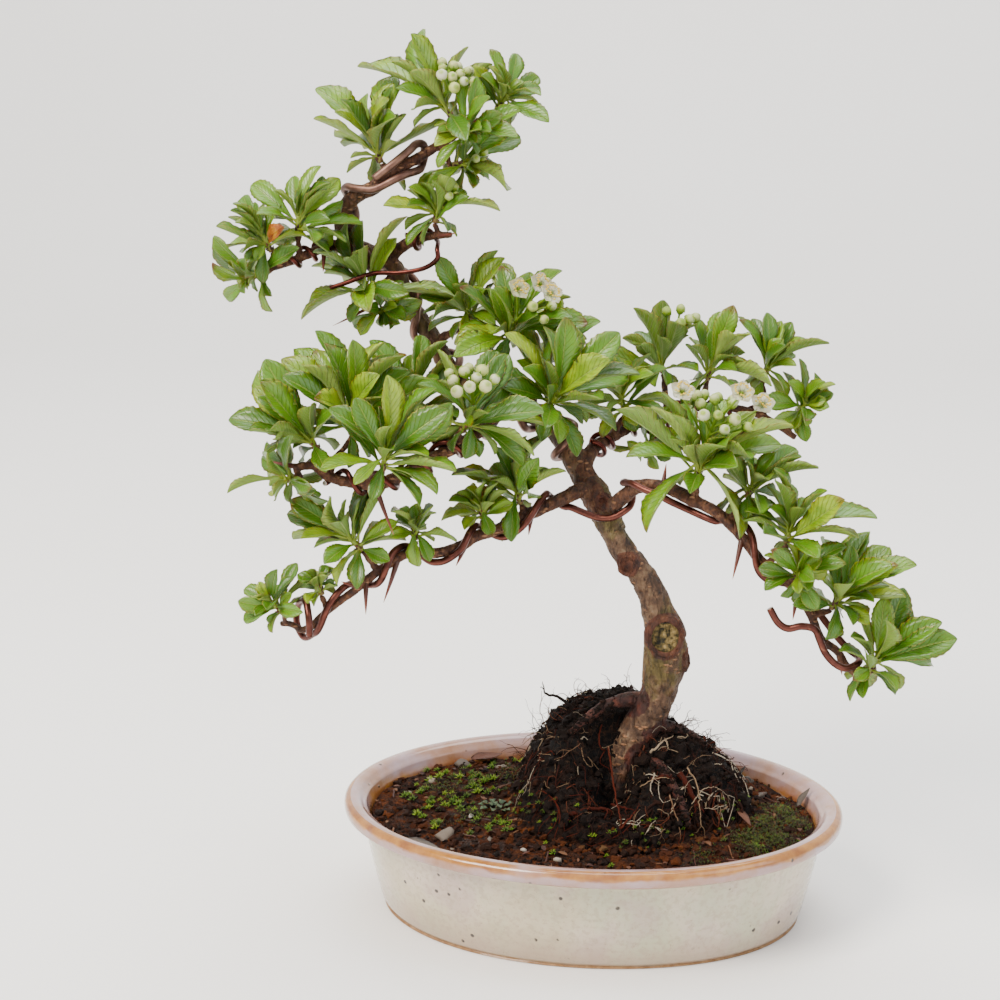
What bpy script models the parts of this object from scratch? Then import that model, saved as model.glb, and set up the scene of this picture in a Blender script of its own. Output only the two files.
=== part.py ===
"""A pyracantha trained as a bonsai, in its oval glazed pot. Metres, +Z up.

The origin is the centre of the pot's flat base, +X runs along the pot's long side and -Y is its front.
Points along the wood, the wires and the leafy shoots are given in millimetres, as (x, y, z).
"""

import math

import bmesh
import bpy
from mathutils import Matrix, Vector
from mathutils.bvhtree import BVHTree
from mathutils.geometry import intersect_point_line

MM = 0.001
GAP = 0.3  # clearance between pieces that touch, in mm
UP = Vector((0, 0, 1))
FRONT = Vector((0, -1, 0))

# Pot: half-axes of the rim in mm, and the wall's profile as (inset from the rim, height)
RIM_HALF_LENGTH = 95
RIM_HALF_WIDTH = 70.5
POT_SIDES = 32
POT_OUTSIDE = ((16.5, 0), (12.7, 9), (6.5, 37), (1.2, 37.4), (0, 39), (0, 42), (1.5, 44))
POT_INSIDE = ((5.5, 43.6), (9, 40), (16.8, 12), (21, 6.2))
HOLE_RADIUS = 6
HOLE_SIDES = 8
HOLE_X = 40
SCREEN_SIZE = 18
SCREEN_BAR = 0.9

# Soil and root ball
SOIL_LEVEL = 38
SOIL_RINGS = (0.3, 0.55, 0.75, 0.9)
SEAT_LEVEL = 35
BALL_CENTRE = (13, 4)
BALL_HALF_AXES = (46, 41)
BALL_RINGS = (0.2, 0.42, 0.62, 0.8, 0.93, 1.0)
BALL_HEIGHT_LEFT = 50
BALL_HEIGHT_RIGHT = 39
GROUND_SIDES = 26

# Wood: (x, y, z, radius)
TRUNK = (
    (11, 0, 47, 9.8), (13, 0, 58, 8.4), (16.5, 0, 68, 7.3), (21.5, 0, 78.5, 7.0), (25, 0, 87, 6.9),
    (27, 0, 99, 7.9), (27, 0, 109, 7.8), (24, -1, 119, 5.9), (20, -2, 130, 5.2), (12, -3, 141, 4.7),
    (8, -3, 148, 4.7), (1, 0, 161, 5.6), (-4, 2, 168, 4.6), (-11, 5, 180, 4.4), (-17, 6, 188, 4.5),
    (-25, 6, 191, 4.0), (-34, 7, 193, 3.8), (-46, 10, 196, 3.7), (-56, 16, 204, 3.6), (-63, 18, 216, 3.5),
    (-70, 18, 226, 3.4), (-73, 16, 234, 3.3), (-78, 12, 245, 3.4), (-86, 10, 249, 3.3), (-92, 8, 252, 3.2),
    (-94, 6, 258, 3.1), (-93, 4, 264, 3.0), (-88, 2, 270, 2.8), (-81, 0, 273, 2.6), (-74, 0, 279, 2.3),
    (-66, 2, 283, 2.0), (-58, 4, 288, 1.7), (-51, 4, 292, 1.4),
)
BRANCHES = {
    "lower_left": (
        (1, 0, 160, 3.0), (-4, -4, 165, 2.9), (-8, -8, 164, 2.7), (-15, -12, 161, 2.5), (-23, -17, 158, 2.3),
        (-32, -22, 154, 2.2), (-40, -27, 152, 2.0), (-45, -30, 149, 2.0), (-53, -33, 147, 1.9),
        (-61, -36, 148, 1.9), (-68, -38, 145, 1.8), (-75, -40, 140, 1.7), (-82, -41, 134, 1.6),
        (-90, -42, 128, 1.5), (-97, -42, 121, 1.4), (-101, -42, 119, 1.3), (-105, -42, 121, 1.2),
        (-109, -42, 121, 1.0),
    ),
    "lower_right": (
        (1, 0, 158, 3.2), (6, -6, 159, 2.9), (13, -12, 166, 2.7), (18, -16, 170, 2.5), (28, -22, 171, 2.4),
        (35, -27, 169, 2.3), (44, -31, 166, 2.1), (50, -33, 162, 2.0), (56, -35, 156, 1.9),
        (61, -37, 150, 1.9), (66, -38, 146, 1.8), (73, -39, 141, 1.7), (79, -39, 132, 1.6),
        (83, -38, 123, 1.5), (89, -37, 118, 1.4), (92, -36, 113, 1.3), (98, -35, 107, 1.2),
    ),
    "middle_left": (
        (-34, 7, 193, 2.8), (-39, -10, 189, 2.6), (-45, -28, 186, 2.4), (-53, -38, 183, 2.3),
        (-60, -46, 180, 2.3), (-68, -52, 177, 2.2), (-75, -55, 177, 2.1), (-86, -56, 179, 1.8),
        (-92, -56, 183, 1.6), (-99, -56, 182, 1.4),
    ),
    "middle_right": (
        (-4, 2, 171, 2.8), (-2, 8, 177, 2.6), (2, 16, 179, 2.3), (11, 30, 182, 2.1), (20, 38, 185, 2.0),
        (33, 44, 187, 1.9), (44, 48, 187, 1.7), (59, 48, 184, 1.5), (73, 46, 176, 1.2),
    ),
    "upper_right": (
        (-77, 14, 242, 2.6), (-77, 12, 247, 2.5), (-71, 8, 252, 2.2), (-66, 4, 254, 1.9), (-61, 0, 256, 1.6),
        (-52, -4, 257, 1.2),
    ),
    "upper_left": (
        (-91, 9, 249, 2.4), (-97, 2, 252, 2.1), (-103, -4, 250, 1.8), (-110, -8, 247, 1.5),
        (-116, -10, 245, 1.3),
    ),
}
SURFACE_ROOTS = (
    ((20, 0, 84, 3.0), (12, -4, 84.5, 2.6), (5, -6, 82, 2.2), (-1, -8, 78, 1.8), (-7, -10, 72.5, 1.3)),
    ((17, 0, 62, 3.0), (26, -12, 62.5, 2.2), (34, -20, 54, 1.6), (38.5, -26, 45, 1.1)),
    ((20, 0, 73, 3.0), (29, 1, 73, 2.4), (36, 3, 70, 1.8), (43, 5, 64, 1.2)),
)
# Thorns: (base, tip)
THORNS = (
    ((-60, -2, 256), (-50, -7, 258)), ((-86, 11, 228), (-98, 4, 222)), ((-71, -54, 176), (-63, -62, 161)),
    ((-66, -38, 145), (-70, -47, 132)), ((-77, -40, 137), (-76, -49, 128)), ((-43, -29, 150), (-46, -35, 143)),
    ((-45, 9, 195), (-47, -3, 180)), ((54, -36, 157), (52, -45, 145)), ((-96, -56, 182), (-108, -55, 184)),
    ((-86, -42, 131), (-86, -43, 138)), ((74, -39, 139), (73, -44, 131)), ((-21, -16, 158), (-22, -19, 151)),
    ((89, -37, 117), (91, -33, 108)), ((20, 38, 185), (26, 34, 176)), ((42, 47, 187), (50, 42, 179)),
    ((-100, 0, 251), (-99, -5, 243)), ((26, -21, 171), (27, -18, 179)), ((-32, 7, 193), (-30, 1, 202)),
)
# How much taller a healed cut is than wide
SCAR_TALL = 1.15
# Healed cuts on the trunk: (centre, outward direction, radius, thickness of the rolled rim)
SCARS = (
    ((27.3, -6.4, 111), (0.1, -1, 0.05), 5.6, 1.9),
    ((13.2, -6.4, 138), (-0.35, -1, 0.1), 2.9, 1.3),
    ((34.0, 0, 100), (1, -0.1, 0), 3.0, 1.8),
    ((3.5, -5.0, 161), (-0.1, -1, 0), 1.7, 0.9),
)

# Wires: the way each winds as (place along the branch, counted in its points; turn in degrees)
LOWER_WIRE_RADIUS = 1.3
LOWER_LEFT_TURNS = (
    (14.3, -1170), (12.2, -990), (11.1, -810), (9.6, -630), (8.2, -450), (5.9, -270), (4.9, -90),
    (3.0, 90), (2.2, 270),
)
LOWER_BRIDGE = ((-4.5, -9.6, 158.3), (0, -9.6, 156.6), (4, -10, 156), (8.5, -10.8, 157))
LOWER_RIGHT_TURNS = (
    (1.6, -270), (2.2, -90), (3.4, 0), (4.8, 90), (6.2, 110), (7.7, 270), (9.9, 450), (11.8, 620),
)
LOWER_LEFT_LOOP = (
    (-96.5, -49, 119), (-96.8, -48.5, 126), (-99, -44, 130.5), (-103, -38.5, 127), (-104, -37.3, 120),
    (-101, -39, 115.3),
)
LOWER_RIGHT_HOOK = (
    (82, -33.5, 131), (87, -32, 124), (92.5, -31.2, 117.5), (96.3, -34, 115.4), (96, -38.5, 114.6),
    (92, -41.5, 113.5), (88, -43, 115.5), (84.5, -43.5, 119.5), (82.5, -43.7, 124), (80.5, -44, 128),
    (76, -44.5, 129), (71.5, -44.5, 128), (68, -44.5, 130), (65, -44.5, 135),
)
TRUNK_WIRE_RADIUS = 1.5
TRUNK_TURNS = (
    (12.75, -150), (13.0, 0), (13.4, 110), (13.9, 180), (14.8, 270), (15.3, 360), (15.9, 450), (16.5, 540),
    (17.1, 630), (17.6, 720), (18.1, 810), (18.6, 900), (19.2, 990), (19.8, 1080), (20.4, 1130),
    (20.9, 1170), (21.6, 1260), (22.3, 1350), (23.0, 1440), (24.0, 1480), (25.0, 1510), (25.8, 1530),
    (26.3, 1620), (26.8, 1710), (27.3, 1755), (28.2, 1815), (29.2, 1850), (29.9, 1890), (30.4, 1980),
)
TRUNK_WIRE_TAIL = (
    (-63.5, 5.2, 288), (-65.3, 1, 288.6), (-67.5, -1.9, 286.4), (-72.8, -3.6, 282), (-79.8, -4.7, 276.5),
)
UPPER_WIRE_RADIUS = 0.9
UPPER_RIGHT_END = (
    (-97, -3, 237), (-91, -3, 239), (-81, -2.5, 242.5), (-71, -3, 243), (-62, -4.5, 245), (-57, -6, 248.5),
    (-57, -5.5, 252),
)
UPPER_RIGHT_TURNS = ((4.3, 200), (4.0, 270), (3.7, 360), (3.3, 450), (2.9, 540), (2.5, 630), (2.2, 720))
UPPER_LEFT_TURNS = ((0.9, 40), (1.6, 360), (2.3, 720), (3.1, 1080))
MIDDLE_WIRE_RADIUS = 1.0
MIDDLE_LEFT_TURNS = ((0.8, 90), (1.6, 360), (2.6, 720), (3.9, 1080), (5.3, 1440), (6.6, 1800), (7.2, 1980))
MIDDLE_RIGHT_TURNS = ((1.1, 0), (1.8, 360), (2.6, 720), (3.5, 1080), (4.6, 1440), (5.9, 1800), (6.9, 2160))
THICK_WIRE_STEPS = 8  # points to a turn
THIN_WIRE_STEPS = 6

# Leafy shoots: the base of each, and the tip of each leaf measured from that base
SHOOTS = {
    "apex_left": ((-52, 1, 297), (
        (-15, 14, 33), (-31, 8, 29), (-14, -10, 18), (-20, -4, 11), (-15, -12, 2), (5, 8, 26), (-2, 14, 14))),
    "apex_right": ((-37, 5, 301), (
        (1, -6, 16), (17, -10, 5), (15, 0, 2), (20, -10, -4), (-3, -16, 12), (6, 8, 19), (8, 12, 8))),
    "apex_low": ((-46, -3, 292), ((19, -10, 0), (-10, -12, -3), (-10, -6, -11), (10, -14, 14))),
    "apex_under": ((-53, 5, 281), ((26, 11, 6), (27, -12, 0), (8, -4, -8), (12, 10, 2))),
    "upper_left_tuft": ((-78.5, 2.5, 281.7), (
        (-24, 2, 26), (-16, -6, 18), (5, 0, 28), (-7, 10, 24), (-14, 12, 18), (-10, -6, 2), (8, -8, 8))),
    "upper_right_tuft": ((-58, -3, 261), ((-9, -4, 13), (2, 11, 18), (24, -4, 5), (-7, 10, 8), (8, 10, 12))),
    "far_left_a": ((-107, -9, 257), (
        (8, 4, 24), (-7, -6, 16), (-18, 6, 17), (14, -10, 6), (-12, -12, 8), (19, -6, -2), (0, 12, 12))),
    "far_left_b": ((-116, -12, 251), (
        (-11, -8, 11), (-12, 8, 19), (-7, -14, 1), (8, -12, 10), (-19, 6, 0), (2, 8, 20))),
    "far_left_c": ((-119, -11, 243), ((-9, -12, 6), (4, -6, -13), (-16, 4, -10), (-20, 12, 0), (-5, -10, -6))),
    "mid_left_tuft": ((-82, 2, 234), (
        (3, 2, 31), (10, -5, 24), (-20, -10, 18), (-23, 0, 10), (-26, -12, 1), (-25, 2, -4), (-12, 14, 14))),
    "mid_left_low": ((-79, 9, 228), ((-8, -8, -9), (10, -14, -2), (16, -12, 5), (-14, 4, -5), (-4, -14, 2))),
    "crown_left": ((-47, 13, 224), (
        (-12, -6, 24), (-19, -6, 9), (-16, -14, 4), (-3, -14, 15), (12, 0, 23), (-15, -10, -3), (2, 14, 20))),
    "crown_mid": ((-33, 4, 217), (
        (-5, -8, 21), (0, -18, 13), (21, -8, 15), (19, 8, 26), (28, 0, 12), (-18, -10, 1), (4, 18, 20))),
    "crown_right": ((-20, 12, 208), ((4, 6, 26), (20, 4, 16), (-6, 16, 18), (24, -8, 4), (12, 16, 12), (-16, 2, 14))),
    "centre_front": ((-17, -9, 196), (
        (-1, -2, 30), (34, -6, 14), (26, 0, 28), (-14, -8, 28), (26, -8, -6), (-10, -12, -2), (6, -14, -10),
        (12, -8, -16), (10, 10, 30))),
    "centre_right": ((9, 20, 189), (
        (-3, -4, 22), (10, -6, 19), (-12, -8, 6), (17, 0, 6), (-9, -8, -8), (-15, 4, 11), (9, 10, 21), (-4, 16, 10))),
    "left_flower": ((-44, -36, 192), (
        (-14, -8, 18), (26, 0, 17), (27, -8, -6), (22, 0, -12), (14, 14, 26), (28, 0, 12), (-10, 8, 16))),
    "left_front": ((-67, -59, 183), (
        (3, -6, 34), (-8, -6, 26), (5, -16, 19), (-19, -12, 2), (20, -8, -6), (24, -6, 23), (16, -14, 10),
        (-6, 10, 20))),
    "left_upper": ((-81, -45, 192), (
        (-12, 0, 36), (2, -4, 34), (-24, 0, 26), (-14, -12, 26), (16, -4, 32), (19, -14, 17), (2, 16, 22))),
    "left_outer": ((-91, -52, 188), (
        (-22, 0, 21), (-31, -2, 10), (-11, -16, 7), (-24, 8, 26), (-19, -8, 19), (-17, -8, 2), (1, -14, 18),
        (-12, 14, 12))),
    "left_low": ((-98, -53, 178), ((-24, -6, -5), (-14, 10, 2), (12, -8, -6), (-10, 6, -10))),
    "left_back": ((-64, -24, 194), (
        (14, 0, 28), (2, 8, 30), (-15, 4, 27), (-2, -10, 20), (13, -14, 17), (-14, 14, 10), (12, 16, 14))),
    "low_left_a": ((-25, -17, 162), (
        (-24, -9, 12), (-3, 3, 16), (16, 3, 12), (-6, -5, -14), (-11, -13, 11), (2, 7, 24), (-8, 12, 8))),
    "low_left_b": ((-38, -25, 158), ((-11, -7, 8), (2, -5, 15), (-6, 9, 10), (8, 8, 6))),
    "low_left_c": ((-60, -38, 153), ((-7, -8, 12), (16, -8, 2), (-10, 0, 3), (7, 4, 9), (-2, 12, 6))),
    "low_left_d": ((-78, -44, 150), (
        (-25, -2, 18), (-19, -10, 9), (-16, -6, 2), (-11, -12, -2), (-7, -10, -10), (3, 0, 23), (-4, -6, 20),
        (13, 0, 11), (-8, 12, 8))),
    "low_left_e": ((-93, -44, 133), ((-4, -4, 10), (4, -6, 9), (-9, 4, 1), (2, 8, 8))),
    "low_left_tip": ((-107, -45, 126), (
        (-8, -2, 12), (0, -6, 18), (-14, -2, -3), (-2, -8, -5), (-7, -8, 8), (-2, 8, 8))),
    "right_bud": ((22, 39, 201), (
        (-11, -4, 28), (11, -10, 20), (-8, -4, 8), (-6, 14, 14), (-14, 10, 12), (6, 14, 16))),
    "right_up": ((39, 38, 199), (
        (9, -2, 29), (13, -8, 22), (4, 8, 25), (-6, -12, 15), (15, -8, 8), (-8, 12, 14))),
    "right_far": ((60, 44, 199), (
        (-10, -4, 23), (-5, 6, 22), (7, -4, 16), (24, -6, 15), (12, -10, 7), (-7, -10, 5), (4, 14, 14))),
    "right_end": ((74, 45, 186), ((13, -4, 12), (11, -8, 4), (-5, -12, 14), (-15, -14, 6), (3, -6, -10), (6, 12, 8))),
    "right_flower": ((39, -31, 177), (
        (-17, -2, 25), (32, -4, 20), (-25, -6, 8), (-17, -12, -17), (15, -12, -18), (29, 4, 11), (14, 20, 17),
        (-8, 14, 12))),
    "right_inner": ((20, 28, 178), ((-10, -6, 0), (2, -4, -11), (14, -12, 6), (-5, 0, -9), (-6, 12, -4))),
    "low_right_a": ((56, -30, 170), ((24, -6, 13), (9, 2, 16), (-1, -8, 16), (-9, 10, 5), (10, 12, 6))),
    "low_right_b": ((70, -40, 157), (
        (0, -2, 22), (30, -4, 11), (24, -8, 5), (-15, -6, 9), (-6, -10, 15), (8, 10, 13), (-6, 12, 6))),
    "low_right_c": ((73, -43, 146), ((17, -1, 12), (17, -9, 8), (-10, -7, -3), (-8, -11, 13), (8, -7, -9))),
    "low_right_d": ((86, -39, 134), (
        (6, 0, 23), (28, -4, 18), (14, -10, 6), (-12, -12, 7), (13, -6, -3), (-3, 8, 10), (8, 12, 4))),
    "low_right_tip": ((100, -36, 110), (
        (4, -2, 29), (29, -6, 16), (18, 2, 20), (11, 6, 30), (-6, -4, 14), (-6, -10, 1), (-2, -6, -7), (8, 10, 6))),
}
SHOOT_RADIUS = 1.0

# Leaf: outline as (place along the leaf, share of the half width), with coarse teeth on each side
LEAF_EDGE = ((0.16, 0.26), (0.54, 0.92), (0.61, 0.8), (0.83, 0.94))
LEAF_RIB = (0.42,)
SMALL_LEAF_EDGE = ((0.25, 0.5), (0.64, 1.0), (0.71, 0.78))
SMALL_LEAF_RIB = (0.32,)
SMALL_LEAF_LENGTH = 15
LEAF_WIDTH = 0.34  # of the length
LEAF_THICKNESS = 0.9
LEAF_FOLD = math.radians(24)
LEAF_ARCH = 0.09
PETAL_LENGTH = 5.0
# Edge of one petal from the notch before it, as (turn from its middle, share of its length, height)
PETAL_RIM = ((-0.63, 0.3, -0.3), (-0.55, 0.78, 0.5), (-0.2, 1.0, 0.9), (0.1, 0.95, 1.2), (0.5, 0.82, 0.4))
BUD_SIDES = 4

# Flower heads: shoot that carries it, centre, radius, closed buds, radius of a bud, open flowers
HEADS = {
    "apex": ("apex_left", (-50, -4, 314), 8, 12, 1.9, ()),
    "upper_right": ("upper_right_tuft", (-51, -4, 272), 4.5, 5, 1.6, ()),
    "under": ("apex_under", (-42, 3, 284), 4, 4, 1.5, ()),
    "crown": ("crown_mid", (-20, -3, 234), 8, 3, 1.9, ((-28, -5, 238), (-16, -8, 237), (-21, 2, 239))),
    "left": ("left_flower", (-39, -44, 213), 9, 10, 2.1, ()),
    "right_back": ("right_bud", (30, 34, 224), 7, 5, 1.9, ()),
    "right": ("right_flower", (46, -38, 204), 12, 12, 2.0, ((33, -41, 209), (53, -41, 209), (60, -34, 204))),
}
GOLDEN_ANGLE = math.radians(137.5)


def mm(point):
    """A vector in metres from the first three numbers of a point in millimetres."""
    return Vector(point[:3]) * MM


def clear_scene():
    for obj in list(bpy.data.objects):
        bpy.data.objects.remove(obj)


def make_material(name, colour, roughness, metallic=0.0):
    material = bpy.data.materials.new(name)
    material.use_nodes = True
    shader = material.node_tree.nodes["Principled BSDF"]
    shader.inputs["Base Color"].default_value = (*colour, 1)
    shader.inputs["Roughness"].default_value = roughness
    shader.inputs["Metallic"].default_value = metallic
    return material


def make_collection(name):
    collection = bpy.data.collections.new(name)
    bpy.context.scene.collection.children.link(collection)
    return collection


def add_object(name, mesh, collection, material=None, smooth=False):
    if smooth:
        mesh.shade_smooth()
        mesh.set_sharp_from_angle(angle=math.radians(35))
    obj = bpy.data.objects.new(name, mesh)
    collection.objects.link(obj)
    if material is not None:
        mesh.materials.clear()
        mesh.materials.append(material)
    return obj


def mesh_from(build, name="piece"):
    """A mesh filled by a function that works on a bmesh, with its faces split and turned outwards."""
    bm = bmesh.new()
    build(bm)
    bmesh.ops.triangulate(bm, faces=bm.faces)
    bmesh.ops.recalc_face_normals(bm, faces=bm.faces)
    mesh = bpy.data.meshes.new(name)
    bm.to_mesh(mesh)
    bm.free()
    return mesh


def mesh_of(points, faces):
    mesh = bpy.data.meshes.new("piece")
    mesh.from_pydata(points, [], faces)
    mesh.update()
    return mesh


def evaluated_mesh(obj):
    """The mesh that an object's modifiers or curve settings make."""
    bpy.context.view_layer.update()
    graph = bpy.context.evaluated_depsgraph_get()
    return bpy.data.meshes.new_from_object(obj.evaluated_get(graph), depsgraph=graph)


def largest_body(mesh):
    """Only the largest body stays: sealed hollows are filled and scraps are dropped."""
    bm = bmesh.new()
    bm.from_mesh(mesh)
    left = set(bm.verts)
    bodies = []
    while left:
        reached = {left.pop()}
        edge_of_search = list(reached)
        while edge_of_search:
            vert = edge_of_search.pop()
            for edge in vert.link_edges:
                other = edge.other_vert(vert)
                if other not in reached:
                    reached.add(other)
                    edge_of_search.append(other)
        left -= reached
        bodies.append(reached)
    keep = max(bodies, key=len)
    bmesh.ops.delete(bm, geom=[vert for vert in bm.verts if vert not in keep], context="VERTS")
    bmesh.ops.triangulate(bm, faces=bm.faces)
    bm.to_mesh(mesh)
    bm.free()
    return mesh


def combine(meshes, operation):
    """One mesh: the first with the others joined to it or cut from it."""
    pieces = make_collection("pieces")
    others = make_collection("others")
    first = add_object("first", meshes[0], pieces)
    for mesh in meshes[1:]:
        add_object("other", mesh, others)
    boolean = first.modifiers.new("boolean", "BOOLEAN")
    boolean.operation = operation
    boolean.operand_type = "COLLECTION"
    boolean.collection = others
    boolean.solver = "MANIFOLD"
    result = evaluated_mesh(first)
    for obj in list(pieces.objects) + list(others.objects):
        bpy.data.objects.remove(obj)
    bpy.data.collections.remove(pieces)
    bpy.data.collections.remove(others)
    return largest_body(result)


def fuse(meshes):
    return combine(meshes, "UNION")


def cut(mesh, cutters):
    return combine([mesh, *cutters], "DIFFERENCE")


def add_curve(name, points, radii, resolution, collection, material=None):
    """A tube through points in metres, as thick at each point as its radius in millimetres."""
    curve = bpy.data.curves.new(name, "CURVE")
    curve.dimensions = "3D"
    curve.bevel_depth = MM
    curve.bevel_resolution = resolution
    curve.use_fill_caps = True
    spline = curve.splines.new("POLY")
    spline.points.add(len(points) - 1)
    for spot, point, radius in zip(spline.points, points, radii):
        spot.co = (*point, 1)
        spot.radius = radius
    obj = bpy.data.objects.new(name, curve)
    collection.objects.link(obj)
    if material is not None:
        curve.materials.append(material)
    return obj


def tube(points, radii, resolution, swell=0.0):
    """A closed mesh tube through points in metres, made from a curve whose caps are welded on."""
    collection = make_collection("tube")
    obj = add_curve("tube", points, [radius + swell for radius in radii], resolution, collection)
    mesh = evaluated_mesh(obj)
    bpy.data.objects.remove(obj)
    bpy.data.collections.remove(collection)

    def weld(bm):
        bm.from_mesh(mesh)
        bmesh.ops.remove_doubles(bm, verts=bm.verts, dist=0.001 * MM)

    return mesh_from(weld)


def route_tube(route, resolution, swell=0.0):
    """A tube along a route of (x, y, z, radius) in millimetres."""
    return tube([mm(point) for point in route], [point[3] for point in route], resolution, swell)


def rod(start, end, start_radius, end_radius, sides):
    """A straight tapered rod between points in metres, with radii in millimetres."""
    axis = end - start
    turn = axis.to_track_quat("Z", "Y").to_matrix().to_4x4()

    def build(bm):
        bmesh.ops.create_cone(
            bm,
            cap_ends=True,
            segments=sides,
            radius1=start_radius * MM,
            radius2=end_radius * MM,
            depth=axis.length,
            matrix=Matrix.Translation((start + end) / 2) @ turn,
        )

    return mesh_from(build)


def on_route(route, place):
    """Centre, direction and radius at a place along a route, counted in its points."""
    index = min(int(place), len(route) - 2)
    share = place - index
    here = [Vector(point[:3]) for point in route]
    before, start = here[max(index - 1, 0)], here[index]
    end, after = here[index + 1], here[min(index + 2, len(route) - 1)]
    centre = start.lerp(end, share)
    direction = (end - before).normalized().lerp((after - start).normalized(), share).normalized()
    radius = route[index][3] * (1 - share) + route[index + 1][3] * share
    return centre, direction, radius


def wound(route, turns, wire_radius, reference, steps_per_turn):
    """Points in millimetres of a wire wound round a route, turn 0 lying on the reference side."""
    points = []
    for (start, start_turn), (end, end_turn) in zip(turns, turns[1:]):
        steps = max(1, round(abs(end_turn - start_turn) / 360 * steps_per_turn))
        points += [
            (start + (end - start) * step / steps, start_turn + (end_turn - start_turn) * step / steps)
            for step in range(steps)
        ]
    points.append(turns[-1])
    sag = 1 / math.cos(math.pi / steps_per_turn)
    found = []
    for place, turn in points:
        centre, direction, radius = on_route(route, place)
        side = (reference - direction * reference.dot(direction)).normalized()
        other = direction.cross(side)
        angle = math.radians(turn)
        reach = (radius + GAP) * sag + wire_radius
        found.append(centre + (side * math.cos(angle) + other * math.sin(angle)) * reach)
    return found


def oval_ring(inset, height):
    """Points of one oval level of the pot."""
    return [
        Vector(
            (
                (RIM_HALF_LENGTH - inset) * math.cos(angle),
                (RIM_HALF_WIDTH - inset) * math.sin(angle),
                height,
            )
        )
        * MM
        for angle in (2 * math.pi * side / POT_SIDES for side in range(POT_SIDES))
    ]


def loft(bm, rings, start_centre=None, end_centre=None):
    """Closed skin over rings of equally many points, with a fan to a centre or one flat face at each end."""
    levels = [[bm.verts.new(point) for point in ring] for ring in rings]
    count = len(levels[0])
    for lower, upper in zip(levels, levels[1:]):
        for side in range(count):
            after = (side + 1) % count
            bm.faces.new((lower[side], lower[after], upper[after], upper[side]))
    for level, centre in ((levels[0], start_centre), (levels[-1], end_centre)):
        if centre is None:
            bm.faces.new(level)
            continue
        middle = bm.verts.new(centre)
        for side in range(count):
            bm.faces.new((level[side], level[(side + 1) % count], middle))


def turned(start, end, profile, sides):
    """A turned shape on the line between two points in millimetres, as (distance from the end, radius)."""
    axis = (end - start).normalized()
    turn = axis.to_track_quat("Z", "Y").to_matrix()
    rings = []
    for distance, radius in profile:
        middle = end - axis * distance
        rings.append(
            [
                (middle + turn @ Vector((math.cos(angle), math.sin(angle), 0)) * radius) * MM
                for angle in (2 * math.pi * side / sides for side in range(sides))
            ]
        )
    return mesh_from(lambda bm: loft(bm, rings))


def pot_mesh():
    rings = [oval_ring(inset, height) for inset, height in POT_OUTSIDE + POT_INSIDE]
    body = mesh_from(lambda bm: loft(bm, rings))
    below, above = Vector((0, 0, -2)) * MM, Vector((0, 0, 10)) * MM
    drains = [
        rod(Vector((x * MM, 0, 0)) + below, Vector((x * MM, 0, 0)) + above, HOLE_RADIUS, HOLE_RADIUS, HOLE_SIDES)
        for x in (-HOLE_X, HOLE_X)
    ]
    return cut(body, drains)


def add_screen(name, x, collection, material):
    """A plastic net over one drain hole, lying on the floor of the pot."""
    bm = bmesh.new()
    bmesh.ops.create_grid(bm, x_segments=2, y_segments=2, size=SCREEN_SIZE / 2 * MM)
    mesh = bpy.data.meshes.new(name)
    bm.to_mesh(mesh)
    bm.free()
    screen = add_object(name, mesh, collection, material)
    floor = POT_INSIDE[-1][1]
    screen.location = Vector((x, 0, floor + GAP + SCREEN_BAR / 2)) * MM
    bars = screen.modifiers.new("bars", "WIREFRAME")
    bars.thickness = SCREEN_BAR * MM
    bars.use_boundary = True
    bars.use_even_offset = False
    return screen


def lumps(x, y, scale):
    """A smooth uneven height between about -1 and 1."""
    return (
        math.sin(x / scale + 1.3) * math.cos(y / scale * 1.3 + 0.4)
        + 0.6 * math.sin(x / scale * 2.1 - y / scale * 1.7 + 2.0)
        + 0.4 * math.cos(x / scale * 3.7 + y / scale * 3.1)
    ) / 2


def inside_inset(height):
    """How far inside the rim the pot's inner wall lies at a height."""
    for (upper_inset, upper), (lower_inset, lower) in zip(POT_INSIDE, POT_INSIDE[1:]):
        if height >= lower:
            return lower_inset + (upper_inset - lower_inset) * (height - lower) / (upper - lower)
    return POT_INSIDE[-1][0]


def soil_mesh():
    """The soil, a clearance inside the pot's wall and over the nets, with a seat for the root ball."""
    underside = POT_INSIDE[-1][1] + SCREEN_BAR + 2 * GAP
    corner = POT_INSIDE[2][1] + GAP
    rings = [oval_ring(inside_inset(height) + 2 * GAP, height) for height in (underside, corner)]
    edge = inside_inset(SOIL_LEVEL - 3) + GAP

    def top_ring(share):
        points = []
        for side in range(POT_SIDES):
            angle = 2 * math.pi * side / POT_SIDES
            x = (RIM_HALF_LENGTH - edge) * share * math.cos(angle)
            y = (RIM_HALF_WIDTH - edge) * share * math.sin(angle)
            height = SOIL_LEVEL - 1.5 * share**6 + 1.3 * lumps(x, y, 11)
            points.append(Vector((x, y, height)) * MM)
        return points

    rings += [top_ring(share) for share in (1.0,) + SOIL_RINGS[::-1]]
    middle = Vector((0, 0, SOIL_LEVEL)) * MM
    body = mesh_from(lambda bm: loft(bm, rings, end_centre=middle))
    seat = mesh_from(
        lambda bm: loft(bm, [ball_ring(1.0, SEAT_LEVEL, GAP), ball_ring(1.0, SEAT_LEVEL + 20, GAP)])
    )
    return cut(body, [seat])


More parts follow.
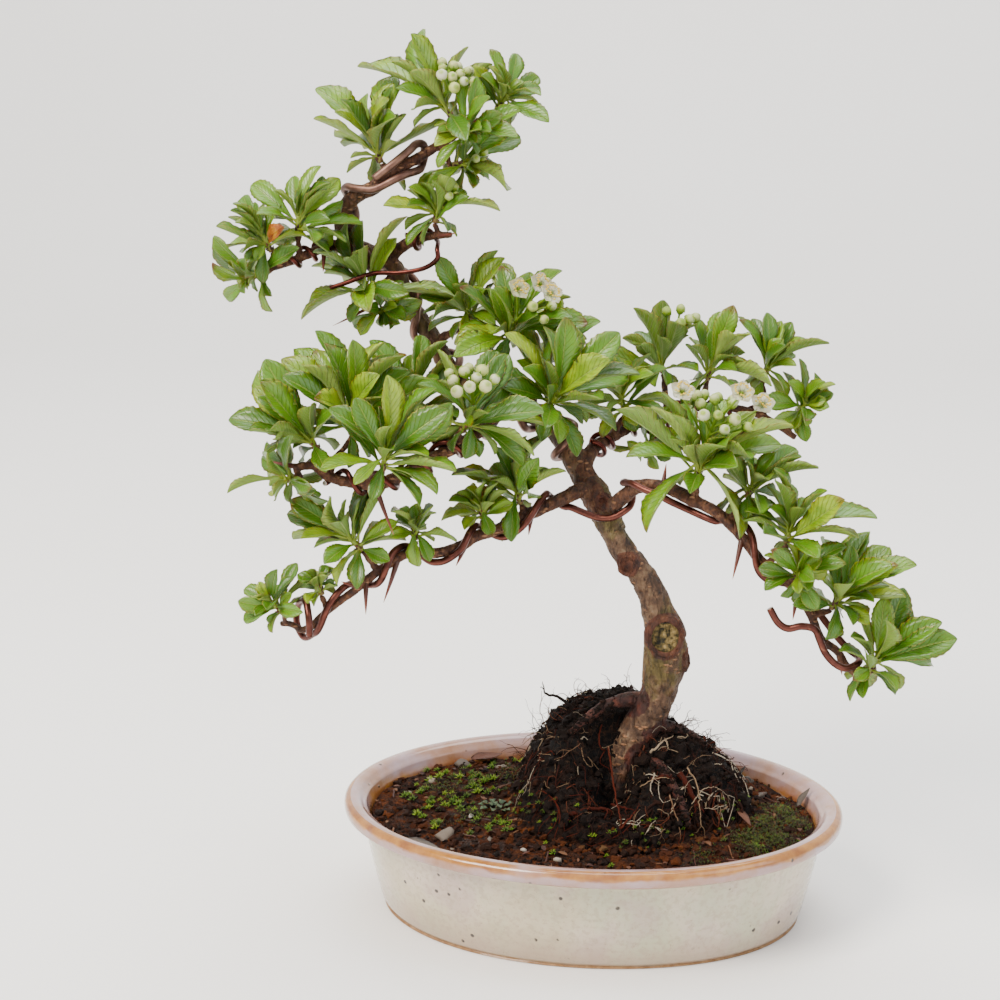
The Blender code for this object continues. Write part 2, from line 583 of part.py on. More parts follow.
def ball_ring(share, height, swell=0.0):
    """One level ring of the root ball's oval, in metres, pushed outwards by swell."""
    points = []
    for side in range(GROUND_SIDES):
        angle = 2 * math.pi * side / GROUND_SIDES
        wave = 1 + 0.05 * math.sin(3 * angle + 1) + 0.03 * math.cos(5 * angle)
        x = BALL_CENTRE[0] + (BALL_HALF_AXES[0] * wave * share + swell) * math.cos(angle)
        y = BALL_CENTRE[1] + (BALL_HALF_AXES[1] * wave * share + swell) * math.sin(angle)
        points.append(Vector((x, y, height)) * MM)
    return points


def ball_height(x, y, share):
    """Height of the root ball's lumpy top above its seat: high left of the trunk, lower right of it and before it."""
    blend = min(max((x - 8) / 24, 0), 1)
    blend = blend * blend * (3 - 2 * blend)
    crest = BALL_HEIGHT_LEFT + (BALL_HEIGHT_RIGHT - BALL_HEIGHT_LEFT) * blend
    front = min(max((-4 - y) / 24, 0), 1)
    crest -= 14 * front
    hollow = 30 * math.exp(-(((x - 10) / 10) ** 2) - ((y + 14) / 13) ** 2)
    return crest * max(1 - share**2, 0) ** 0.62 - hollow + 2.2 * lumps(x, y, 6) * (1.2 - share)


def root_ball_mesh(wood_cutters):
    """The peaty root ball, with plain holes where the trunk's foot and the roots on it stand."""
    floor = SEAT_LEVEL + GAP

    def top_ring(share):
        ring = ball_ring(share, 0)
        for point in ring:
            height = ball_height(point.x / MM, point.y / MM, share)
            point.z = (floor + max(height, 3.5)) * MM
        return ring

    rings = [ball_ring(0.97, floor)] + [top_ring(share) for share in BALL_RINGS[::-1]]
    top = Vector((*BALL_CENTRE, floor + ball_height(*BALL_CENTRE, 0))) * MM
    body = mesh_from(lambda bm: loft(bm, rings, end_centre=top))
    return cut(body, wood_cutters)


def scar_mesh(centre, outward, radius, thickness):
    """The rolled rim that has grown round a cut branch."""
    outward = Vector(outward).normalized()
    turn = outward.to_track_quat("Z", "Y").to_matrix().to_4x4()
    place = Matrix.Translation(mm(centre)) @ turn
    around, section = 10, 4

    def build(bm):
        rings = []
        for step in range(around):
            angle = 2 * math.pi * step / around
            out = Vector((math.cos(angle), math.sin(angle), 0))
            middle = Vector((out.x, out.y * SCAR_TALL, 0)) * radius
            rings.append(
                [
                    bm.verts.new(place @ ((middle + (out * math.cos(s) + UP * math.sin(s)) * thickness) * MM))
                    for s in (2 * math.pi * k / section for k in range(section))
                ]
            )
        for step in range(around):
            here, there = rings[step], rings[(step + 1) % around]
            for k in range(section):
                bm.faces.new((here[k], here[(k + 1) % section], there[(k + 1) % section], there[k]))

    return mesh_from(build)


def nearest_wood(point):
    """The trunk or branch nearest to a point in millimetres, and the place along it."""
    best = None
    for route in (TRUNK, *BRANCHES.values()):
        for index, (start, end) in enumerate(zip(route, route[1:])):
            first, last = Vector(start[:3]), Vector(end[:3])
            share = min(max(intersect_point_line(point, first, last)[1], 0), 0.99)
            radius = start[3] + (end[3] - start[3]) * share
            away = (point - first.lerp(last, share)).length - radius
            if best is None or away < best[0]:
                best = (away, route, index + share)
    return best[1], best[2]


def clear_root(point, shape, wires):
    """The first mesh of shape(root, radius) that clears the wires, with its root slid along the wood."""
    route, place = nearest_wood(point)
    first = None
    for slide in (0, 0.25, -0.25, 0.5, -0.5, 0.75, -0.75, 1, -1, 1.3, -1.3, 1.6, -1.6):
        root, _, radius = on_route(route, min(max(place + slide, 0.1), len(route) - 1.1))
        tree = mesh_tree(shape(root, radius, GAP))
        if first is None:
            first = (root, radius)
        if not any(tree.overlap(wire) for wire in wires):
            return shape(root, radius, 0)
    return shape(*first, 0)


def shoot_axis(tips):
    """The way a shoot grows: the mean direction of its leaves, drawn a little upwards."""
    total = UP * 0.8
    for tip in tips:
        total = total + Vector(tip).normalized()
    return total.normalized()


def shoot_length(tips):
    return 4 + 0.4 * len(tips)


def spur_mesh(base, axis, wires):
    """The woody spur that a leafy shoot grows from, its flat end just short of the shoot."""
    end = Vector(base) - axis * GAP

    def shape(root, radius, swell):
        way = (end - root).normalized()
        turn = way.to_track_quat("Z", "Y")
        bend = way.rotation_difference(axis)
        corners = [Vector((math.cos(a), math.sin(a), 0)) for a in (math.pi / 2 * k for k in range(4))]
        thickness = min(1.3 + 0.03 * (end - root).length, 0.8 * radius) + swell
        start_ring = [(root + turn @ corner * thickness) * MM for corner in corners]
        end_ring = [(end + bend @ (turn @ corner) * (SHOOT_RADIUS + swell)) * MM for corner in corners]
        return mesh_from(lambda bm: loft(bm, [start_ring, end_ring]))

    return clear_root(Vector(base), shape, wires)


def thorn_mesh(base, tip, wires):
    def shape(root, _, swell):
        return rod(root * MM, mm(tip), 1.2 + swell, 0.15 + swell, 3)

    return clear_root(Vector(base), shape, wires)


def wood_mesh(wires):
    """Trunk, branches, surface roots, healed cuts, spurs and thorns, grown together."""
    pieces = [route_tube(TRUNK, 2)]
    pieces += [route_tube(route, 1) for route in BRANCHES.values()]
    pieces += [route_tube(route, 1) for route in SURFACE_ROOTS]
    pieces += [scar_mesh(*scar) for scar in SCARS]
    pieces += [spur_mesh(base, shoot_axis(tips), wires) for base, tips in SHOOTS.values()]
    pieces += [thorn_mesh(*thorn, wires) for thorn in THORNS]
    return fuse(pieces)


def wire_routes():
    """Radius, roundness and points in millimetres of each training wire."""
    lower = [Vector(point) for point in LOWER_LEFT_LOOP]
    lower += wound(BRANCHES["lower_left"], LOWER_LEFT_TURNS, LOWER_WIRE_RADIUS, FRONT, THIN_WIRE_STEPS)
    lower += [Vector(point) for point in LOWER_BRIDGE]
    lower += wound(BRANCHES["lower_right"], LOWER_RIGHT_TURNS, LOWER_WIRE_RADIUS, FRONT, THIN_WIRE_STEPS)
    lower += [Vector(point) for point in LOWER_RIGHT_HOOK]
    trunk = wound(TRUNK, TRUNK_TURNS, TRUNK_WIRE_RADIUS, FRONT, THICK_WIRE_STEPS)
    trunk += [Vector(point) for point in TRUNK_WIRE_TAIL]
    routes = {
        "wire_lower": (LOWER_WIRE_RADIUS, 1, lower),
        "wire_trunk": (TRUNK_WIRE_RADIUS, 1, trunk),
    }
    for name, turns, radius in (
        ("upper_right", UPPER_RIGHT_TURNS, UPPER_WIRE_RADIUS),
        ("upper_left", UPPER_LEFT_TURNS, UPPER_WIRE_RADIUS),
        ("middle_left", MIDDLE_LEFT_TURNS, MIDDLE_WIRE_RADIUS),
        ("middle_right", MIDDLE_RIGHT_TURNS, MIDDLE_WIRE_RADIUS),
    ):
        points = wound(BRANCHES[name], turns, radius, UP, THIN_WIRE_STEPS)
        if name == "upper_right":
            points = [Vector(point) for point in UPPER_RIGHT_END] + points
        routes["wire_" + name] = (radius, 0, points)
    return routes


def blade(base, tip, face, width, edge, rib, thickness, fold, arch):
    """Points and faces of one thin blade, folded along its rib and arched, its upper side towards face."""
    chord = tip - base
    along = chord.normalized()
    across = along.cross(face)
    if across.length < 0.2:
        across = along.cross(Vector((0.6, -0.7, 0.4)))
    across.normalize()
    up = across.cross(along)

    def middle(share):
        return base + chord * share + up * chord.length * arch * 4 * share * (1 - share)

    def rim(share, reach, side):
        half = width / 2 * reach
        return middle(share) + across * half * math.cos(fold) * side + up * half * math.sin(fold)

    count, ribs = len(edge), len(rib)
    points = [base] + [rim(share, reach, 1) for share, reach in edge] + [tip]
    points += [rim(share, reach, -1) for share, reach in edge[::-1]]
    points += [middle(share) + up * thickness / 2 for share in rib]
    points += [middle(share) - up * thickness / 2 for share in rib]
    right = [(0, 0.0)] + [(k + 1, edge[k][0]) for k in range(count)] + [(count + 1, 1.0)]
    faces = []
    for side, bottom in ((0, 0), (0, 1), (1, 0), (1, 1)):
        chain = [(index if side == 0 else -index % (2 * count + 2), share) for index, share in right]
        ridge = [2 * count + 2 + bottom * ribs + k for k in range(ribs)]
        at, near = 0, 0
        while at < len(chain) - 1:
            if near < ribs - 1 and chain[at + 1][1] > (rib[near] + rib[near + 1]) / 2:
                face_points = (chain[at][0], ridge[near + 1], ridge[near])
                near += 1
            else:
                face_points = (chain[at][0], chain[at + 1][0], ridge[near])
                at += 1
            faces.append(face_points if side == bottom else face_points[::-1])
    return points, faces


def node_heights(tips, axis, flowering):
    """Where each leaf leaves its shoot, as a share of it: the upright ones low where a flower head stands on it."""
    order = sorted(range(len(tips)), key=lambda k: Vector(tips[k]).normalized().dot(axis))
    low, reach = (0.9, -0.8) if flowering else (0.2, 0.75)
    shares = [0.0] * len(tips)
    for rank, k in enumerate(order):
        shares[k] = low + reach * rank / max(len(tips) - 1, 1)
    return shares


def leaf(base, axis, height, offset, roll, swell=0.0):
    """One leaf, from inside its shoot at a height to its tip at the offset from the shoot's base."""
    start = Vector(base) + axis * height
    tip = Vector(base) + Vector(offset)
    along = (tip - start).normalized()
    start -= along * 0.2 * SHOOT_RADIUS
    face = (axis * 0.9 + UP * 0.35 + FRONT * 0.3).normalized()
    face.rotate(Matrix.Rotation(roll, 3, along))
    length = (tip - start).length
    small = length < SMALL_LEAF_LENGTH
    width = LEAF_WIDTH * length + (1.5 if small else 0)
    return blade(
        start * MM,
        tip * MM,
        face,
        (width + swell) * MM,
        SMALL_LEAF_EDGE if small else LEAF_EDGE,
        SMALL_LEAF_RIB if small else LEAF_RIB,
        (LEAF_THICKNESS + swell) * MM,
        LEAF_FOLD,
        LEAF_ARCH,
    )


def shifts():
    """Small turns about the shoot and away from it, with shorter leaves last, tried until a leaf is clear."""
    found = []
    for scale in (1.0, 0.85, 0.7):
        found.append((0.0, 0.0, scale))
        for spread in (9, 18, 28):
            for k in range(8):
                angle = math.pi / 4 * k
                found.append(
                    (math.radians(spread) * math.cos(angle), math.radians(spread) * math.sin(angle), scale)
                )
    return found


def shifted(offset, axis, turn, lift, scale):
    moved = Vector(offset) * scale
    side = axis.cross(moved)
    moved.rotate(Matrix.Rotation(turn, 3, axis))
    if side.length > 0.1:
        moved.rotate(Matrix.Rotation(lift, 3, side.normalized()))
    return moved


def tree_of(points, faces):
    return BVHTree.FromPolygons([tuple(point) for point in points], faces)


def mesh_tree(mesh):
    return tree_of([vert.co for vert in mesh.vertices], [tuple(face.vertices) for face in mesh.polygons])


def outer_part(points, faces):
    """The blade without the faces that meet its root, where leaves of one shoot may touch."""
    return points, [face for face in faces if 0 not in face]


def place_leaves(obstacles):
    """The leaves of every shoot as blades that clear all other pieces, and where possible each other."""
    placed = []
    leaves = {name: [] for name in SHOOTS}
    hosts = {head[0] for head in HEADS.values()}
    for name, (base, tips) in SHOOTS.items():
        axis = shoot_axis(tips)
        shares = node_heights(tips, axis, name in hosts)
        for number, offset in enumerate(tips):
            height = shares[number] * shoot_length(tips)
            roll = 0.35 * math.sin(2.4 * number + base[0])
            fallback = None
            for shift in shifts():
                moved = shifted(offset, axis, *shift)
                points, faces = leaf(base, axis, height, moved, roll, swell=0.5)
                centre = sum(points, Vector()) / len(points)
                reach = max((point - centre).length for point in points)
                tree = tree_of(points, faces)
                near = [
                    other for other in placed if (other[1] - centre).length < other[2] + reach and other[0] != name
                ]
                if any(tree.overlap(other[3]) for other in near):
                    continue
                if any(tree.overlap(other) for other in obstacles):
                    continue
                if fallback is None:
                    fallback = (moved, centre, reach, tree)
                own = tree_of(*outer_part(points, faces))
                siblings = [other for other in placed if other[0] == name]
                if not any(own.overlap(other[4]) for other in siblings):
                    fallback = (moved, centre, reach, tree)
                    break
            if fallback is None:
                continue
            moved, centre, reach, tree = fallback
            exact = leaf(base, axis, height, moved, roll)
            placed.append((name, centre, reach, tree_of(*exact), tree_of(*outer_part(*exact))))
            leaves[name].append(exact)
    return leaves


def stem_mesh(base, tips):
    """The green shoot that the leaves of one tuft stand on."""
    axis = shoot_axis(tips)
    end = Vector(base) + axis * shoot_length(tips)
    return rod(mm(base), end * MM, SHOOT_RADIUS, 0.75 * SHOOT_RADIUS, 4)


def bud_mesh(start, centre, radius):
    """A closed bud with its stalklet, which starts inside the head's stalk."""
    end = centre + (centre - start).normalized() * radius * 1.1
    profile = (
        ((end - start).length, 0.22),
        (2.1 * radius, 0.4),
        (1.15 * radius, radius),
        (0.1 * radius, 0.5 * radius),
    )
    return turned(start, end, profile, BUD_SIDES)


def open_flower(start, centre, outward):
    """A stalklet and the open flower on it: five rounded petals round a cup, their edges waved."""
    turn = outward.to_track_quat("Z", "Y").to_matrix()

    def spot(angle, away, height):
        return (centre + turn @ Vector((away * math.cos(angle), away * math.sin(angle), height))) * MM

    points = [spot(0, 0, 0.3), spot(0, 0, -1.5)]
    faces = []
    count = len(PETAL_RIM)
    for petal in range(5):
        first = len(points)
        angle = 2 * math.pi * petal / 5
        points += [spot(angle + turned_by, PETAL_LENGTH * away, height) for turned_by, away, height in PETAL_RIM]
        points += [spot(angle, PETAL_LENGTH * 0.55, 0.6), spot(angle, PETAL_LENGTH * 0.55, -0.3)]
        upper, lower = first + count, first + count + 1
        after = 2 + (first - 2 + count + 2) % (5 * (count + 2))
        rim = [first + k for k in range(count)] + [after]
        for here, there in zip(rim, rim[1:]):
            faces += [(here, there, upper), (there, here, lower)]
        faces += [(0, first, upper), (0, upper, after), (1, lower, first), (1, after, lower)]
    reach = (centre - start).length
    stalklet = turned(start, centre, ((reach, 0.22), (0.6, 0.45)), BUD_SIDES)
    return [mesh_of(points, faces), stalklet]


def head_places(centre, outward, radius, count):
    """Places over a low dome, spread by the golden angle."""
    side = outward.cross(FRONT + UP * 0.2).normalized()
    other = outward.cross(side)
    for k in range(count):
        away = radius * math.sqrt((k + 0.5) / count)
        angle = k * GOLDEN_ANGLE
        drop = outward * (0.3 * away * away / radius - 0.8 * (k % 2))
        yield centre + (side * math.cos(angle) + other * math.sin(angle)) * away - drop


def head_mesh(host, centre, radius, count, bud, flowers):
    """A flower head: its stalk, a stalklet to each bud, the buds and the open flowers."""
    base, tips = SHOOTS[host]
    axis = shoot_axis(tips)
    foot = Vector(base) + axis * (shoot_length(tips) + GAP)
    centre = Vector(centre)
    outward = (centre - foot).normalized()
    knee = foot + axis * 1.5
    top = centre - outward * 2.4 * bud
    low = knee.lerp(top, 0.25)
    pieces = [
        rod(foot * MM, knee * MM, 0.7, 0.7, 4),
        rod((knee - axis * 0.3) * MM, top * MM, 0.7, 0.6, 4),
    ]
    spots = list(head_places(centre, outward, radius, count + len(flowers)))
    open_spots = [Vector(flower) for flower in flowers]
    for flower in open_spots:
        spots.remove(min(spots, key=lambda spot: (spot - flower).length))
    spots = sorted(spots + open_spots, key=lambda spot: (spot - centre).cross(outward).length)
    for rank, spot in enumerate(spots):
        start = top.lerp(low, rank / max(len(spots) - 1, 1))
        if spot in open_spots:
            pieces += open_flower(start, spot, (outward + FRONT * 0.5).normalized())
        else:
            pieces.append(bud_mesh(start, spot, bud))
    return fuse(pieces)


def main():
    clear_scene()
    bonsai = make_collection("pyracantha_bonsai")
    glaze = make_material("pot_glaze", (0.72, 0.72, 0.62), 0.2)
    net = make_material("net_plastic", (0.03, 0.03, 0.03), 0.5)
    earth = make_material("soil", (0.12, 0.06, 0.035), 0.95)
    peat = make_material("root_peat", (0.035, 0.025, 0.02), 0.95)
    bark = make_material("bark", (0.23, 0.18, 0.13), 0.85)
    copper = make_material("wire_copper", (0.22, 0.1, 0.07), 0.4, 0.9)
    green = make_material("leaf_green", (0.16, 0.33, 0.06), 0.5)
    cream = make_material("flower_cream", (0.85, 0.85, 0.65), 0.6)

    add_object("pot", pot_mesh(), bonsai, glaze, smooth=True)
    add_screen("drain_net_left", -HOLE_X, bonsai, net)
    add_screen("drain_net_right", HOLE_X, bonsai, net)
    add_object("soil", soil_mesh(), bonsai, earth, smooth=True)
    foot = [route_tube(TRUNK[:7], 2, GAP + 0.1)] + [route_tube(route, 1, GAP + 0.1) for route in SURFACE_ROOTS]
    add_object("root_ball", root_ball_mesh(foot), bonsai, peat, smooth=True)
    obstacles = []
    for name, (radius, roundness, points) in wire_routes().items():
        metres = [point * MM for point in points]
        obstacles.append(mesh_tree(tube(metres, [radius] * len(points), roundness)))
        add_curve(name, metres, [radius] * len(points), roundness, bonsai, copper)
    wood = add_object("wood", wood_mesh(list(obstacles)), bonsai, bark, smooth=True)
    obstacles.append(mesh_tree(wood.data))

    for name, head in HEADS.items():
        flowers = add_object("flowers_" + name, head_mesh(*head), bonsai, cream)
        obstacles.append(mesh_tree(flowers.data))

    for name, blades in place_leaves(obstacles).items():
        pieces = [stem_mesh(*SHOOTS[name])] + [mesh_of(*one) for one in blades]
        add_object("leaves_" + name, fuse(pieces), bonsai, green)


main()
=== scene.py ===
"""Looks of a pyracantha bonsai in an oval glazed pot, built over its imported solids. Metres, +Z up.

Routes, shoots and flower heads are given in millimetres, in the same frame as the solids.
"""

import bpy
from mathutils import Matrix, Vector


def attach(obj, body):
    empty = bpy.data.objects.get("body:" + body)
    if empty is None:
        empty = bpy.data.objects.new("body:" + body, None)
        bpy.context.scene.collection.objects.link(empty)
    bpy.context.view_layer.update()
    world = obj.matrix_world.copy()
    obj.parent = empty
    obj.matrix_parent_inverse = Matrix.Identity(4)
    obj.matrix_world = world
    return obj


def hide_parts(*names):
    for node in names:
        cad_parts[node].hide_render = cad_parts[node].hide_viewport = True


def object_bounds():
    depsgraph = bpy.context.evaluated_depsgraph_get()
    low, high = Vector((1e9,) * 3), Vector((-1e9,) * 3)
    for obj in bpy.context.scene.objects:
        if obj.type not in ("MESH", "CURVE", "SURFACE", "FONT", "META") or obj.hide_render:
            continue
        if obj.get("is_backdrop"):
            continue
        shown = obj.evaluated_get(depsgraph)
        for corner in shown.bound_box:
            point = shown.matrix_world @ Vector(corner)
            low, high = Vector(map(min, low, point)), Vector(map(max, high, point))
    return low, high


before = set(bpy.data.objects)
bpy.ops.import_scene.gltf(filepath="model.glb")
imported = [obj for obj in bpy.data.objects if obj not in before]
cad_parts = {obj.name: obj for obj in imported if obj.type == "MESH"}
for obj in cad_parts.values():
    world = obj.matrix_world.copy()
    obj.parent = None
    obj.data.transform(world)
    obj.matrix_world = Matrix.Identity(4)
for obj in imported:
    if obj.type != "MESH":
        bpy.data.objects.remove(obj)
CAD_BOX = [tuple(corner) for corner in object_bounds()]

import logging
import math
import random
from dataclasses import dataclass, field
from enum import Enum
from typing import Iterator, Optional, Sequence

import bmesh
import bpy
import numpy as np
from mathutils import Matrix, Vector, noise
from mathutils.bvhtree import BVHTree
from mathutils.geometry import intersect_point_line
from mathutils.kdtree import KDTree

log = logging.getLogger("bonsai")
Socket = bpy.types.NodeSocket
Material = bpy.types.Material
Array = np.ndarray
Row = Sequence[float]
Skin = tuple[Array, list[Array]]

MM = 0.001
UP = Vector((0, 0, 1))
FRONT = Vector((0, -1, 0))
GOLDEN_ANGLE = math.radians(137.5)


# Wood: (x, y, z, radius)
TRUNK = (
    (11, 0, 47, 9.8), (13, 0, 58, 8.4), (16.5, 0, 68, 7.3), (21.5, 0, 78.5, 7.0), (25, 0, 87, 6.9),
    (27, 0, 99, 7.9), (27, 0, 109, 7.8), (24, -1, 119, 5.9), (20, -2, 130, 5.2), (12, -3, 141, 4.7),
    (8, -3, 148, 4.7), (1, 0, 161, 5.6), (-4, 2, 168, 4.6), (-11, 5, 180, 4.4), (-17, 6, 188, 4.5),
    (-25, 6, 191, 4.0), (-34, 7, 193, 3.8), (-46, 10, 196, 3.7), (-56, 16, 204, 3.6), (-63, 18, 216, 3.5),
    (-70, 18, 226, 3.4), (-73, 16, 234, 3.3), (-78, 12, 245, 3.4), (-86, 10, 249, 3.3), (-92, 8, 252, 3.2),
    (-94, 6, 258, 3.1), (-93, 4, 264, 3.0), (-88, 2, 270, 2.8), (-81, 0, 273, 2.6), (-74, 0, 279, 2.3),
    (-66, 2, 283, 2.0), (-58, 4, 288, 1.7), (-51, 4, 292, 1.4),
)
BRANCHES = {
    "lower_left": (
        (1, 0, 160, 3.0), (-4, -4, 165, 2.9), (-8, -8, 164, 2.7), (-15, -12, 161, 2.5),
        (-23, -17, 158, 2.3), (-32, -22, 154, 2.2), (-40, -27, 152, 2.0), (-45, -30, 149, 2.0),
        (-53, -33, 147, 1.9), (-61, -36, 148, 1.9), (-68, -38, 145, 1.8), (-75, -40, 140, 1.7),
        (-82, -41, 134, 1.6), (-90, -42, 128, 1.5), (-97, -42, 121, 1.4), (-101, -42, 119, 1.3),
        (-105, -42, 121, 1.2), (-109, -42, 121, 1.0),
    ),
    "lower_right": (
        (1, 0, 158, 3.2), (6, -6, 159, 2.9), (13, -12, 166, 2.7), (18, -16, 170, 2.5), (28, -22, 171, 2.4),
        (35, -27, 169, 2.3), (44, -31, 166, 2.1), (50, -33, 162, 2.0), (56, -35, 156, 1.9),
        (61, -37, 150, 1.9), (66, -38, 146, 1.8), (73, -39, 141, 1.7), (79, -39, 132, 1.6),
        (83, -38, 123, 1.5), (89, -37, 118, 1.4), (92, -36, 113, 1.3), (98, -35, 107, 1.2),
    ),
    "middle_left": (
        (-34, 7, 193, 2.8), (-39, -10, 189, 2.6), (-45, -28, 186, 2.4), (-53, -38, 183, 2.3),
        (-60, -46, 180, 2.3), (-68, -52, 177, 2.2), (-75, -55, 177, 2.1), (-86, -56, 179, 1.8),
        (-92, -56, 183, 1.6), (-99, -56, 182, 1.4),
    ),
    "middle_right": (
        (-4, 2, 171, 2.8), (-2, 8, 177, 2.6), (2, 16, 179, 2.3), (11, 30, 182, 2.1), (20, 38, 185, 2.0),
        (33, 44, 187, 1.9), (44, 48, 187, 1.7), (59, 48, 184, 1.5), (73, 46, 176, 1.2),
    ),
    "upper_right": (
        (-77, 14, 242, 2.6), (-77, 12, 247, 2.5), (-71, 8, 252, 2.2), (-66, 4, 254, 1.9),
        (-61, 0, 256, 1.6), (-52, -4, 257, 1.2),
    ),
    "upper_left": (
        (-91, 9, 249, 2.4), (-97, 2, 252, 2.1), (-103, -4, 250, 1.8), (-110, -8, 247, 1.5),
        (-116, -10, 245, 1.3),
    ),
}
SURFACE_ROOTS = (
    ((20, 0, 84, 3.0), (12, -4, 84.5, 2.6), (5, -6, 82, 2.2), (-1, -8, 78, 1.8), (-7, -10, 72.5, 1.3)),
    ((17, 0, 62, 3.0), (26, -12, 62.5, 2.2), (34, -20, 54, 1.6), (38.5, -26, 45, 1.1)),
    ((20, 0, 73, 3.0), (29, 1, 73, 2.4), (36, 3, 70, 1.8), (43, 5, 64, 1.2)),
)

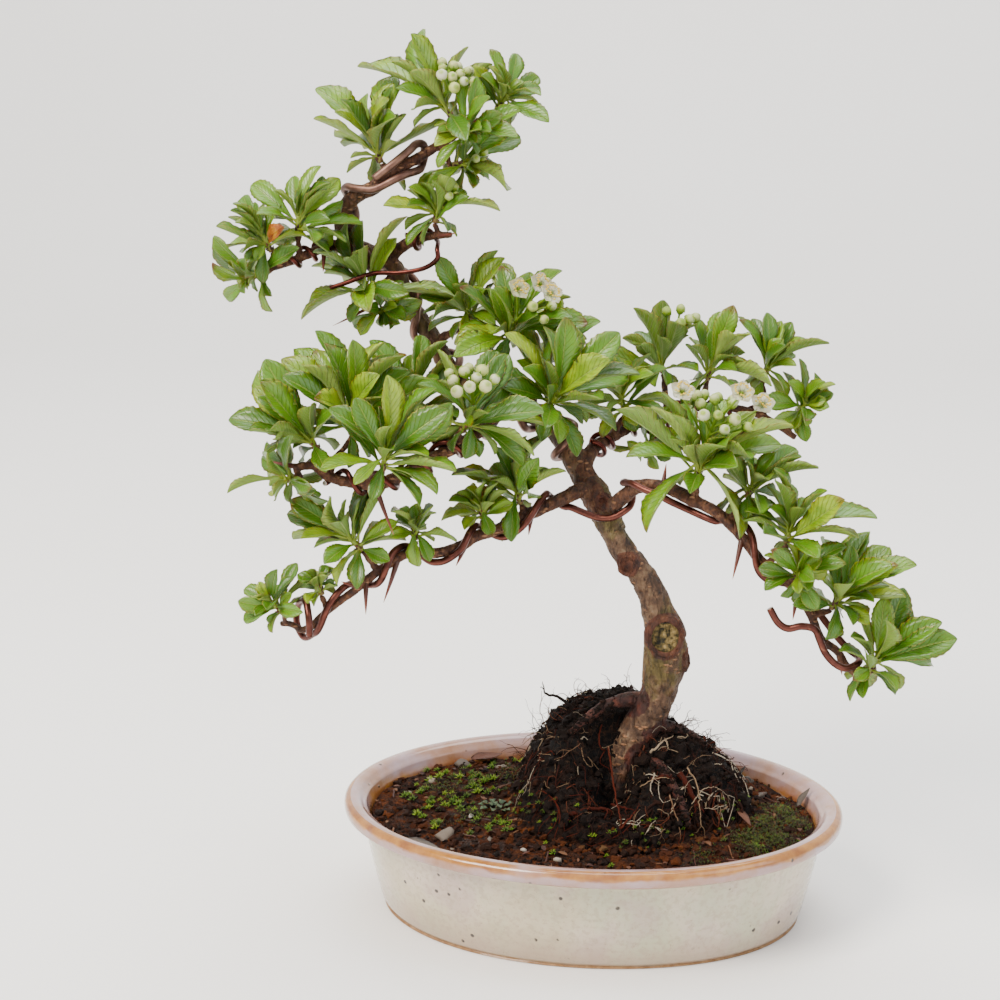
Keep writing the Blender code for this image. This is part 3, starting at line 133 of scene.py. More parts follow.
# Leafy shoots: the base of each, and the tip of each leaf measured from that base
SHOOTS = {
    "apex_left": ((-52, 1, 297), (
        (-15, 14, 33), (-31, 8, 29), (-14, -10, 18), (-20, -4, 11), (-15, -12, 2), (5, 8, 26),
        (-2, 14, 14))),
    "apex_right": ((-37, 5, 301), (
        (1, -6, 16), (17, -10, 5), (15, 0, 2), (20, -10, -4), (-3, -16, 12), (6, 8, 19), (8, 12, 8))),
    "apex_low": ((-46, -3, 292), ((19, -10, 0), (-10, -12, -3), (-10, -6, -11), (10, -14, 14))),
    "apex_under": ((-53, 5, 281), ((26, 11, 6), (27, -12, 0), (8, -4, -8), (12, 10, 2))),
    "upper_left_tuft": ((-78.5, 2.5, 281.7), (
        (-24, 2, 26), (-16, -6, 18), (5, 0, 28), (-7, 10, 24), (-14, 12, 18), (-10, -6, 2), (8, -8, 8))),
    "upper_right_tuft": ((-58, -3, 261), (
        (-9, -4, 13), (2, 11, 18), (24, -4, 5), (-7, 10, 8), (8, 10, 12))),
    "far_left_a": ((-107, -9, 257), (
        (8, 4, 24), (-7, -6, 16), (-18, 6, 17), (14, -10, 6), (-12, -12, 8), (19, -6, -2), (0, 12, 12))),
    "far_left_b": ((-116, -12, 251), (
        (-11, -8, 11), (-12, 8, 19), (-7, -14, 1), (8, -12, 10), (-19, 6, 0), (2, 8, 20))),
    "far_left_c": ((-119, -11, 243), (
        (-9, -12, 6), (4, -6, -13), (-16, 4, -10), (-20, 12, 0), (-5, -10, -6))),
    "mid_left_tuft": ((-82, 2, 234), (
        (3, 2, 31), (10, -5, 24), (-20, -10, 18), (-23, 0, 10), (-26, -12, 1), (-25, 2, -4),
        (-12, 14, 14))),
    "mid_left_low": ((-79, 9, 228), (
        (-8, -8, -9), (10, -14, -2), (16, -12, 5), (-14, 4, -5), (-4, -14, 2))),
    "crown_left": ((-47, 13, 224), (
        (-12, -6, 24), (-19, -6, 9), (-16, -14, 4), (-3, -14, 15), (12, 0, 23), (-15, -10, -3),
        (2, 14, 20))),
    "crown_mid": ((-33, 4, 217), (
        (-5, -8, 21), (0, -18, 13), (21, -8, 15), (19, 8, 26), (28, 0, 12), (-18, -10, 1), (4, 18, 20))),
    "crown_right": ((-20, 12, 208), (
        (4, 6, 26), (20, 4, 16), (-6, 16, 18), (24, -8, 4), (12, 16, 12), (-16, 2, 14))),
    "centre_front": ((-17, -9, 196), (
        (-1, -2, 30), (34, -6, 14), (26, 0, 28), (-14, -8, 28), (26, -8, -6), (-10, -12, -2), (6, -14, -10),
        (12, -8, -16), (10, 10, 30))),
    "centre_right": ((9, 20, 189), (
        (-3, -4, 22), (10, -6, 19), (-12, -8, 6), (17, 0, 6), (-9, -8, -8), (-15, 4, 11), (9, 10, 21),
        (-4, 16, 10))),
    "left_flower": ((-44, -36, 192), (
        (-14, -8, 18), (26, 0, 17), (27, -8, -6), (22, 0, -12), (14, 14, 26), (28, 0, 12), (-10, 8, 16))),
    "left_front": ((-67, -59, 183), (
        (3, -6, 34), (-8, -6, 26), (5, -16, 19), (-19, -12, 2), (20, -8, -6), (24, -6, 23), (16, -14, 10),
        (-6, 10, 20))),
    "left_upper": ((-81, -45, 192), (
        (-12, 0, 36), (2, -4, 34), (-24, 0, 26), (-14, -12, 26), (16, -4, 32), (19, -14, 17), (2, 16, 22))),
    "left_outer": ((-91, -52, 188), (
        (-22, 0, 21), (-31, -2, 10), (-11, -16, 7), (-24, 8, 26), (-19, -8, 19), (-17, -8, 2), (1, -14, 18),
        (-12, 14, 12))),
    "left_low": ((-98, -53, 178), ((-24, -6, -5), (-14, 10, 2), (12, -8, -6), (-10, 6, -10))),
    "left_back": ((-64, -24, 194), (
        (14, 0, 28), (2, 8, 30), (-15, 4, 27), (-2, -10, 20), (13, -14, 17), (-14, 14, 10), (12, 16, 14))),
    "low_left_a": ((-25, -17, 162), (
        (-24, -9, 12), (-3, 3, 16), (16, 3, 12), (-6, -5, -14), (-11, -13, 11), (2, 7, 24), (-8, 12, 8))),
    "low_left_b": ((-38, -25, 158), ((-11, -7, 8), (2, -5, 15), (-6, 9, 10), (8, 8, 6))),
    "low_left_c": ((-60, -38, 153), ((-7, -8, 12), (16, -8, 2), (-10, 0, 3), (7, 4, 9), (-2, 12, 6))),
    "low_left_d": ((-78, -44, 150), (
        (-25, -2, 18), (-19, -10, 9), (-16, -6, 2), (-11, -12, -2), (-7, -10, -10), (3, 0, 23),
        (-4, -6, 20), (13, 0, 11), (-8, 12, 8))),
    "low_left_e": ((-93, -44, 133), ((-4, -4, 10), (4, -6, 9), (-9, 4, 1), (2, 8, 8))),
    "low_left_tip": ((-107, -45, 126), (
        (-8, -2, 12), (0, -6, 18), (-14, -2, -3), (-2, -8, -5), (-7, -8, 8), (-2, 8, 8))),
    "right_bud": ((22, 39, 201), (
        (-11, -4, 28), (11, -10, 20), (-8, -4, 8), (-6, 14, 14), (-14, 10, 12), (6, 14, 16))),
    "right_up": ((39, 38, 199), (
        (9, -2, 29), (13, -8, 22), (4, 8, 25), (-6, -12, 15), (15, -8, 8), (-8, 12, 14))),
    "right_far": ((60, 44, 199), (
        (-10, -4, 23), (-5, 6, 22), (7, -4, 16), (24, -6, 15), (12, -10, 7), (-7, -10, 5), (4, 14, 14))),
    "right_end": ((74, 45, 186), (
        (13, -4, 12), (11, -8, 4), (-5, -12, 14), (-15, -14, 6), (3, -6, -10), (6, 12, 8))),
    "right_flower": ((39, -31, 177), (
        (-17, -2, 25), (32, -4, 20), (-25, -6, 8), (-17, -12, -17), (15, -12, -18), (29, 4, 11),
        (14, 20, 17), (-8, 14, 12))),
    "right_inner": ((20, 28, 178), ((-10, -6, 0), (2, -4, -11), (14, -12, 6), (-5, 0, -9), (-6, 12, -4))),
    "low_right_a": ((56, -30, 170), ((24, -6, 13), (9, 2, 16), (-1, -8, 16), (-9, 10, 5), (10, 12, 6))),
    "low_right_b": ((70, -40, 157), (
        (0, -2, 22), (30, -4, 11), (24, -8, 5), (-15, -6, 9), (-6, -10, 15), (8, 10, 13), (-6, 12, 6))),
    "low_right_c": ((73, -43, 146), ((17, -1, 12), (17, -9, 8), (-10, -7, -3), (-8, -11, 13), (8, -7, -9))),
    "low_right_d": ((86, -39, 134), (
        (6, 0, 23), (28, -4, 18), (14, -10, 6), (-12, -12, 7), (13, -6, -3), (-3, 8, 10), (8, 12, 4))),
    "low_right_tip": ((100, -36, 110), (
        (4, -2, 29), (29, -6, 16), (18, 2, 20), (11, 6, 30), (-6, -4, 14), (-6, -10, 1), (-2, -6, -7),
        (8, 10, 6))),
}

# Flower heads: shoot that carries it, centre, radius, closed buds, radius of a bud, open flowers
HEADS = {
    "apex": ("apex_left", (-50, -4, 314), 8, 12, 1.9, ()),
    "upper_right": ("upper_right_tuft", (-51, -4, 272), 4.5, 5, 1.6, ()),
    "under": ("apex_under", (-42, 3, 284), 4, 4, 1.5, ()),
    "crown": ("crown_mid", (-20, -3, 234), 8, 3, 1.9, ((-28, -5, 238), (-16, -8, 237), (-21, 2, 239))),
    "left": ("left_flower", (-39, -44, 213), 9, 10, 2.1, ()),
    "right_back": ("right_bud", (30, 34, 224), 7, 5, 1.9, ()),
    "right": ("right_flower", (46, -38, 204), 12, 12, 2.0, ((33, -41, 209), (53, -41, 209), (60, -34, 204))),
}


def srgb(code: int, depth: float = 0.62, vivid: float = 1.3) -> tuple[float, float, float, float]:
    """Turns a six-digit hexadecimal screen colour into a linear one.

    Args:
        code: the colour as it should look.
        depth: scale that makes up for the view's bright, flat tones.
        vivid: how far its parts are spread about their mean.

    Returns:
        The linear colour, with alpha 1.
    """
    parts = [((code >> shift) & 255) / 255 for shift in (16, 8, 0)]
    parts = [part / 12.92 if part < 0.04045 else ((part + 0.055) / 1.055) ** 2.4 for part in parts]
    grey = sum(parts) / 3
    return (*[min(max((grey + (part - grey) * vivid) * depth, 0.0), 1.0) for part in parts], 1.0)


def unit(vector: Row) -> Array:
    """A vector's direction as an array."""
    found = np.array(vector, float)
    return found / max(np.linalg.norm(found), 1e-9)


def smooth_route(points: Sequence[Row], step: float) -> Array:
    """Puts closely spaced points on a smooth line through given ones.

    Args:
        points: rows of x, y, z and any further values, such as a radius, that change along the line.
        step: rough spacing of the result, in millimetres.

    Returns:
        Rows like those given.
    """
    rows = np.array([tuple(row) for row in points], float)
    ends = np.vstack([2 * rows[0] - rows[1], rows, 2 * rows[-1] - rows[-2]])
    found = []
    for a, b, c, d in zip(ends, ends[1:], ends[2:], ends[3:]):
        count = max(1, round(np.linalg.norm(c[:3] - b[:3]) / step))
        for t in np.arange(count) / count:
            bend = (2 * a - 5 * b + 4 * c - d) * t * t + (3 * b - a - 3 * c + d) * t**3
            found.append(0.5 * (2 * b + (c - a) * t + bend))
    return np.array(found + [rows[-1]])


def circle(sides: int) -> Array:
    """Evenly spaced angles round a circle."""
    return 2 * np.pi * np.arange(sides) / sides


def ray(reach: float, angle: float, rise: float = 0.0) -> Array:
    """A step outwards at an angle about the vertical, and upwards."""
    return np.array([reach * math.cos(angle), reach * math.sin(angle), rise])


def clamp(value: float, low: float = 0.0, high: float = 1.0) -> float:
    """A value kept between two others."""
    return min(max(value, low), high)


def jitter(chance: random.Random, spread: float) -> Array:
    """A random move with the same spread along each axis."""
    return np.array([chance.gauss(0, spread) for _ in range(3)])


def nearest(points: Sequence[Row]) -> KDTree:
    """A search tree that gives the number of the nearest point.

    Args:
        points: where they lie.

    Returns:
        The tree.
    """
    tree = KDTree(len(points))
    for number, point in enumerate(points):
        tree.insert(Vector(point), number)
    tree.balance()
    return tree


def wrap(levels: int, sides: int) -> list[Array]:
    """Closes a skin over rings of points, with the middle of the first and the last ring as two points more.

    Args:
        levels: how many rings there are.
        sides: points in a ring.

    Returns:
        Faces between the rings, and faces over both ends.
    """
    here = np.arange(sides)
    after = (here + 1) % sides
    rows = np.arange(levels - 1)[:, None] * sides
    low, high = rows + here, rows + after
    quads = np.stack([low, high, high + sides, low + sides], -1).reshape(-1, 4)
    last, end = (levels - 1) * sides, levels * sides
    first_fan = np.stack([np.full(sides, end), after, here], -1)
    last_fan = np.stack([np.full(sides, end + 1), last + here, last + after], -1)
    return [quads, np.vstack([first_fan, last_fan])]


def sweep(path: Array, radii: Row, sides: int) -> Skin:
    """Makes a closed tube of round section.

    Args:
        path: its middle line, one row a ring.
        radii: its radius at each ring.
        sides: how many flats go round it.

    Returns:
        Its points, and its faces as arrays of point numbers.
    """
    way = np.gradient(path, axis=0)
    side = np.cross(way[0], (0.3, -0.5, 0.8))
    angles = circle(sides)
    rings = []
    for point, tangent, radius in zip(path, way, radii):
        tangent = unit(tangent)
        side = unit(side - tangent * side.dot(tangent))
        other = np.cross(tangent, side)
        rings.append(point + radius * (np.outer(np.cos(angles), side) + np.outer(np.sin(angles), other)))
    return np.vstack([*rings, path[:1], path[-1:]]), wrap(len(path), sides)


def thin_solid(top: Array, bottom: Array) -> tuple[Array, Array, Array]:
    """Closes two grids of points that share their border.

    Args:
        top: upper points, as (rows, columns, 3).
        bottom: lower points, alike, of which only the inner ones are used.

    Returns:
        The points, the upper faces and the lower faces.
    """
    rows, columns = top.shape[:2]
    upper = np.arange(rows * columns).reshape(rows, columns)
    lower = upper.copy()
    inner = (rows - 2) * (columns - 2)
    lower[1:-1, 1:-1] = rows * columns + np.arange(inner).reshape(rows - 2, columns - 2)
    points = np.vstack([top.reshape(-1, 3), bottom[1:-1, 1:-1].reshape(-1, 3)])

    def quads(grid: Array) -> Array:
        """Faces over a grid of point numbers."""
        return np.stack([grid[:-1, :-1], grid[:-1, 1:], grid[1:, 1:], grid[1:, :-1]], -1).reshape(-1, 4)

    return points, quads(upper), quads(lower)[:, ::-1]


def tucked(top: Array, middle: Array) -> Array:
    """A grid of points whose border is drawn to another grid's.

    Args:
        top: the grid.
        middle: the grid that gives the border.

    Returns:
        The new grid.
    """
    found = middle.copy()
    found[1:-1, 1:-1] = top[1:-1, 1:-1]
    return found


def sheet_uv(shares: Array, sides: Array) -> Array:
    """Places on the UV map for the points of a thin solid, which run along it and across it from -1 to 1."""
    grid = np.stack(np.broadcast_arrays(shares, (sides + 1) / 2), -1)
    return np.vstack([grid.reshape(-1, 2), grid[1:-1, 1:-1].reshape(-1, 2)])


class Recipe:
    """A node material in the making: one shader, and nodes put before it by short calls."""

    def __init__(self, name: str, roughness: float, **sockets: float) -> None:
        """Starts a material.

        Args:
            name: its name.
            roughness: the shader's roughness where nothing changes it.
            sockets: values for further shader sockets, with _ for a space.
        """
        self.material = bpy.data.materials.new(name)
        self.material.use_nodes = True
        self.tree = self.material.node_tree
        self.shader = self.tree.nodes["Principled BSDF"]
        for socket, value in {"Roughness": roughness, **sockets}.items():
            self.shader.inputs[socket.replace("_", " ")].default_value = value
        coordinates = self.add("TexCoord").outputs
        self.place, self.uv = coordinates["Object"], coordinates["UV"]

    def add(self, kind: str, links: Optional[dict] = None, **settings: object) -> bpy.types.Node:
        """Adds a node.

        Args:
            kind: its type, without the leading ShaderNode.
            links: values or sockets for its inputs, by name or number.
            settings: the node's own properties.

        Returns:
            The node.
        """
        node = self.tree.nodes.new("ShaderNode" + kind)
        for key, value in settings.items():
            setattr(node, key, value)
        for key, value in (links or {}).items():
            if isinstance(value, Socket):
                self.tree.links.new(value, node.inputs[key])
            else:
                node.inputs[key].default_value = value
        return node

    def stretched(self, x: float, y: float, z: float, turn: float = 0.0) -> Socket:
        """The object's coordinates, scaled along each axis and turned about Z."""
        links = {"Vector": self.place, "Scale": (x, y, z), "Rotation": (0, 0, turn)}
        return self.add("Mapping", links).outputs["Vector"]

    def height(self) -> Socket:
        """Height above the floor, in metres."""
        return self.add("SeparateXYZ", {"Vector": self.place}).outputs["Z"]

    def noise(self, scale: float, detail: float = 3, vector: Optional[Socket] = None) -> Socket:
        """A cloudy value, its scale in features a metre."""
        links = {"Vector": vector or self.place, "Scale": scale, "Detail": detail, "Roughness": 0.6}
        return self.add("TexNoise", links).outputs["Fac"]

    def cells(self, scale: float, vector: Optional[Socket] = None, feature: str = "F1") -> Socket:
        """Distance in a cell pattern, its scale in cells a metre."""
        links = {"Vector": vector or self.place, "Scale": scale}
        return self.add("TexVoronoi", links, feature=feature).outputs["Distance"]

    def ramp(self, value: Socket, *stops: tuple[float, int]) -> Socket:
        """The colour of a value, between stops of a place and a screen colour.

        Args:
            value: what is looked up.
            stops: place and screen colour of each stop.

        Returns:
            The colour.
        """
        node = self.add("ValToRGB", {"Fac": value})
        elements = node.color_ramp.elements
        while len(elements) < len(stops):
            elements.new(0.5)
        for element, (position, code) in zip(elements, stops):
            element.position = position
            element.color = srgb(code)
        return node.outputs["Color"]

    def step(self, value: Socket, low: float, high: float) -> Socket:
        """A value that goes from 0 at low to 1 at high."""
        links = {"Value": value, "From Min": low, "From Max": high}
        return self.add("MapRange", links, interpolation_type="SMOOTHSTEP").outputs["Result"]

    def math(self, operation: str, first: object, second: object = 0.0) -> Socket:
        """The result of one sum."""
        return self.add("Math", {0: first, 1: second}, operation=operation).outputs[0]

    def scaled(self, value: Socket, scale: float, offset: float = 0.0) -> Socket:
        """A value times a scale, plus an offset."""
        links = {0: value, 1: scale, 2: offset}
        return self.add("Math", links, operation="MULTIPLY_ADD").outputs[0]

    def mix(self, share: object, first: object, second: object) -> Socket:
        """Two colours mixed."""
        return self.add("Mix", {0: share, 6: first, 7: second}, data_type="RGBA").outputs[2]

    def over(self, below: Socket, mask: Socket, share: float, above: object) -> Socket:
        """A colour with another, or a screen colour, laid over it where a mask is, up to a share."""
        return self.mix(self.scaled(mask, share), below, srgb(above) if isinstance(above, int) else above)

    def specks(self, cells: float, edges: tuple, clouds: tuple, vector: Optional[Socket] = None) -> Socket:
        """Scattered specks.

        Args:
            cells: how many may lie along a metre.
            edges: distances from a cell's middle at which a speck begins and is full.
            clouds: scale and detail of a noise, and its values between which specks come to show.
            vector: coordinates, where they aren't the object's.

        Returns:
            1 in a speck and 0 elsewhere.
        """
        scale, detail, low, high = clouds
        dots = self.step(self.cells(cells, vector), *edges)
        return self.math("MULTIPLY", dots, self.step(self.noise(scale, detail), low, high))

    def tint(self) -> tuple[Socket, ...]:
        """The three values that each point of the mesh carries."""
        colour = self.add("Attribute", attribute_name="tint").outputs["Color"]
        return tuple(self.add("SeparateColor", {"Color": colour}).outputs[:3])

    def relief(self, height: Socket, depth: float, before: Optional[Socket] = None) -> Socket:
        """Bumps of a depth in millimetres, on top of those before.

        Args:
            height: what rises.
            depth: how far.
            before: the normal so far.

        Returns:
            The bumped normal.
        """
        links = {"Height": height, "Distance": depth * MM, "Strength": 1.0}
        if before is not None:
            links["Normal"] = before
        return self.add("Bump", links).outputs["Normal"]

    def bumps(self, scale: float, detail: float, depth: float, before: Optional[Socket] = None) -> Socket:
        """Cloudy bumps of a depth in millimetres, on top of those before."""
        return self.relief(self.noise(scale, detail), depth, before)

    def finish(self, colour: Socket, normal: Socket, roughness: Optional[Socket] = None) -> Material:
        """Links colour, bumped normal and any changing roughness to the shader, and gives the material.

        Args:
            colour: the base colour.
            normal: the bumped normal.
            roughness: where it changes.

        Returns:
            The material.
        """
        for name, socket in (("Base Color", colour), ("Roughness", roughness), ("Normal", normal)):
            if socket is not None:
                self.tree.links.new(socket, self.shader.inputs[name])
        return self.material


class Coating:
    """A finish of the tree or its pot, which its own class builds up in a recipe."""

    def make(self, name: str) -> Material:
        """Makes the finish's node material.

        Args:
            name: the material's name.

        Returns:
            The material.
        """
        raise NotImplementedError


@dataclass(frozen=True)
class Clouded(Coating):
    """A ramp of colours over fine bumps, clouded with one more colour.

    The mesh's first value looks up the colours, or a noise where one is given. Bumps are scale, detail and
    depth, and a cloud is scale, detail, share and screen colour.
    """

    roughness: float
    stops: tuple
    bumps: tuple
    cloud: Optional[tuple] = None
    noise: Optional[tuple] = None
    sockets: dict = field(default_factory=dict)

    def make(self, name: str) -> Material:
        """Its node material.

        Args:
            name: the material's name.

        Returns:
            The material.
        """
        r = Recipe(name, self.roughness, **self.sockets)
        colour = r.ramp(r.noise(*self.noise) if self.noise else r.tint()[0], *self.stops)
        if self.cloud:
            scale, detail, share, code = self.cloud
            colour = r.over(colour, r.noise(scale, detail), share, code)
        return r.finish(colour, r.bumps(*self.bumps))


@dataclass(frozen=True)
class WireSkin(Coating):
    """Coloured aluminium: screen colours of its dull and its bright places, and its roughness; its pale
    pinkish streaks are painted highlights.
    """

    dark: int
    light: int
    roughness: float

    def make(self, name: str) -> Material:
        """Its node material.

        Args:
            name: the material's name.

        Returns:
            The material.
        """
        r = Recipe(name, self.roughness, Metallic=0.85, Coat_Weight=0.15, Coat_Roughness=0.3)
        colour = r.ramp(r.noise(260, 5), (0.3, self.dark), (0.7, self.light))
        # Pale pinkish streaks along the wire: painted highlights.
        colour = r.over(colour, r.step(r.noise(500, 3, r.stretched(1, 0.3, 1)), 0.62, 0.72), 0.35, 0xB98A72)
        return r.finish(colour, r.bumps(900, 3, 0.04), r.scaled(r.noise(300, 4), 0.3, self.roughness - 0.15))


# Shader sockets that several finishes share
DULL = dict(Specular_IOR_Level=0.2)
GLASS = dict(Coat_Weight=0.3, Coat_Roughness=0.06, IOR=1.5)
FLESH = dict(Subsurface_Weight=0.1, Subsurface_Scale=0.0012)


def lilac(r: Recipe) -> Socket:
    """The glaze where it runs thick over the rim: lilac pink, mottled with tan."""
    stops = (0.3, 0xA9826A), (0.42, 0xBD9A8A), (0.52, 0xC4A9A6), (0.64, 0xCDB9BD), (0.78, 0xDACDCC)
    return r.ramp(r.noise(42, 6), *stops)


def glazed(
    r: Recipe, colour: Socket, dots: Socket, depth: float, wave: float, roughness: Socket
) -> Material:
    """Finishes a glaze with low waves of a depth, fine unevenness and specks."""
    bumps = r.bumps(160, 4, 0.1, r.bumps(16, 3, wave))
    return r.finish(colour, r.relief(dots, depth, bumps), roughness)


def veins(r: Recipe) -> tuple[Socket, ...]:
    """Reads where a leaf has its veins from its UV map.

    Args:
        r: the leaf's recipe.

    Returns:
        Place along it, distance from the midrib, side veins, and midrib.
    """
    split = r.add("SeparateXYZ", {"Vector": r.uv})
    along = split.outputs["X"]
    away = r.math("ABSOLUTE", r.math("SUBTRACT", split.outputs["Y"], 0.5))
    rise = r.math("SUBTRACT", r.scaled(along, 12.0), r.scaled(away, 6.0))
    vein = r.step(r.math("PINGPONG", rise, 0.5), 0.12, 0.0)
    return along, away, vein, r.step(away, 0.045, 0.01)


class InnerGlaze(Coating):
    """Lilac glaze of the inner wall and the rim's top, rusty towards the earth."""

    def make(self, name: str) -> Material:
        """Its node material.

        Args:
            name: the material's name.

        Returns:
            The material.
        """
        r = Recipe(name, 0.16, **GLASS)
        stain = r.step(r.math("ADD", r.height(), r.scaled(r.noise(50, 5), 0.012)), 0.0465, 0.0415)
        colour = r.over(lilac(r), stain, 0.8, r.ramp(r.noise(90, 5), (0.35, 0x8A4F22), (0.65, 0xC08A4A)))
        dots = r.specks(210, (0.2, 0.1), (70, 1, 0.58, 0.62))
        colour = r.over(colour, dots, 0.85, 0x3A2A1E)
        return glazed(r, colour, dots, 0.15, 0.6, r.scaled(r.noise(130, 3), 0.2, 0.04))


class RimGlaze(Coating):
    """Lilac glaze of the rim's face, with a tan band at its upper edge and a brown line at its foot."""

    def make(self, name: str) -> Material:
        """Its node material.

        Args:
            name: the material's name.

        Returns:
            The material.
        """
        r = Recipe(name, 0.18, **GLASS)
        wander = r.math("ADD", r.height(), r.scaled(r.noise(70, 4), 0.004, -0.002))
        colour = r.over(lilac(r), r.step(wander, 0.0384, 0.0375), 0.8, 0xA3714E)
        tan = r.math("MULTIPLY", r.step(wander, 0.0403, 0.0416), r.step(r.noise(24, 4), 0.36, 0.5))
        colour = r.over(colour, tan, 0.9, r.ramp(r.noise(150, 5), (0.35, 0x9A6236), (0.65, 0xC89258)))
        dots = r.specks(190, (0.2, 0.1), (70, 1, 0.6, 0.64))
        colour = r.over(colour, dots, 0.95, 0x2A1E16)
        return glazed(r, colour, dots, -0.1, 0.5, r.scaled(r.noise(130, 3), 0.2, 0.05))


class BodyGlaze(Coating):
    """Cream celadon glaze with iron specks, and bare clay at the foot."""

    def make(self, name: str) -> Material:
        """Its node material.

        Args:
            name: the material's name.

        Returns:
            The material.
        """
        r = Recipe(name, 0.2, **GLASS)
        height, runs = r.height(), r.noise(45, 5, r.stretched(1, 1, 0.3))
        body = r.ramp(r.noise(26, 6), (0.3, 0xCABFA2), (0.45, 0xE0D3B8), (0.58, 0xECDDC8), (0.72, 0xF6E5D5))
        body = r.over(body, r.step(runs, 0.42, 0.66), 0.6, 0xCBD0B2)
        body = r.over(body, r.step(r.noise(33, 4), 0.5, 0.66), 0.6, 0xD2BCB4)
        body = r.over(body, r.step(r.noise(520, 4), 0.47, 0.62), 0.35, 0xB5A290)
        low = r.math("ADD", height, r.scaled(runs, 0.014))
        dots = r.specks(170, (0.17, 0.1), (70, 1, 0.53, 0.57))
        colour = r.over(r.over(body, r.step(low, 0.024, 0.008), 0.7, 0xBBA593), dots, 0.95, 0x2A1E16)
        colour = r.over(colour, r.specks(850, (0.24, 0.12), (260, 2, 0.48, 0.6)), 0.4, 0x857150)
        clay = r.step(r.math("ADD", height, r.scaled(r.noise(120, 3), 0.0016)), 0.0024, 0.0016)
        colour = r.mix(clay, colour, r.ramp(r.noise(400, 5), (0.35, 0x8A6748), (0.65, 0xB08D6A)))
        rough = r.math("ADD", r.scaled(clay, 0.55), r.scaled(r.noise(130, 3), 0.2, 0.06))
        return glazed(r, colour, dots, -0.1, 0.6, rough)


class CrumbedEarth(Coating):
    """Crumbs of earth, each of its own brown, darkened by its damp."""

    def make(self, name: str) -> Material:
        """Its node material.

        Args:
            name: the material's name.

        Returns:
            The material.
        """
        r = Recipe(name, 0.9, **DULL)
        own, _, damp = r.tint()
        colour = r.ramp(
            own, (0.0, 0x140B07), (0.4, 0x341C10), (0.65, 0x502B1A), (0.87, 0x703F24), (1.0, 0x7A5E44)
        )
        colour = r.over(r.mix(damp, colour, srgb(0x080503)), r.noise(1100, 5), 0.6, 0x1E120C)
        return r.finish(colour, r.bumps(900, 7, 1.1))


class DampEarth(Coating):
    """Damp reddish-brown earth, black where it is wet."""

    def make(self, name: str) -> Material:
        """Its node material.

        Args:
            name: the material's name.

        Returns:
            The material.
        """
        r = Recipe(name, 0.9, **DULL)
        colour = r.ramp(
            r.noise(210, 7), (0.32, 0x0F0805), (0.46, 0x2C160C), (0.56, 0x442412), (0.68, 0x623620)
        )
        damp = r.step(r.noise(45, 4), 0.5, 0.62)
        colour = r.over(r.over(colour, damp, 0.55, 0x1C110C), r.step(r.cells(600), 0.3, 0.15), 0.4, 0x6E4529)
        return r.finish(
            colour, r.relief(r.cells(1000), 0.35, r.bumps(480, 6, 0.9)), r.scaled(damp, -0.25, 0.92)
        )


class Peat(Coating):
    """Near-black peat bound by fine roots, turning to brown earth at its foot."""

    def make(self, name: str) -> Material:
        """Its node material.

        Args:
            name: the material's name.

        Returns:
            The material.
        """
        r = Recipe(name, 0.8, **DULL)
        stops = (0.32, 0x020101), (0.48, 0x090504), (0.58, 0x170E09), (0.7, 0x38241A), (0.8, 0x5E4636)
        threads = r.step(r.cells(500, r.stretched(1, 1, 0.4, 0.7), "DISTANCE_TO_EDGE"), 0.06, 0.01)
        colour = r.over(r.ramp(r.noise(300, 7), *stops), threads, 0.25, 0x6A5240)
        earth = r.ramp(r.noise(260, 6), (0.32, 0x0E0705), (0.48, 0x2C160C), (0.6, 0x4A2814), (0.72, 0x6E3A1E))
        foot = r.step(r.math("ADD", r.height(), r.scaled(r.noise(60, 5), 0.03)), 0.06, 0.047)
        return r.finish(r.over(colour, foot, 0.85, earth), r.relief(threads, 0.4, r.bumps(430, 6, 1.4)))


class MossGreen(Coating):
    """Moss leaflets, brighter at the tip."""

    def make(self, name: str) -> Material:
        """Its node material.

        Args:
            name: the material's name.

        Returns:
            The material.
        """
        r = Recipe(name, 0.7, Subsurface_Weight=0.1, Subsurface_Scale=0.001)
        own, tip, pale = r.tint()
        low = r.ramp(own, (0.0, 0x1C1D0C), (0.3, 0x232F10), (0.6, 0x2C4512), (1.0, 0x46661C))
        high = r.ramp(
            own, (0.0, 0x3A341C), (0.3, 0x50562A), (0.6, 0x5F7E2A), (0.85, 0x84A838), (1.0, 0xAAC454)
        )
        lichen = r.ramp(r.noise(700, 4), (0.35, 0x33432E), (0.65, 0x66775A))
        return r.finish(r.mix(pale, r.mix(tip, low, high), lichen), r.bumps(3000, 3, 0.06))


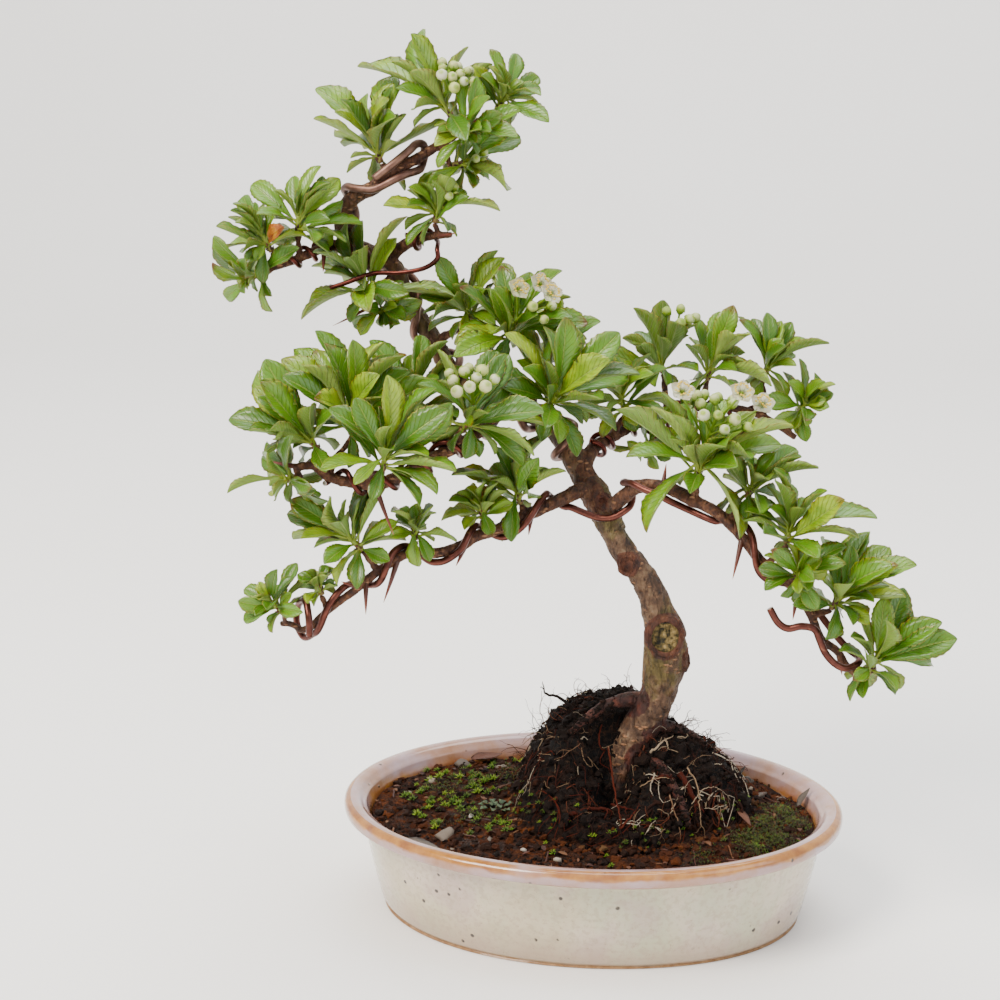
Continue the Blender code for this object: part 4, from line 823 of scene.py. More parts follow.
class Bark(Coating):
    """Grey-brown bark with an olive bloom, tan lenticels and rusty flecks; twigs and roots are redder."""

    def make(self, name: str) -> Material:
        """Its node material.

        Args:
            name: the material's name.

        Returns:
            The material.
        """
        r = Recipe(name, 0.7, Specular_IOR_Level=0.4)
        thick, cut, foot = r.tint()
        streaks = r.noise(300, 7, r.stretched(1, 1, 0.65))
        old = r.ramp(
            streaks, (0.3, 0x291B14), (0.42, 0x4A3629), (0.53, 0x68503F), (0.63, 0x7F6955), (0.76, 0x9D8A77)
        )
        olive, russet = r.noise(55, 5), r.noise(80, 4, r.stretched(1.2, 1.2, 0.8))
        old = r.over(old, r.step(olive, 0.47, 0.6), 0.5, r.ramp(streaks, (0.35, 0x454018), (0.65, 0x77713A)))
        old = r.over(
            old, r.step(russet, 0.5, 0.64), 0.65, r.ramp(streaks, (0.35, 0x42251A), (0.65, 0x7F533A))
        )
        young = r.ramp(
            r.noise(430, 6), (0.32, 0x2C160D), (0.46, 0x4A2B1C), (0.58, 0x66432F), (0.74, 0x8A6B55)
        )
        lenticels = r.specks(260, (0.3, 0.18), (90, 3, 0.45, 0.53), r.stretched(0.8, 0.8, 1.9))
        colour = r.over(r.mix(r.step(thick, 0.25, 0.7), young, old), lenticels, 0.8, 0xAE8468)
        pits = r.step(r.cells(700, r.stretched(1, 1, 0.5)), 0.3, 0.1)
        colour = r.over(colour, pits, 0.4, 0x1F1510)
        colour = r.over(
            colour, foot, 0.9, r.ramp(streaks, (0.35, 0x170906), (0.52, 0x36150E), (0.68, 0x5E3024))
        )
        callus = r.math("MULTIPLY", r.step(cut, 0.02, 0.12), r.step(cut, 0.5, 0.42))
        colour = r.over(
            colour, callus, 0.9, r.ramp(streaks, (0.35, 0x2A120C), (0.6, 0x5E3526), (0.75, 0x7D5A48))
        )
        dead = r.ramp(r.noise(420, 6), (0.36, 0x1C1810), (0.44, 0x433C22), (0.53, 0x7C6A46), (0.66, 0xB29C72))
        colour = r.mix(r.step(cut, 0.5, 0.6), colour, dead)
        cracks = r.step(r.cells(240, r.stretched(1.2, 1.2, 0.4), "DISTANCE_TO_EDGE"), 0.0, 0.12)
        bumps = r.relief(pits, -0.3, r.relief(cracks, 0.35, r.relief(streaks, 1.1)))
        return r.finish(colour, r.relief(lenticels, 0.4, bumps))


class ThornSkin(Coating):
    """Dark red-brown thorn with a paler tip."""

    def make(self, name: str) -> Material:
        """Its node material.

        Args:
            name: the material's name.

        Returns:
            The material.
        """
        r = Recipe(name, 0.45)
        colour = r.ramp(r.tint()[1], (0.0, 0x4A2F22), (0.5, 0x5A261C), (0.85, 0x7A3A26), (1.0, 0xB98C62))
        return r.finish(colour, r.relief(r.noise(1800, 3, r.stretched(1, 1, 0.3)), 0.1))


class LeafTop(Coating):
    """Upper side of a leaf: pale midrib and side veins, a yellow or rusty edge, some browned tips."""

    def make(self, name: str) -> Material:
        """Its node material.

        Args:
            name: the material's name.

        Returns:
            The material.
        """
        r = Recipe(name, 0.36, Coat_Weight=0.1, Coat_Roughness=0.2, **FLESH)
        own, age, brown = r.tint()
        along, away, vein, rib = veins(r)
        green = r.ramp(
            own, (0.0, 0x24561B), (0.3, 0x427622), (0.55, 0x669728), (0.8, 0x95B63C), (1.0, 0xBCD05E)
        )
        green = r.over(green, r.step(r.noise(170, 5), 0.4, 0.68), 0.6, 0x3D6B19)
        green = r.mix(0.3, green, r.ramp(along, (0.0, 0x9CB44C), (0.35, 0x6B942B), (1.0, 0x86A03A)))
        green = r.over(r.over(green, vein, 0.28, 0x9DB85A), rib, 0.6, 0xACC06C)
        margin = r.math("MULTIPLY", r.step(away, 0.455, 0.49), r.step(along, 0.2, 0.4))
        rusty = r.mix(r.step(r.noise(150, 3), 0.5, 0.62), srgb(0xC0C463), srgb(0x8A5A2A))
        old = r.ramp(r.noise(260, 5), (0.35, 0x7A3F18), (0.5, 0xB06C28), (0.65, 0xC99A3C))
        colour = r.mix(age, r.over(green, margin, 0.8, rusty), old)
        colour = r.over(colour, r.step(r.noise(480, 4), 0.66, 0.73), 0.35, 0x6B5A24)
        tip = r.step(r.math("ADD", along, r.scaled(r.noise(500, 3), 0.3)), 1.0, 1.16)
        colour = r.mix(r.math("MULTIPLY", brown, tip), colour, srgb(0x75431F))
        bumps = r.bumps(650, 4, 0.16, r.relief(vein, -0.22))
        return r.finish(colour, r.relief(rib, -0.3, bumps), r.scaled(r.noise(220, 3), 0.25, 0.22))


class LeafBack(Coating):
    """Under side of a leaf: pale, dull, with raised veins."""

    def make(self, name: str) -> Material:
        """Its node material.

        Args:
            name: the material's name.

        Returns:
            The material.
        """
        r = Recipe(name, 0.58, **FLESH)
        own, age, _ = r.tint()
        _, away, vein, rib = veins(r)
        ribs = r.math("MAXIMUM", vein, rib)
        green = r.ramp(own, (0.0, 0x66843A), (0.5, 0x84A04C), (1.0, 0xA4BA66))
        green = r.over(green, r.step(r.noise(200, 4), 0.4, 0.7), 0.6, 0x7C994C)
        green = r.over(r.over(green, ribs, 0.55, 0xC3CF92), r.step(away, 0.46, 0.49), 0.6, 0xB8A860)
        return r.finish(r.mix(age, green, srgb(0xB08548)), r.bumps(900, 4, 0.1, r.relief(ribs, 0.3)))


class YoungStem(Coating):
    """Young stem: yellow-green, reddish at its foot."""

    def make(self, name: str) -> Material:
        """Its node material.

        Args:
            name: the material's name.

        Returns:
            The material.
        """
        r = Recipe(name, 0.5)
        own, along, _ = r.tint()
        colour = r.mix(along, srgb(0x7A5236), r.ramp(own, (0.0, 0x7E9438), (1.0, 0xA9B85A)))
        grain = r.noise(1500, 3, r.stretched(1, 1, 0.3))
        return r.finish(r.over(colour, r.noise(900, 3), 0.4, 0x6B6A34), r.relief(grain, 0.08))


class PetalSkin(Coating):
    """Cream petals and buds, greener low down."""

    def make(self, name: str) -> Material:
        """Its node material.

        Args:
            name: the material's name.

        Returns:
            The material.
        """
        r = Recipe(name, 0.45, Subsurface_Weight=0.15, Subsurface_Scale=0.0012)
        own, low, _ = r.tint()
        colour = r.ramp(own, (0.0, 0xCFD68A), (0.4, 0xE6E4B4), (0.7, 0xF2EED2), (1.0, 0xFCF9EC))
        colour = r.over(colour, r.noise(700, 4), 0.3, 0xD2D896)
        colour = r.mix(low, colour, r.ramp(own, (0.0, 0x86A23A), (1.0, 0xA6BC56)))
        return r.finish(colour, r.bumps(1300, 4, 0.12), r.scaled(r.noise(500, 3), 0.3, 0.3))


class NetPlastic(Coating):
    """Black plastic net, dusty with earth."""

    def make(self, name: str) -> Material:
        """Its node material.

        Args:
            name: the material's name.

        Returns:
            The material.
        """
        r = Recipe(name, 0.5)
        dusty = r.mix(r.step(r.noise(300, 4), 0.5, 0.7), srgb(0x1C1C1B), srgb(0x4A3325))
        return r.finish(dusty, r.bumps(1200, 3, 0.1))


class PaleFloor(Coating):
    """Plain pale floor."""

    def make(self, name: str) -> Material:
        """Its node material.

        Args:
            name: the material's name.

        Returns:
            The material.
        """
        r = Recipe(name, 0.6)
        return r.finish(
            r.mix(r.noise(3, 2), srgb(0xF4F1EC, 1, 1), srgb(0xFAF8F5, 1, 1)), r.bumps(300, 2, 0.02)
        )


class Finish(Enum):
    """The finishes of the tree and its pot, each made as a node material when first used."""

    GLAZE = BodyGlaze()
    GLAZE_RIM = RimGlaze()
    GLAZE_INSIDE = InnerGlaze()
    SOIL = DampEarth()
    CRUMB = CrumbedEarth()
    PEAT = Peat()
    ROOTLET = Clouded(
        0.8,
        (
            (0.0, 0x0F0906), (0.4, 0x2C150D), (0.58, 0x59251C), (0.72, 0x764A3A), (0.86, 0xA58E76),
            (1.0, 0xDCD2C0),
        ),
        (2500, 3, 0.12), (900, 4, 0.5, 0x23150F), sockets={"Specular_IOR_Level": 0.15},
    )
    MOSS = MossGreen()
    BARK = Bark()
    THORN = ThornSkin()
    LOWER_WIRE = WireSkin(0x4A2722, 0x7A4C42, 0.36)
    TRUNK_WIRE = WireSkin(0x6C5048, 0x98796C, 0.48)
    THIN_WIRE = WireSkin(0x3F1D19, 0x6E372D, 0.3)
    CUT_WIRE = Clouded(
        0.3, ((0.3, 0xB9AFA6), (0.7, 0xDDD4CA)), (4000, 1, 0.05), noise=(2500, 2), sockets={"Metallic": 1.0}
    )
    LEAF_TOP = LeafTop()
    LEAF_BACK = LeafBack()
    SHOOT = YoungStem()
    SCALE = Clouded(
        0.7, ((0.0, 0x3A201A), (0.5, 0x5E3629), (1.0, 0x8C6446)), (1200, 4, 0.2), (800, 4, 0.5, 0x2E1A15)
    )
    PETAL = PetalSkin()
    CALYX = Clouded(
        0.5, ((0.0, 0x5E7E2A), (0.5, 0x7F9C3C), (1.0, 0xA2B858)), (2000, 3, 0.08), (900, 4, 0.4, 0x4E7024)
    )
    ANTHER = Clouded(0.6, ((0.3, 0xD9B440), (0.7, 0xEFDD84)), (5000, 1, 0.05), noise=(2500, 2))
    NET = NetPlastic()
    STONE = Clouded(
        0.7, ((0.0, 0x3B3530), (0.4, 0x7A7068), (0.7, 0x9C8C78), (1.0, 0xE6E0D6)),
        (900, 4, 0.3), (700, 5, 0.5, 0x5E4E40),
    )
    FLOOR = PaleFloor()

    def material(self) -> Material:
        """The finish's material."""
        name = "fine_" + self.name.lower()
        return bpy.data.materials.get(name) or self.value.make(name)


class Piece:
    """Gathers the points and faces of one visible piece, in millimetres, and then makes its object."""

    def __init__(
        self, name: str, slot: str, finishes: Sequence[Finish], replaces: Sequence[str] = ()
    ) -> None:
        """Starts an empty piece.

        Args:
            name: the object's name.
            slot: the record's material slot, which it passes on to place.
            finishes: its materials, in the order that faces number them.
            replaces: the solids that it stands for.
        """
        self.name, self.slot, self.finishes, self.replaces = name, slot, finishes, replaces
        self.points: list[Array] = []
        self.faces: list[tuple[Array, int]] = []
        self.tints: list[Array] = []
        self.uvs: list[Array] = []
        self.count = 0

    def add(
        self, points: Array, faces: Sequence[Array], finish: Sequence[int] = (0,),
        tint: object = (0.5, 0.0, 0.0), uv: Optional[Array] = None,
    ) -> None:
        """Adds points and the faces on them.

        Args:
            points: one row a point, in millimetres.
            faces: arrays of point numbers, one row a face.
            finish: which finish each array takes; the last holds for the rest.
            tint: three values for all points, or a row of them a point.
            uv: a row of two values a point.
        """
        total = len(points)
        for k, group in enumerate(faces):
            self.faces.append((np.asarray(group) + self.count, finish[min(k, len(finish) - 1)]))
        self.points.append(points)
        self.tints.append(np.broadcast_to(np.asarray(tint, float), (total, 3)))
        self.uvs.append(np.zeros((total, 2)) if uv is None else uv)
        self.count += total

    def make(self) -> None:
        """Makes the object, dresses it and sets it on the root body."""
        points = np.clip(np.vstack(self.points) * MM, *np.array(CAD_BOX)).astype(np.float32)
        mesh = bpy.data.meshes.new(self.name)
        corners = np.concatenate([group.ravel() for group, _ in self.faces])
        sizes = np.concatenate([np.full(len(group), group.shape[1]) for group, _ in self.faces])
        slots = np.concatenate([np.full(len(group), finish) for group, finish in self.faces])
        mesh.vertices.add(len(points))
        mesh.vertices.foreach_set("co", points.ravel())
        mesh.loops.add(len(corners))
        mesh.loops.foreach_set("vertex_index", corners.astype(np.int32))
        mesh.polygons.add(len(sizes))
        mesh.polygons.foreach_set("loop_start", np.concatenate([[0], np.cumsum(sizes)[:-1]]).astype(np.int32))
        mesh.polygons.foreach_set("material_index", slots.astype(np.int32))
        layer = mesh.uv_layers.new(name="UVMap")
        layer.data.foreach_set("uv", np.vstack(self.uvs)[corners].astype(np.float32).ravel())
        tints = np.hstack([np.vstack(self.tints), np.ones((len(points), 1))]).astype(np.float32)
        mesh.color_attributes.new("tint", "FLOAT_COLOR", "POINT").data.foreach_set("color", tints.ravel())
        smooth = np.array([finish != Finish.CRUMB for finish in self.finishes])
        mesh.polygons.foreach_set("use_smooth", smooth[slots])
        mesh.update(calc_edges=True)
        mesh.validate()
        place(self.name, mesh, self.slot, self.finishes, self.replaces)


def show(name: str, data: bpy.types.ID) -> bpy.types.Object:
    """Makes an object of a mesh, lamp or camera and puts it in the scene.

    Args:
        name: the object's name.
        data: what it shows.

    Returns:
        The object.
    """
    obj = bpy.data.objects.new(name, data)
    bpy.context.scene.collection.objects.link(obj)
    return obj


def rough_out(name: str, points: Array, faces: Sequence[Array]) -> bpy.types.Object:
    """Shows a working solid of points in millimetres, to be cut or softened by modifiers.

    Args:
        name: its name.
        points: one row a point.
        faces: arrays of point numbers.

    Returns:
        The object.
    """
    mesh = bpy.data.meshes.new(name)
    mesh.from_pydata((points * MM).tolist(), [], [tuple(face) for group in faces for face in group.tolist()])
    return show(name, mesh)


def worked(obj: bpy.types.Object, *tools: bpy.types.Object) -> bpy.types.Mesh:
    """The mesh that a working solid's modifiers give; the solid and the tools are removed.

    Args:
        obj: the working solid.
        tools: what its modifiers use.

    Returns:
        The mesh.
    """
    mesh = bpy.data.meshes.new_from_object(obj.evaluated_get(bpy.context.evaluated_depsgraph_get()))
    for used in (obj, *tools):
        bpy.data.objects.remove(used)
    return mesh


def facing(way: Vector) -> Array:
    """The turn that takes the vertical to a direction."""
    return np.array(way.to_track_quat("Z", "Y").to_matrix())


def place(
    name: str, mesh: bpy.types.Mesh, slot: str, finishes: Sequence[Finish], replaces: Sequence[str] = ()
) -> bpy.types.Object:
    """Makes an object of a mesh in metres and sets it on the root body.

    Args:
        name: the object's name.
        mesh: its mesh.
        slot: not used.
        finishes: its materials.
        replaces: the solids that it stands for.

    Returns:
        The object.
    """
    obj = show(name, mesh)
    for finish in finishes:
        mesh.materials.append(finish.material())
    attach(obj, "root")
    if replaces:
        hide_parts(*replaces)
    log.info("%s: %d faces", name, len(mesh.polygons))
    return obj


def cad_mesh(node: str) -> tuple[Array, list[tuple[int, ...]]]:
    """Points, in millimetres, and faces of a solid.

    Args:
        node: the solid's name.

    Returns:
        The points as an array, and the faces as tuples of point numbers.
    """
    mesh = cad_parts[node].data
    points = np.empty(len(mesh.vertices) * 3, np.float32)
    mesh.vertices.foreach_get("co", points)
    return points.reshape(-1, 3) / MM, [tuple(face.vertices) for face in mesh.polygons]


def on_route(route: Sequence[Row], place: float) -> tuple[Vector, Vector, float]:
    """Centre, direction and radius at a place along a route, counted in its points.

    Args:
        route: points, each with a radius.
        place: how many points along, with a fraction.

    Returns:
        Centre, direction and radius there.
    """
    index = min(int(place), len(route) - 2)
    share = place - index
    here = [Vector(point[:3]) for point in route]
    before, start = here[max(index - 1, 0)], here[index]
    end, after = here[index + 1], here[min(index + 2, len(route) - 1)]
    direction = (end - before).normalized().lerp((after - start).normalized(), share).normalized()
    radius = route[index][3] * (1 - share) + route[index + 1][3] * share
    return start.lerp(end, share), direction, radius


def nearest_wood(point: Vector) -> tuple[Sequence[Row], float]:
    """The trunk or branch nearest to a point, and the place along it.

    Args:
        point: where to look from, in millimetres.

    Returns:
        The route, and the place along it.
    """
    best = None
    for route in (TRUNK, *BRANCHES.values()):
        for index, (start, end) in enumerate(zip(route, route[1:])):
            first, last = Vector(start[:3]), Vector(end[:3])
            share = clamp(intersect_point_line(point, first, last)[1], 0, 0.99)
            radius = start[3] + (end[3] - start[3]) * share
            away = (point - first.lerp(last, share)).length - radius
            if best is None or away < best[0]:
                best = (away, route, index + share)
    return best[1], best[2]


def shoot_axis(tips: Sequence[Row]) -> Vector:
    """The way a shoot grows: the mean direction of its leaves, drawn a little upwards.

    Args:
        tips: its leaves' tips, from its foot.

    Returns:
        The direction.
    """
    total = UP * 0.8
    for tip in tips:
        total = total + Vector(tip).normalized()
    return total.normalized()


def shoot_length(tips: Sequence[Row]) -> float:
    """How long a shoot with these leaves is."""
    return 4 + 0.4 * len(tips)


def spike(start: Vector, end: Vector, radius: float, bend: float, sides: int, rings: int) -> Skin:
    """A tapered, slightly bent spike, as points and faces for Piece.add.

    Args:
        start: middle of its foot.
        end: its tip.
        radius: at its foot.
        bend: how far its middle sags, as a share of its length.
        sides: flats round it.
        rings: points along it.

    Returns:
        Points and faces.
    """
    shares = np.linspace(0, 1, rings)[:, None]
    first, last = np.array(start), np.array(end)
    path = first + (last - first) * shares
    path = path - np.array((0, 0, 1)) * (4 * shares * (1 - shares) * bend * np.linalg.norm(last - first))
    return sweep(path, radius * (1 - shares[:, 0]) ** 0.8 + 0.05, sides)


@dataclass
class Studio:
    """Camera, floor, lights and backdrop, as the photograph has them."""

    azimuth: float = 8.0
    pitch: float = 14.0
    distance: float = 720.0
    aim: tuple[float, float, float] = (-34.4, -4.8, 160.2)
    lens: float = 70.5
    floor_half: float = 3.0
    floor_front: float = -2.5
    floor_back: float = 1.2
    curve: float = 0.6
    top: float = 2.6
    lamps: tuple = (
        ("key", (-0.9, -1.0, 1.5), 0.8, 58, 0xFFF6EA),
        ("fill", (1.4, -0.9, 0.9), 1.2, 12, 0xEEF4FF),
        ("top", (0.1, 0.3, 1.7), 1.2, 28, 0xFFFFFF),
    )
    lit: tuple[float, float, float] = (0, 0, 0.15)

    def build(self) -> None:
        """Sets up the view and the light."""
        turn, tilt = math.radians(self.azimuth), math.radians(self.pitch)
        forward = Vector((-math.sin(turn) * math.cos(tilt), math.cos(turn) * math.cos(tilt), -math.sin(tilt)))
        camera = show("camera", bpy.data.cameras.new("camera"))
        camera.data.lens = self.lens
        camera.data.sensor_width = 36
        camera.data.clip_start = 0.02
        camera.location = (Vector(self.aim) - forward * self.distance) * MM
        camera.rotation_euler = forward.to_track_quat("-Z", "Y").to_euler()
        bpy.context.scene.camera = camera
        self.floor()
        self.lights()

    def floor(self) -> None:
        """A large pale floor that curves up behind the tree."""
        bm = bmesh.new()
        bend, back = self.curve, self.floor_back
        rows = [(self.floor_front, 0.0), (back, 0.0)]
        turns = np.linspace(0.1, math.pi / 2, 12)
        rows += [(back + bend * math.sin(a), bend - bend * math.cos(a)) for a in turns]
        rows.append((back + bend, self.top))
        ends = (-self.floor_half, self.floor_half)
        left, right = [[bm.verts.new((x, y, z)) for y, z in rows] for x in ends]
        for k in range(len(rows) - 1):
            bm.faces.new((left[k], right[k], right[k + 1], left[k + 1]))
        mesh = bpy.data.meshes.new("floor")
        bm.to_mesh(mesh)
        bm.free()
        mesh.shade_smooth()
        mesh.materials.append(Finish.FLOOR.material())
        show("floor", mesh)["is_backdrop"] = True

    def lights(self) -> None:
        """Large soft lamps and a pale surround."""
        world = bpy.data.worlds.new("surround")
        world.use_nodes = True
        back = world.node_tree.nodes["Background"]
        back.inputs["Color"].default_value = srgb(0xEDF1F6, 1, 1)
        back.inputs["Strength"].default_value = 1.2
        bpy.context.scene.world = world
        for name, spot, size, power, code in self.lamps:
            lamp = show(name, bpy.data.lights.new(name, "AREA"))
            lamp.data.size = size
            lamp.data.energy = power
            lamp.data.color = srgb(code, 1, 1)[:3]
            lamp.location = spot
            lamp.rotation_euler = (Vector(self.lit) - Vector(spot)).to_track_quat("-Z", "Y").to_euler()


@dataclass
class Pot:
    """Oval glazed pot with a rolled rim and two drain holes."""

    half_length: float = 95.0
    half_width: float = 70.5
    height: float = 44.0
    glaze_line: float = 36.9
    lip: float = 5.0
    wall: tuple = ((9, 40), (16.8, 12))
    sides: int = 160
    hole_x: float = 40.0
    hole_radius: float = 6.0

    def profile(self) -> list[tuple[float, float]]:
        """Rounded section from the middle of the underside over the rim to the middle of the floor.

        Returns:
            Rows of the inset from the rim's outline and the height.
        """
        foot = [(16.2, 0.0), (15.0, 0.25), (15.6, 0.9)]
        body = [(14.3, 3), (13.4, 6), (12.5, 9.6), (11.0, 16), (9.5, 23), (8.1, 30), (6.9, 35.4), (6.3, 36.6)]
        rim = [(5.4, 37.1), (3.0, 37.3), (1.4, 37.7), (0.4, 38.6), (0.05, 39.8), (0.0, 41.2), (0.35, 42.6)]
        lip = [(1.1, 43.5), (2.4, 43.95), (4.0, 43.9), (5.6, 43.4), (7.0, 42.3), (8.3, 40.8), (9.2, 38.5)]
        wall = [(11.5, 31), (14.0, 22), (16.2, 13.5), (17.3, 9.6), (19.0, 7.4), (21.5, 6.4), (26.0, 6.2)]
        return foot + body + rim + lip + wall

    def build(self) -> Array:
        """Rings of the pot as (levels, sides, 3), closed at neither end.

        Returns:
            The rings, from the underside's middle to the inner floor's.
        """
        section = smooth_route([(*row, 0.0) for row in self.profile()], 1.1)
        angles = circle(self.sides)
        rings = []
        for inset, height, _ in section:
            high = height / self.height
            wobble = 0.22 * np.sin(3 * angles + 0.7) * high + 0.16 * np.sin(5 * angles + 2.1 + 2 * high)
            throwing = 0.12 * math.sin(height * 1.9)
            inward = inset + np.maximum(wobble + throwing, -0.0 if inset < 0.4 else -0.35)
            drop = 0.25 * (1 + np.sin(2 * angles + 0.6)) * (height > 41)
            x = (self.half_length - inward) * np.cos(angles)
            y = (self.half_width - inward) * np.sin(angles)
            rings.append(np.stack([x, y, height - drop], -1))
        return np.array(rings)

    def dress(self) -> None:
        """Makes the pot in its glaze, with the drain holes cut through its floor."""
        rings = self.build()
        levels, sides = rings.shape[:2]
        points = np.vstack([rings.reshape(-1, 3), [(0, 0, rings[0, 0, 2]), (0, 0, rings[-1, 0, 2])]])
        body = rough_out("pot", points, wrap(levels, sides))
        drains = []
        for x in (-self.hole_x, self.hole_x):
            path = np.array([(x, 0, -2), (x, 0, 3), (x, 0, 10)], float)
            drains.append(rough_out("drain", *sweep(path, [self.hole_radius] * 3, 48)))
            hole = body.modifiers.new("drain", "BOOLEAN")
            hole.object = drains[-1]
            hole.solver = "MANIFOLD"
        mesh = worked(body, *drains)
        mesh.materials.clear()
        for polygon in mesh.polygons:
            polygon.use_smooth = True
            x, y, z = polygon.center / MM
            facing_in = polygon.normal.x * x + polygon.normal.y * y < 0
            oval = math.hypot(x / (self.half_length - self.lip), y / (self.half_width - self.lip))
            inner = z > 7 and (facing_in or oval < 1 < z / 40)
            polygon.material_index = 2 if inner else int(z > self.glaze_line)
        mesh.set_sharp_from_angle(angle=math.radians(50))
        finishes = [Finish.GLAZE, Finish.GLAZE_RIM, Finish.GLAZE_INSIDE]
        place("pot_glazed", mesh, "pot_glaze", finishes, ["pot"])


def lumps(x: Array, y: Array, scale: float) -> Array:
    """A smooth uneven height between about -1 and 1.

    Args:
        x: places along.
        y: places across.
        scale: rough size of a lump.

    Returns:
        The height at each place.
    """
    return (
        np.sin(x / scale + 1.3) * np.cos(y / scale * 1.3 + 0.4)
        + 0.6 * np.sin(x / scale * 2.1 - y / scale * 1.7 + 2.0)
        + 0.4 * np.cos(x / scale * 3.7 + y / scale * 3.1)
    ) / 2


def rough(points: Array, scale: float, octaves: int = 3) -> Array:
    """Cloud noise between about -1 and 1 at each point, its scale in millimetres a feature."""
    return np.array([noise.fractal(Vector(point) / scale, 1.0, 2.0, octaves) for point in points])


# A grain with twenty faces
FIFTH = 1.2566
CRUMB = np.array(
    [(0, 0, 1)]
    + [tuple(ray(0.894, k * FIFTH, 0.447)) for k in range(5)]
    + [tuple(ray(0.894, k * FIFTH + 0.628, -0.447)) for k in range(5)]
    + [(0, 0, -1)]
)
CRUMB_FACES = np.array(
    [(0, 1 + k, 1 + (k + 1) % 5) for k in range(5)]
    + [(1 + k, 6 + k, 1 + (k + 1) % 5) for k in range(5)]
    + [(1 + (k + 1) % 5, 6 + k, 6 + (k + 1) % 5) for k in range(5)]
    + [(11, 6 + (k + 1) % 5, 6 + k) for k in range(5)]
)


def fine_crumb() -> tuple[Array, Array]:
    """The crumb with each face cut in four and pushed out to a ball.

    Returns:
        Its points and its faces.
    """
    points, faces, middles = [tuple(p) for p in CRUMB], [], {}

    def middle(a: int, b: int) -> int:
        """Number of the point between two points, which is made the first time.

        Args:
            a: number of the one.
            b: number of the other.

        Returns:
            Its number.
        """
        key = (min(a, b), max(a, b))
        if key not in middles:
            middles[key] = len(points)
            points.append(tuple(unit((np.array(points[a]) + points[b]) / 2)))
        return middles[key]

    for a, b, c in CRUMB_FACES.tolist():
        ab, bc, ca = middle(a, b), middle(b, c), middle(c, a)
        faces += [(a, ab, ca), (ab, b, bc), (ca, bc, c), (ab, bc, ca)]
    return np.array(points), np.array(faces)


@dataclass
class Grains:
    """Scatters crumbs and stones into a piece."""

    chance: random.Random
    fine: tuple = field(default_factory=fine_crumb)

    def add(self, piece: Piece, spot: Row, size: float, finish: int, tint: tuple, flat: float = 0.75) -> None:
        """Adds one grain.

        Args:
            piece: what it goes into.
            spot: its middle.
            size: its mean radius.
            finish: number of its finish in the piece.
            tint: its three values.
            flat: how flat it is.
        """
        points, faces = self.fine if size > 1.5 else (CRUMB, CRUMB_FACES)
        draw = self.chance.uniform
        lump = 1 + 0.3 * np.sin(points @ np.array([draw(1, 4) for _ in range(3)]) + size * 9)
        lump = lump * (1 + 0.26 * np.sin(points @ np.array([draw(4, 9) for _ in range(3)])))
        stretch = np.array([draw(0.75, 1.3), draw(0.75, 1.3), flat])
        turn = Matrix.Rotation(draw(0, 6.28), 3, "Z") @ Matrix.Rotation(draw(-0.6, 0.6), 3, "X")
        shaped = (points * lump[:, None] * stretch * size) @ np.array(turn).T
        piece.add(shaped + np.array(spot), [faces], [finish], tint)


def flake(piece: Piece, ends: Sequence[Row], wide: float, finish: int, tint: tuple, cup: float = 0.3) -> None:
    """Adds a thin pointed scale or chip.

    Args:
        piece: what it goes into.
        ends: its foot and its tip.
        wide: its half width.
        finish: number of its finish in the piece.
        tint: its three values.
        cup: how far its edges rise, as a share of its half width.
    """
    first, last = np.array(ends, float)
    across = unit(np.cross(last - first, (0.1, 0.05, 1))) * wide
    up = unit(np.cross(across, last - first)) * wide
    shares, sides = np.linspace(0, 1, 8)[:, None], np.linspace(-1, 1, 5)[None, :]
    reach = np.sin(np.pi * np.clip(shares, 0.06, 0.985) ** 0.8)
    ripple = 0.12 * np.sin(7 * shares + 3 * sides + first[0])
    lift = (cup * sides**2 + ripple + 0.5 * cup * np.sin(np.pi * shares)) * reach
    flat = first + shares[..., None] * (last - first) + (reach * sides)[..., None] * across
    sheet = flat + lift[..., None] * up
    points, over, under = thin_solid(sheet + 0.12 * unit(up), sheet - 0.12 * unit(up))
    piece.add(points, [over, under], [finish], tint)


def fine_root(
    piece: Piece, start: Array, way: Row, length: float, radius: float, shade: float, chance: random.Random
) -> None:
    """Adds a wandering, drooping rootlet, often with a side twig.

    Args:
        piece: what it goes into; rootlets are its finish 1.
        start: its foot.
        way: the direction that it sets out in.
        length: its length.
        radius: at its foot.
        shade: from near black at 0 to white at 1.
        chance: the random draws.
    """
    path, way = [np.array(start, float)], unit(way)
    for _ in range(9):
        way = unit(way + jitter(chance, 0.26) + (0, 0, -0.1))
        path.append(path[-1] + way * length / 9)
    piece.add(*sweep(np.array(path), radius * np.linspace(1, 0.4, 10), 4), [1], (shade, 0, 0))
    if length > 5 and chance.random() < 0.6:
        side = way + jitter(chance, 0.8)
        fine_root(piece, path[4], side, length * 0.45, radius * 0.7, shade, chance)


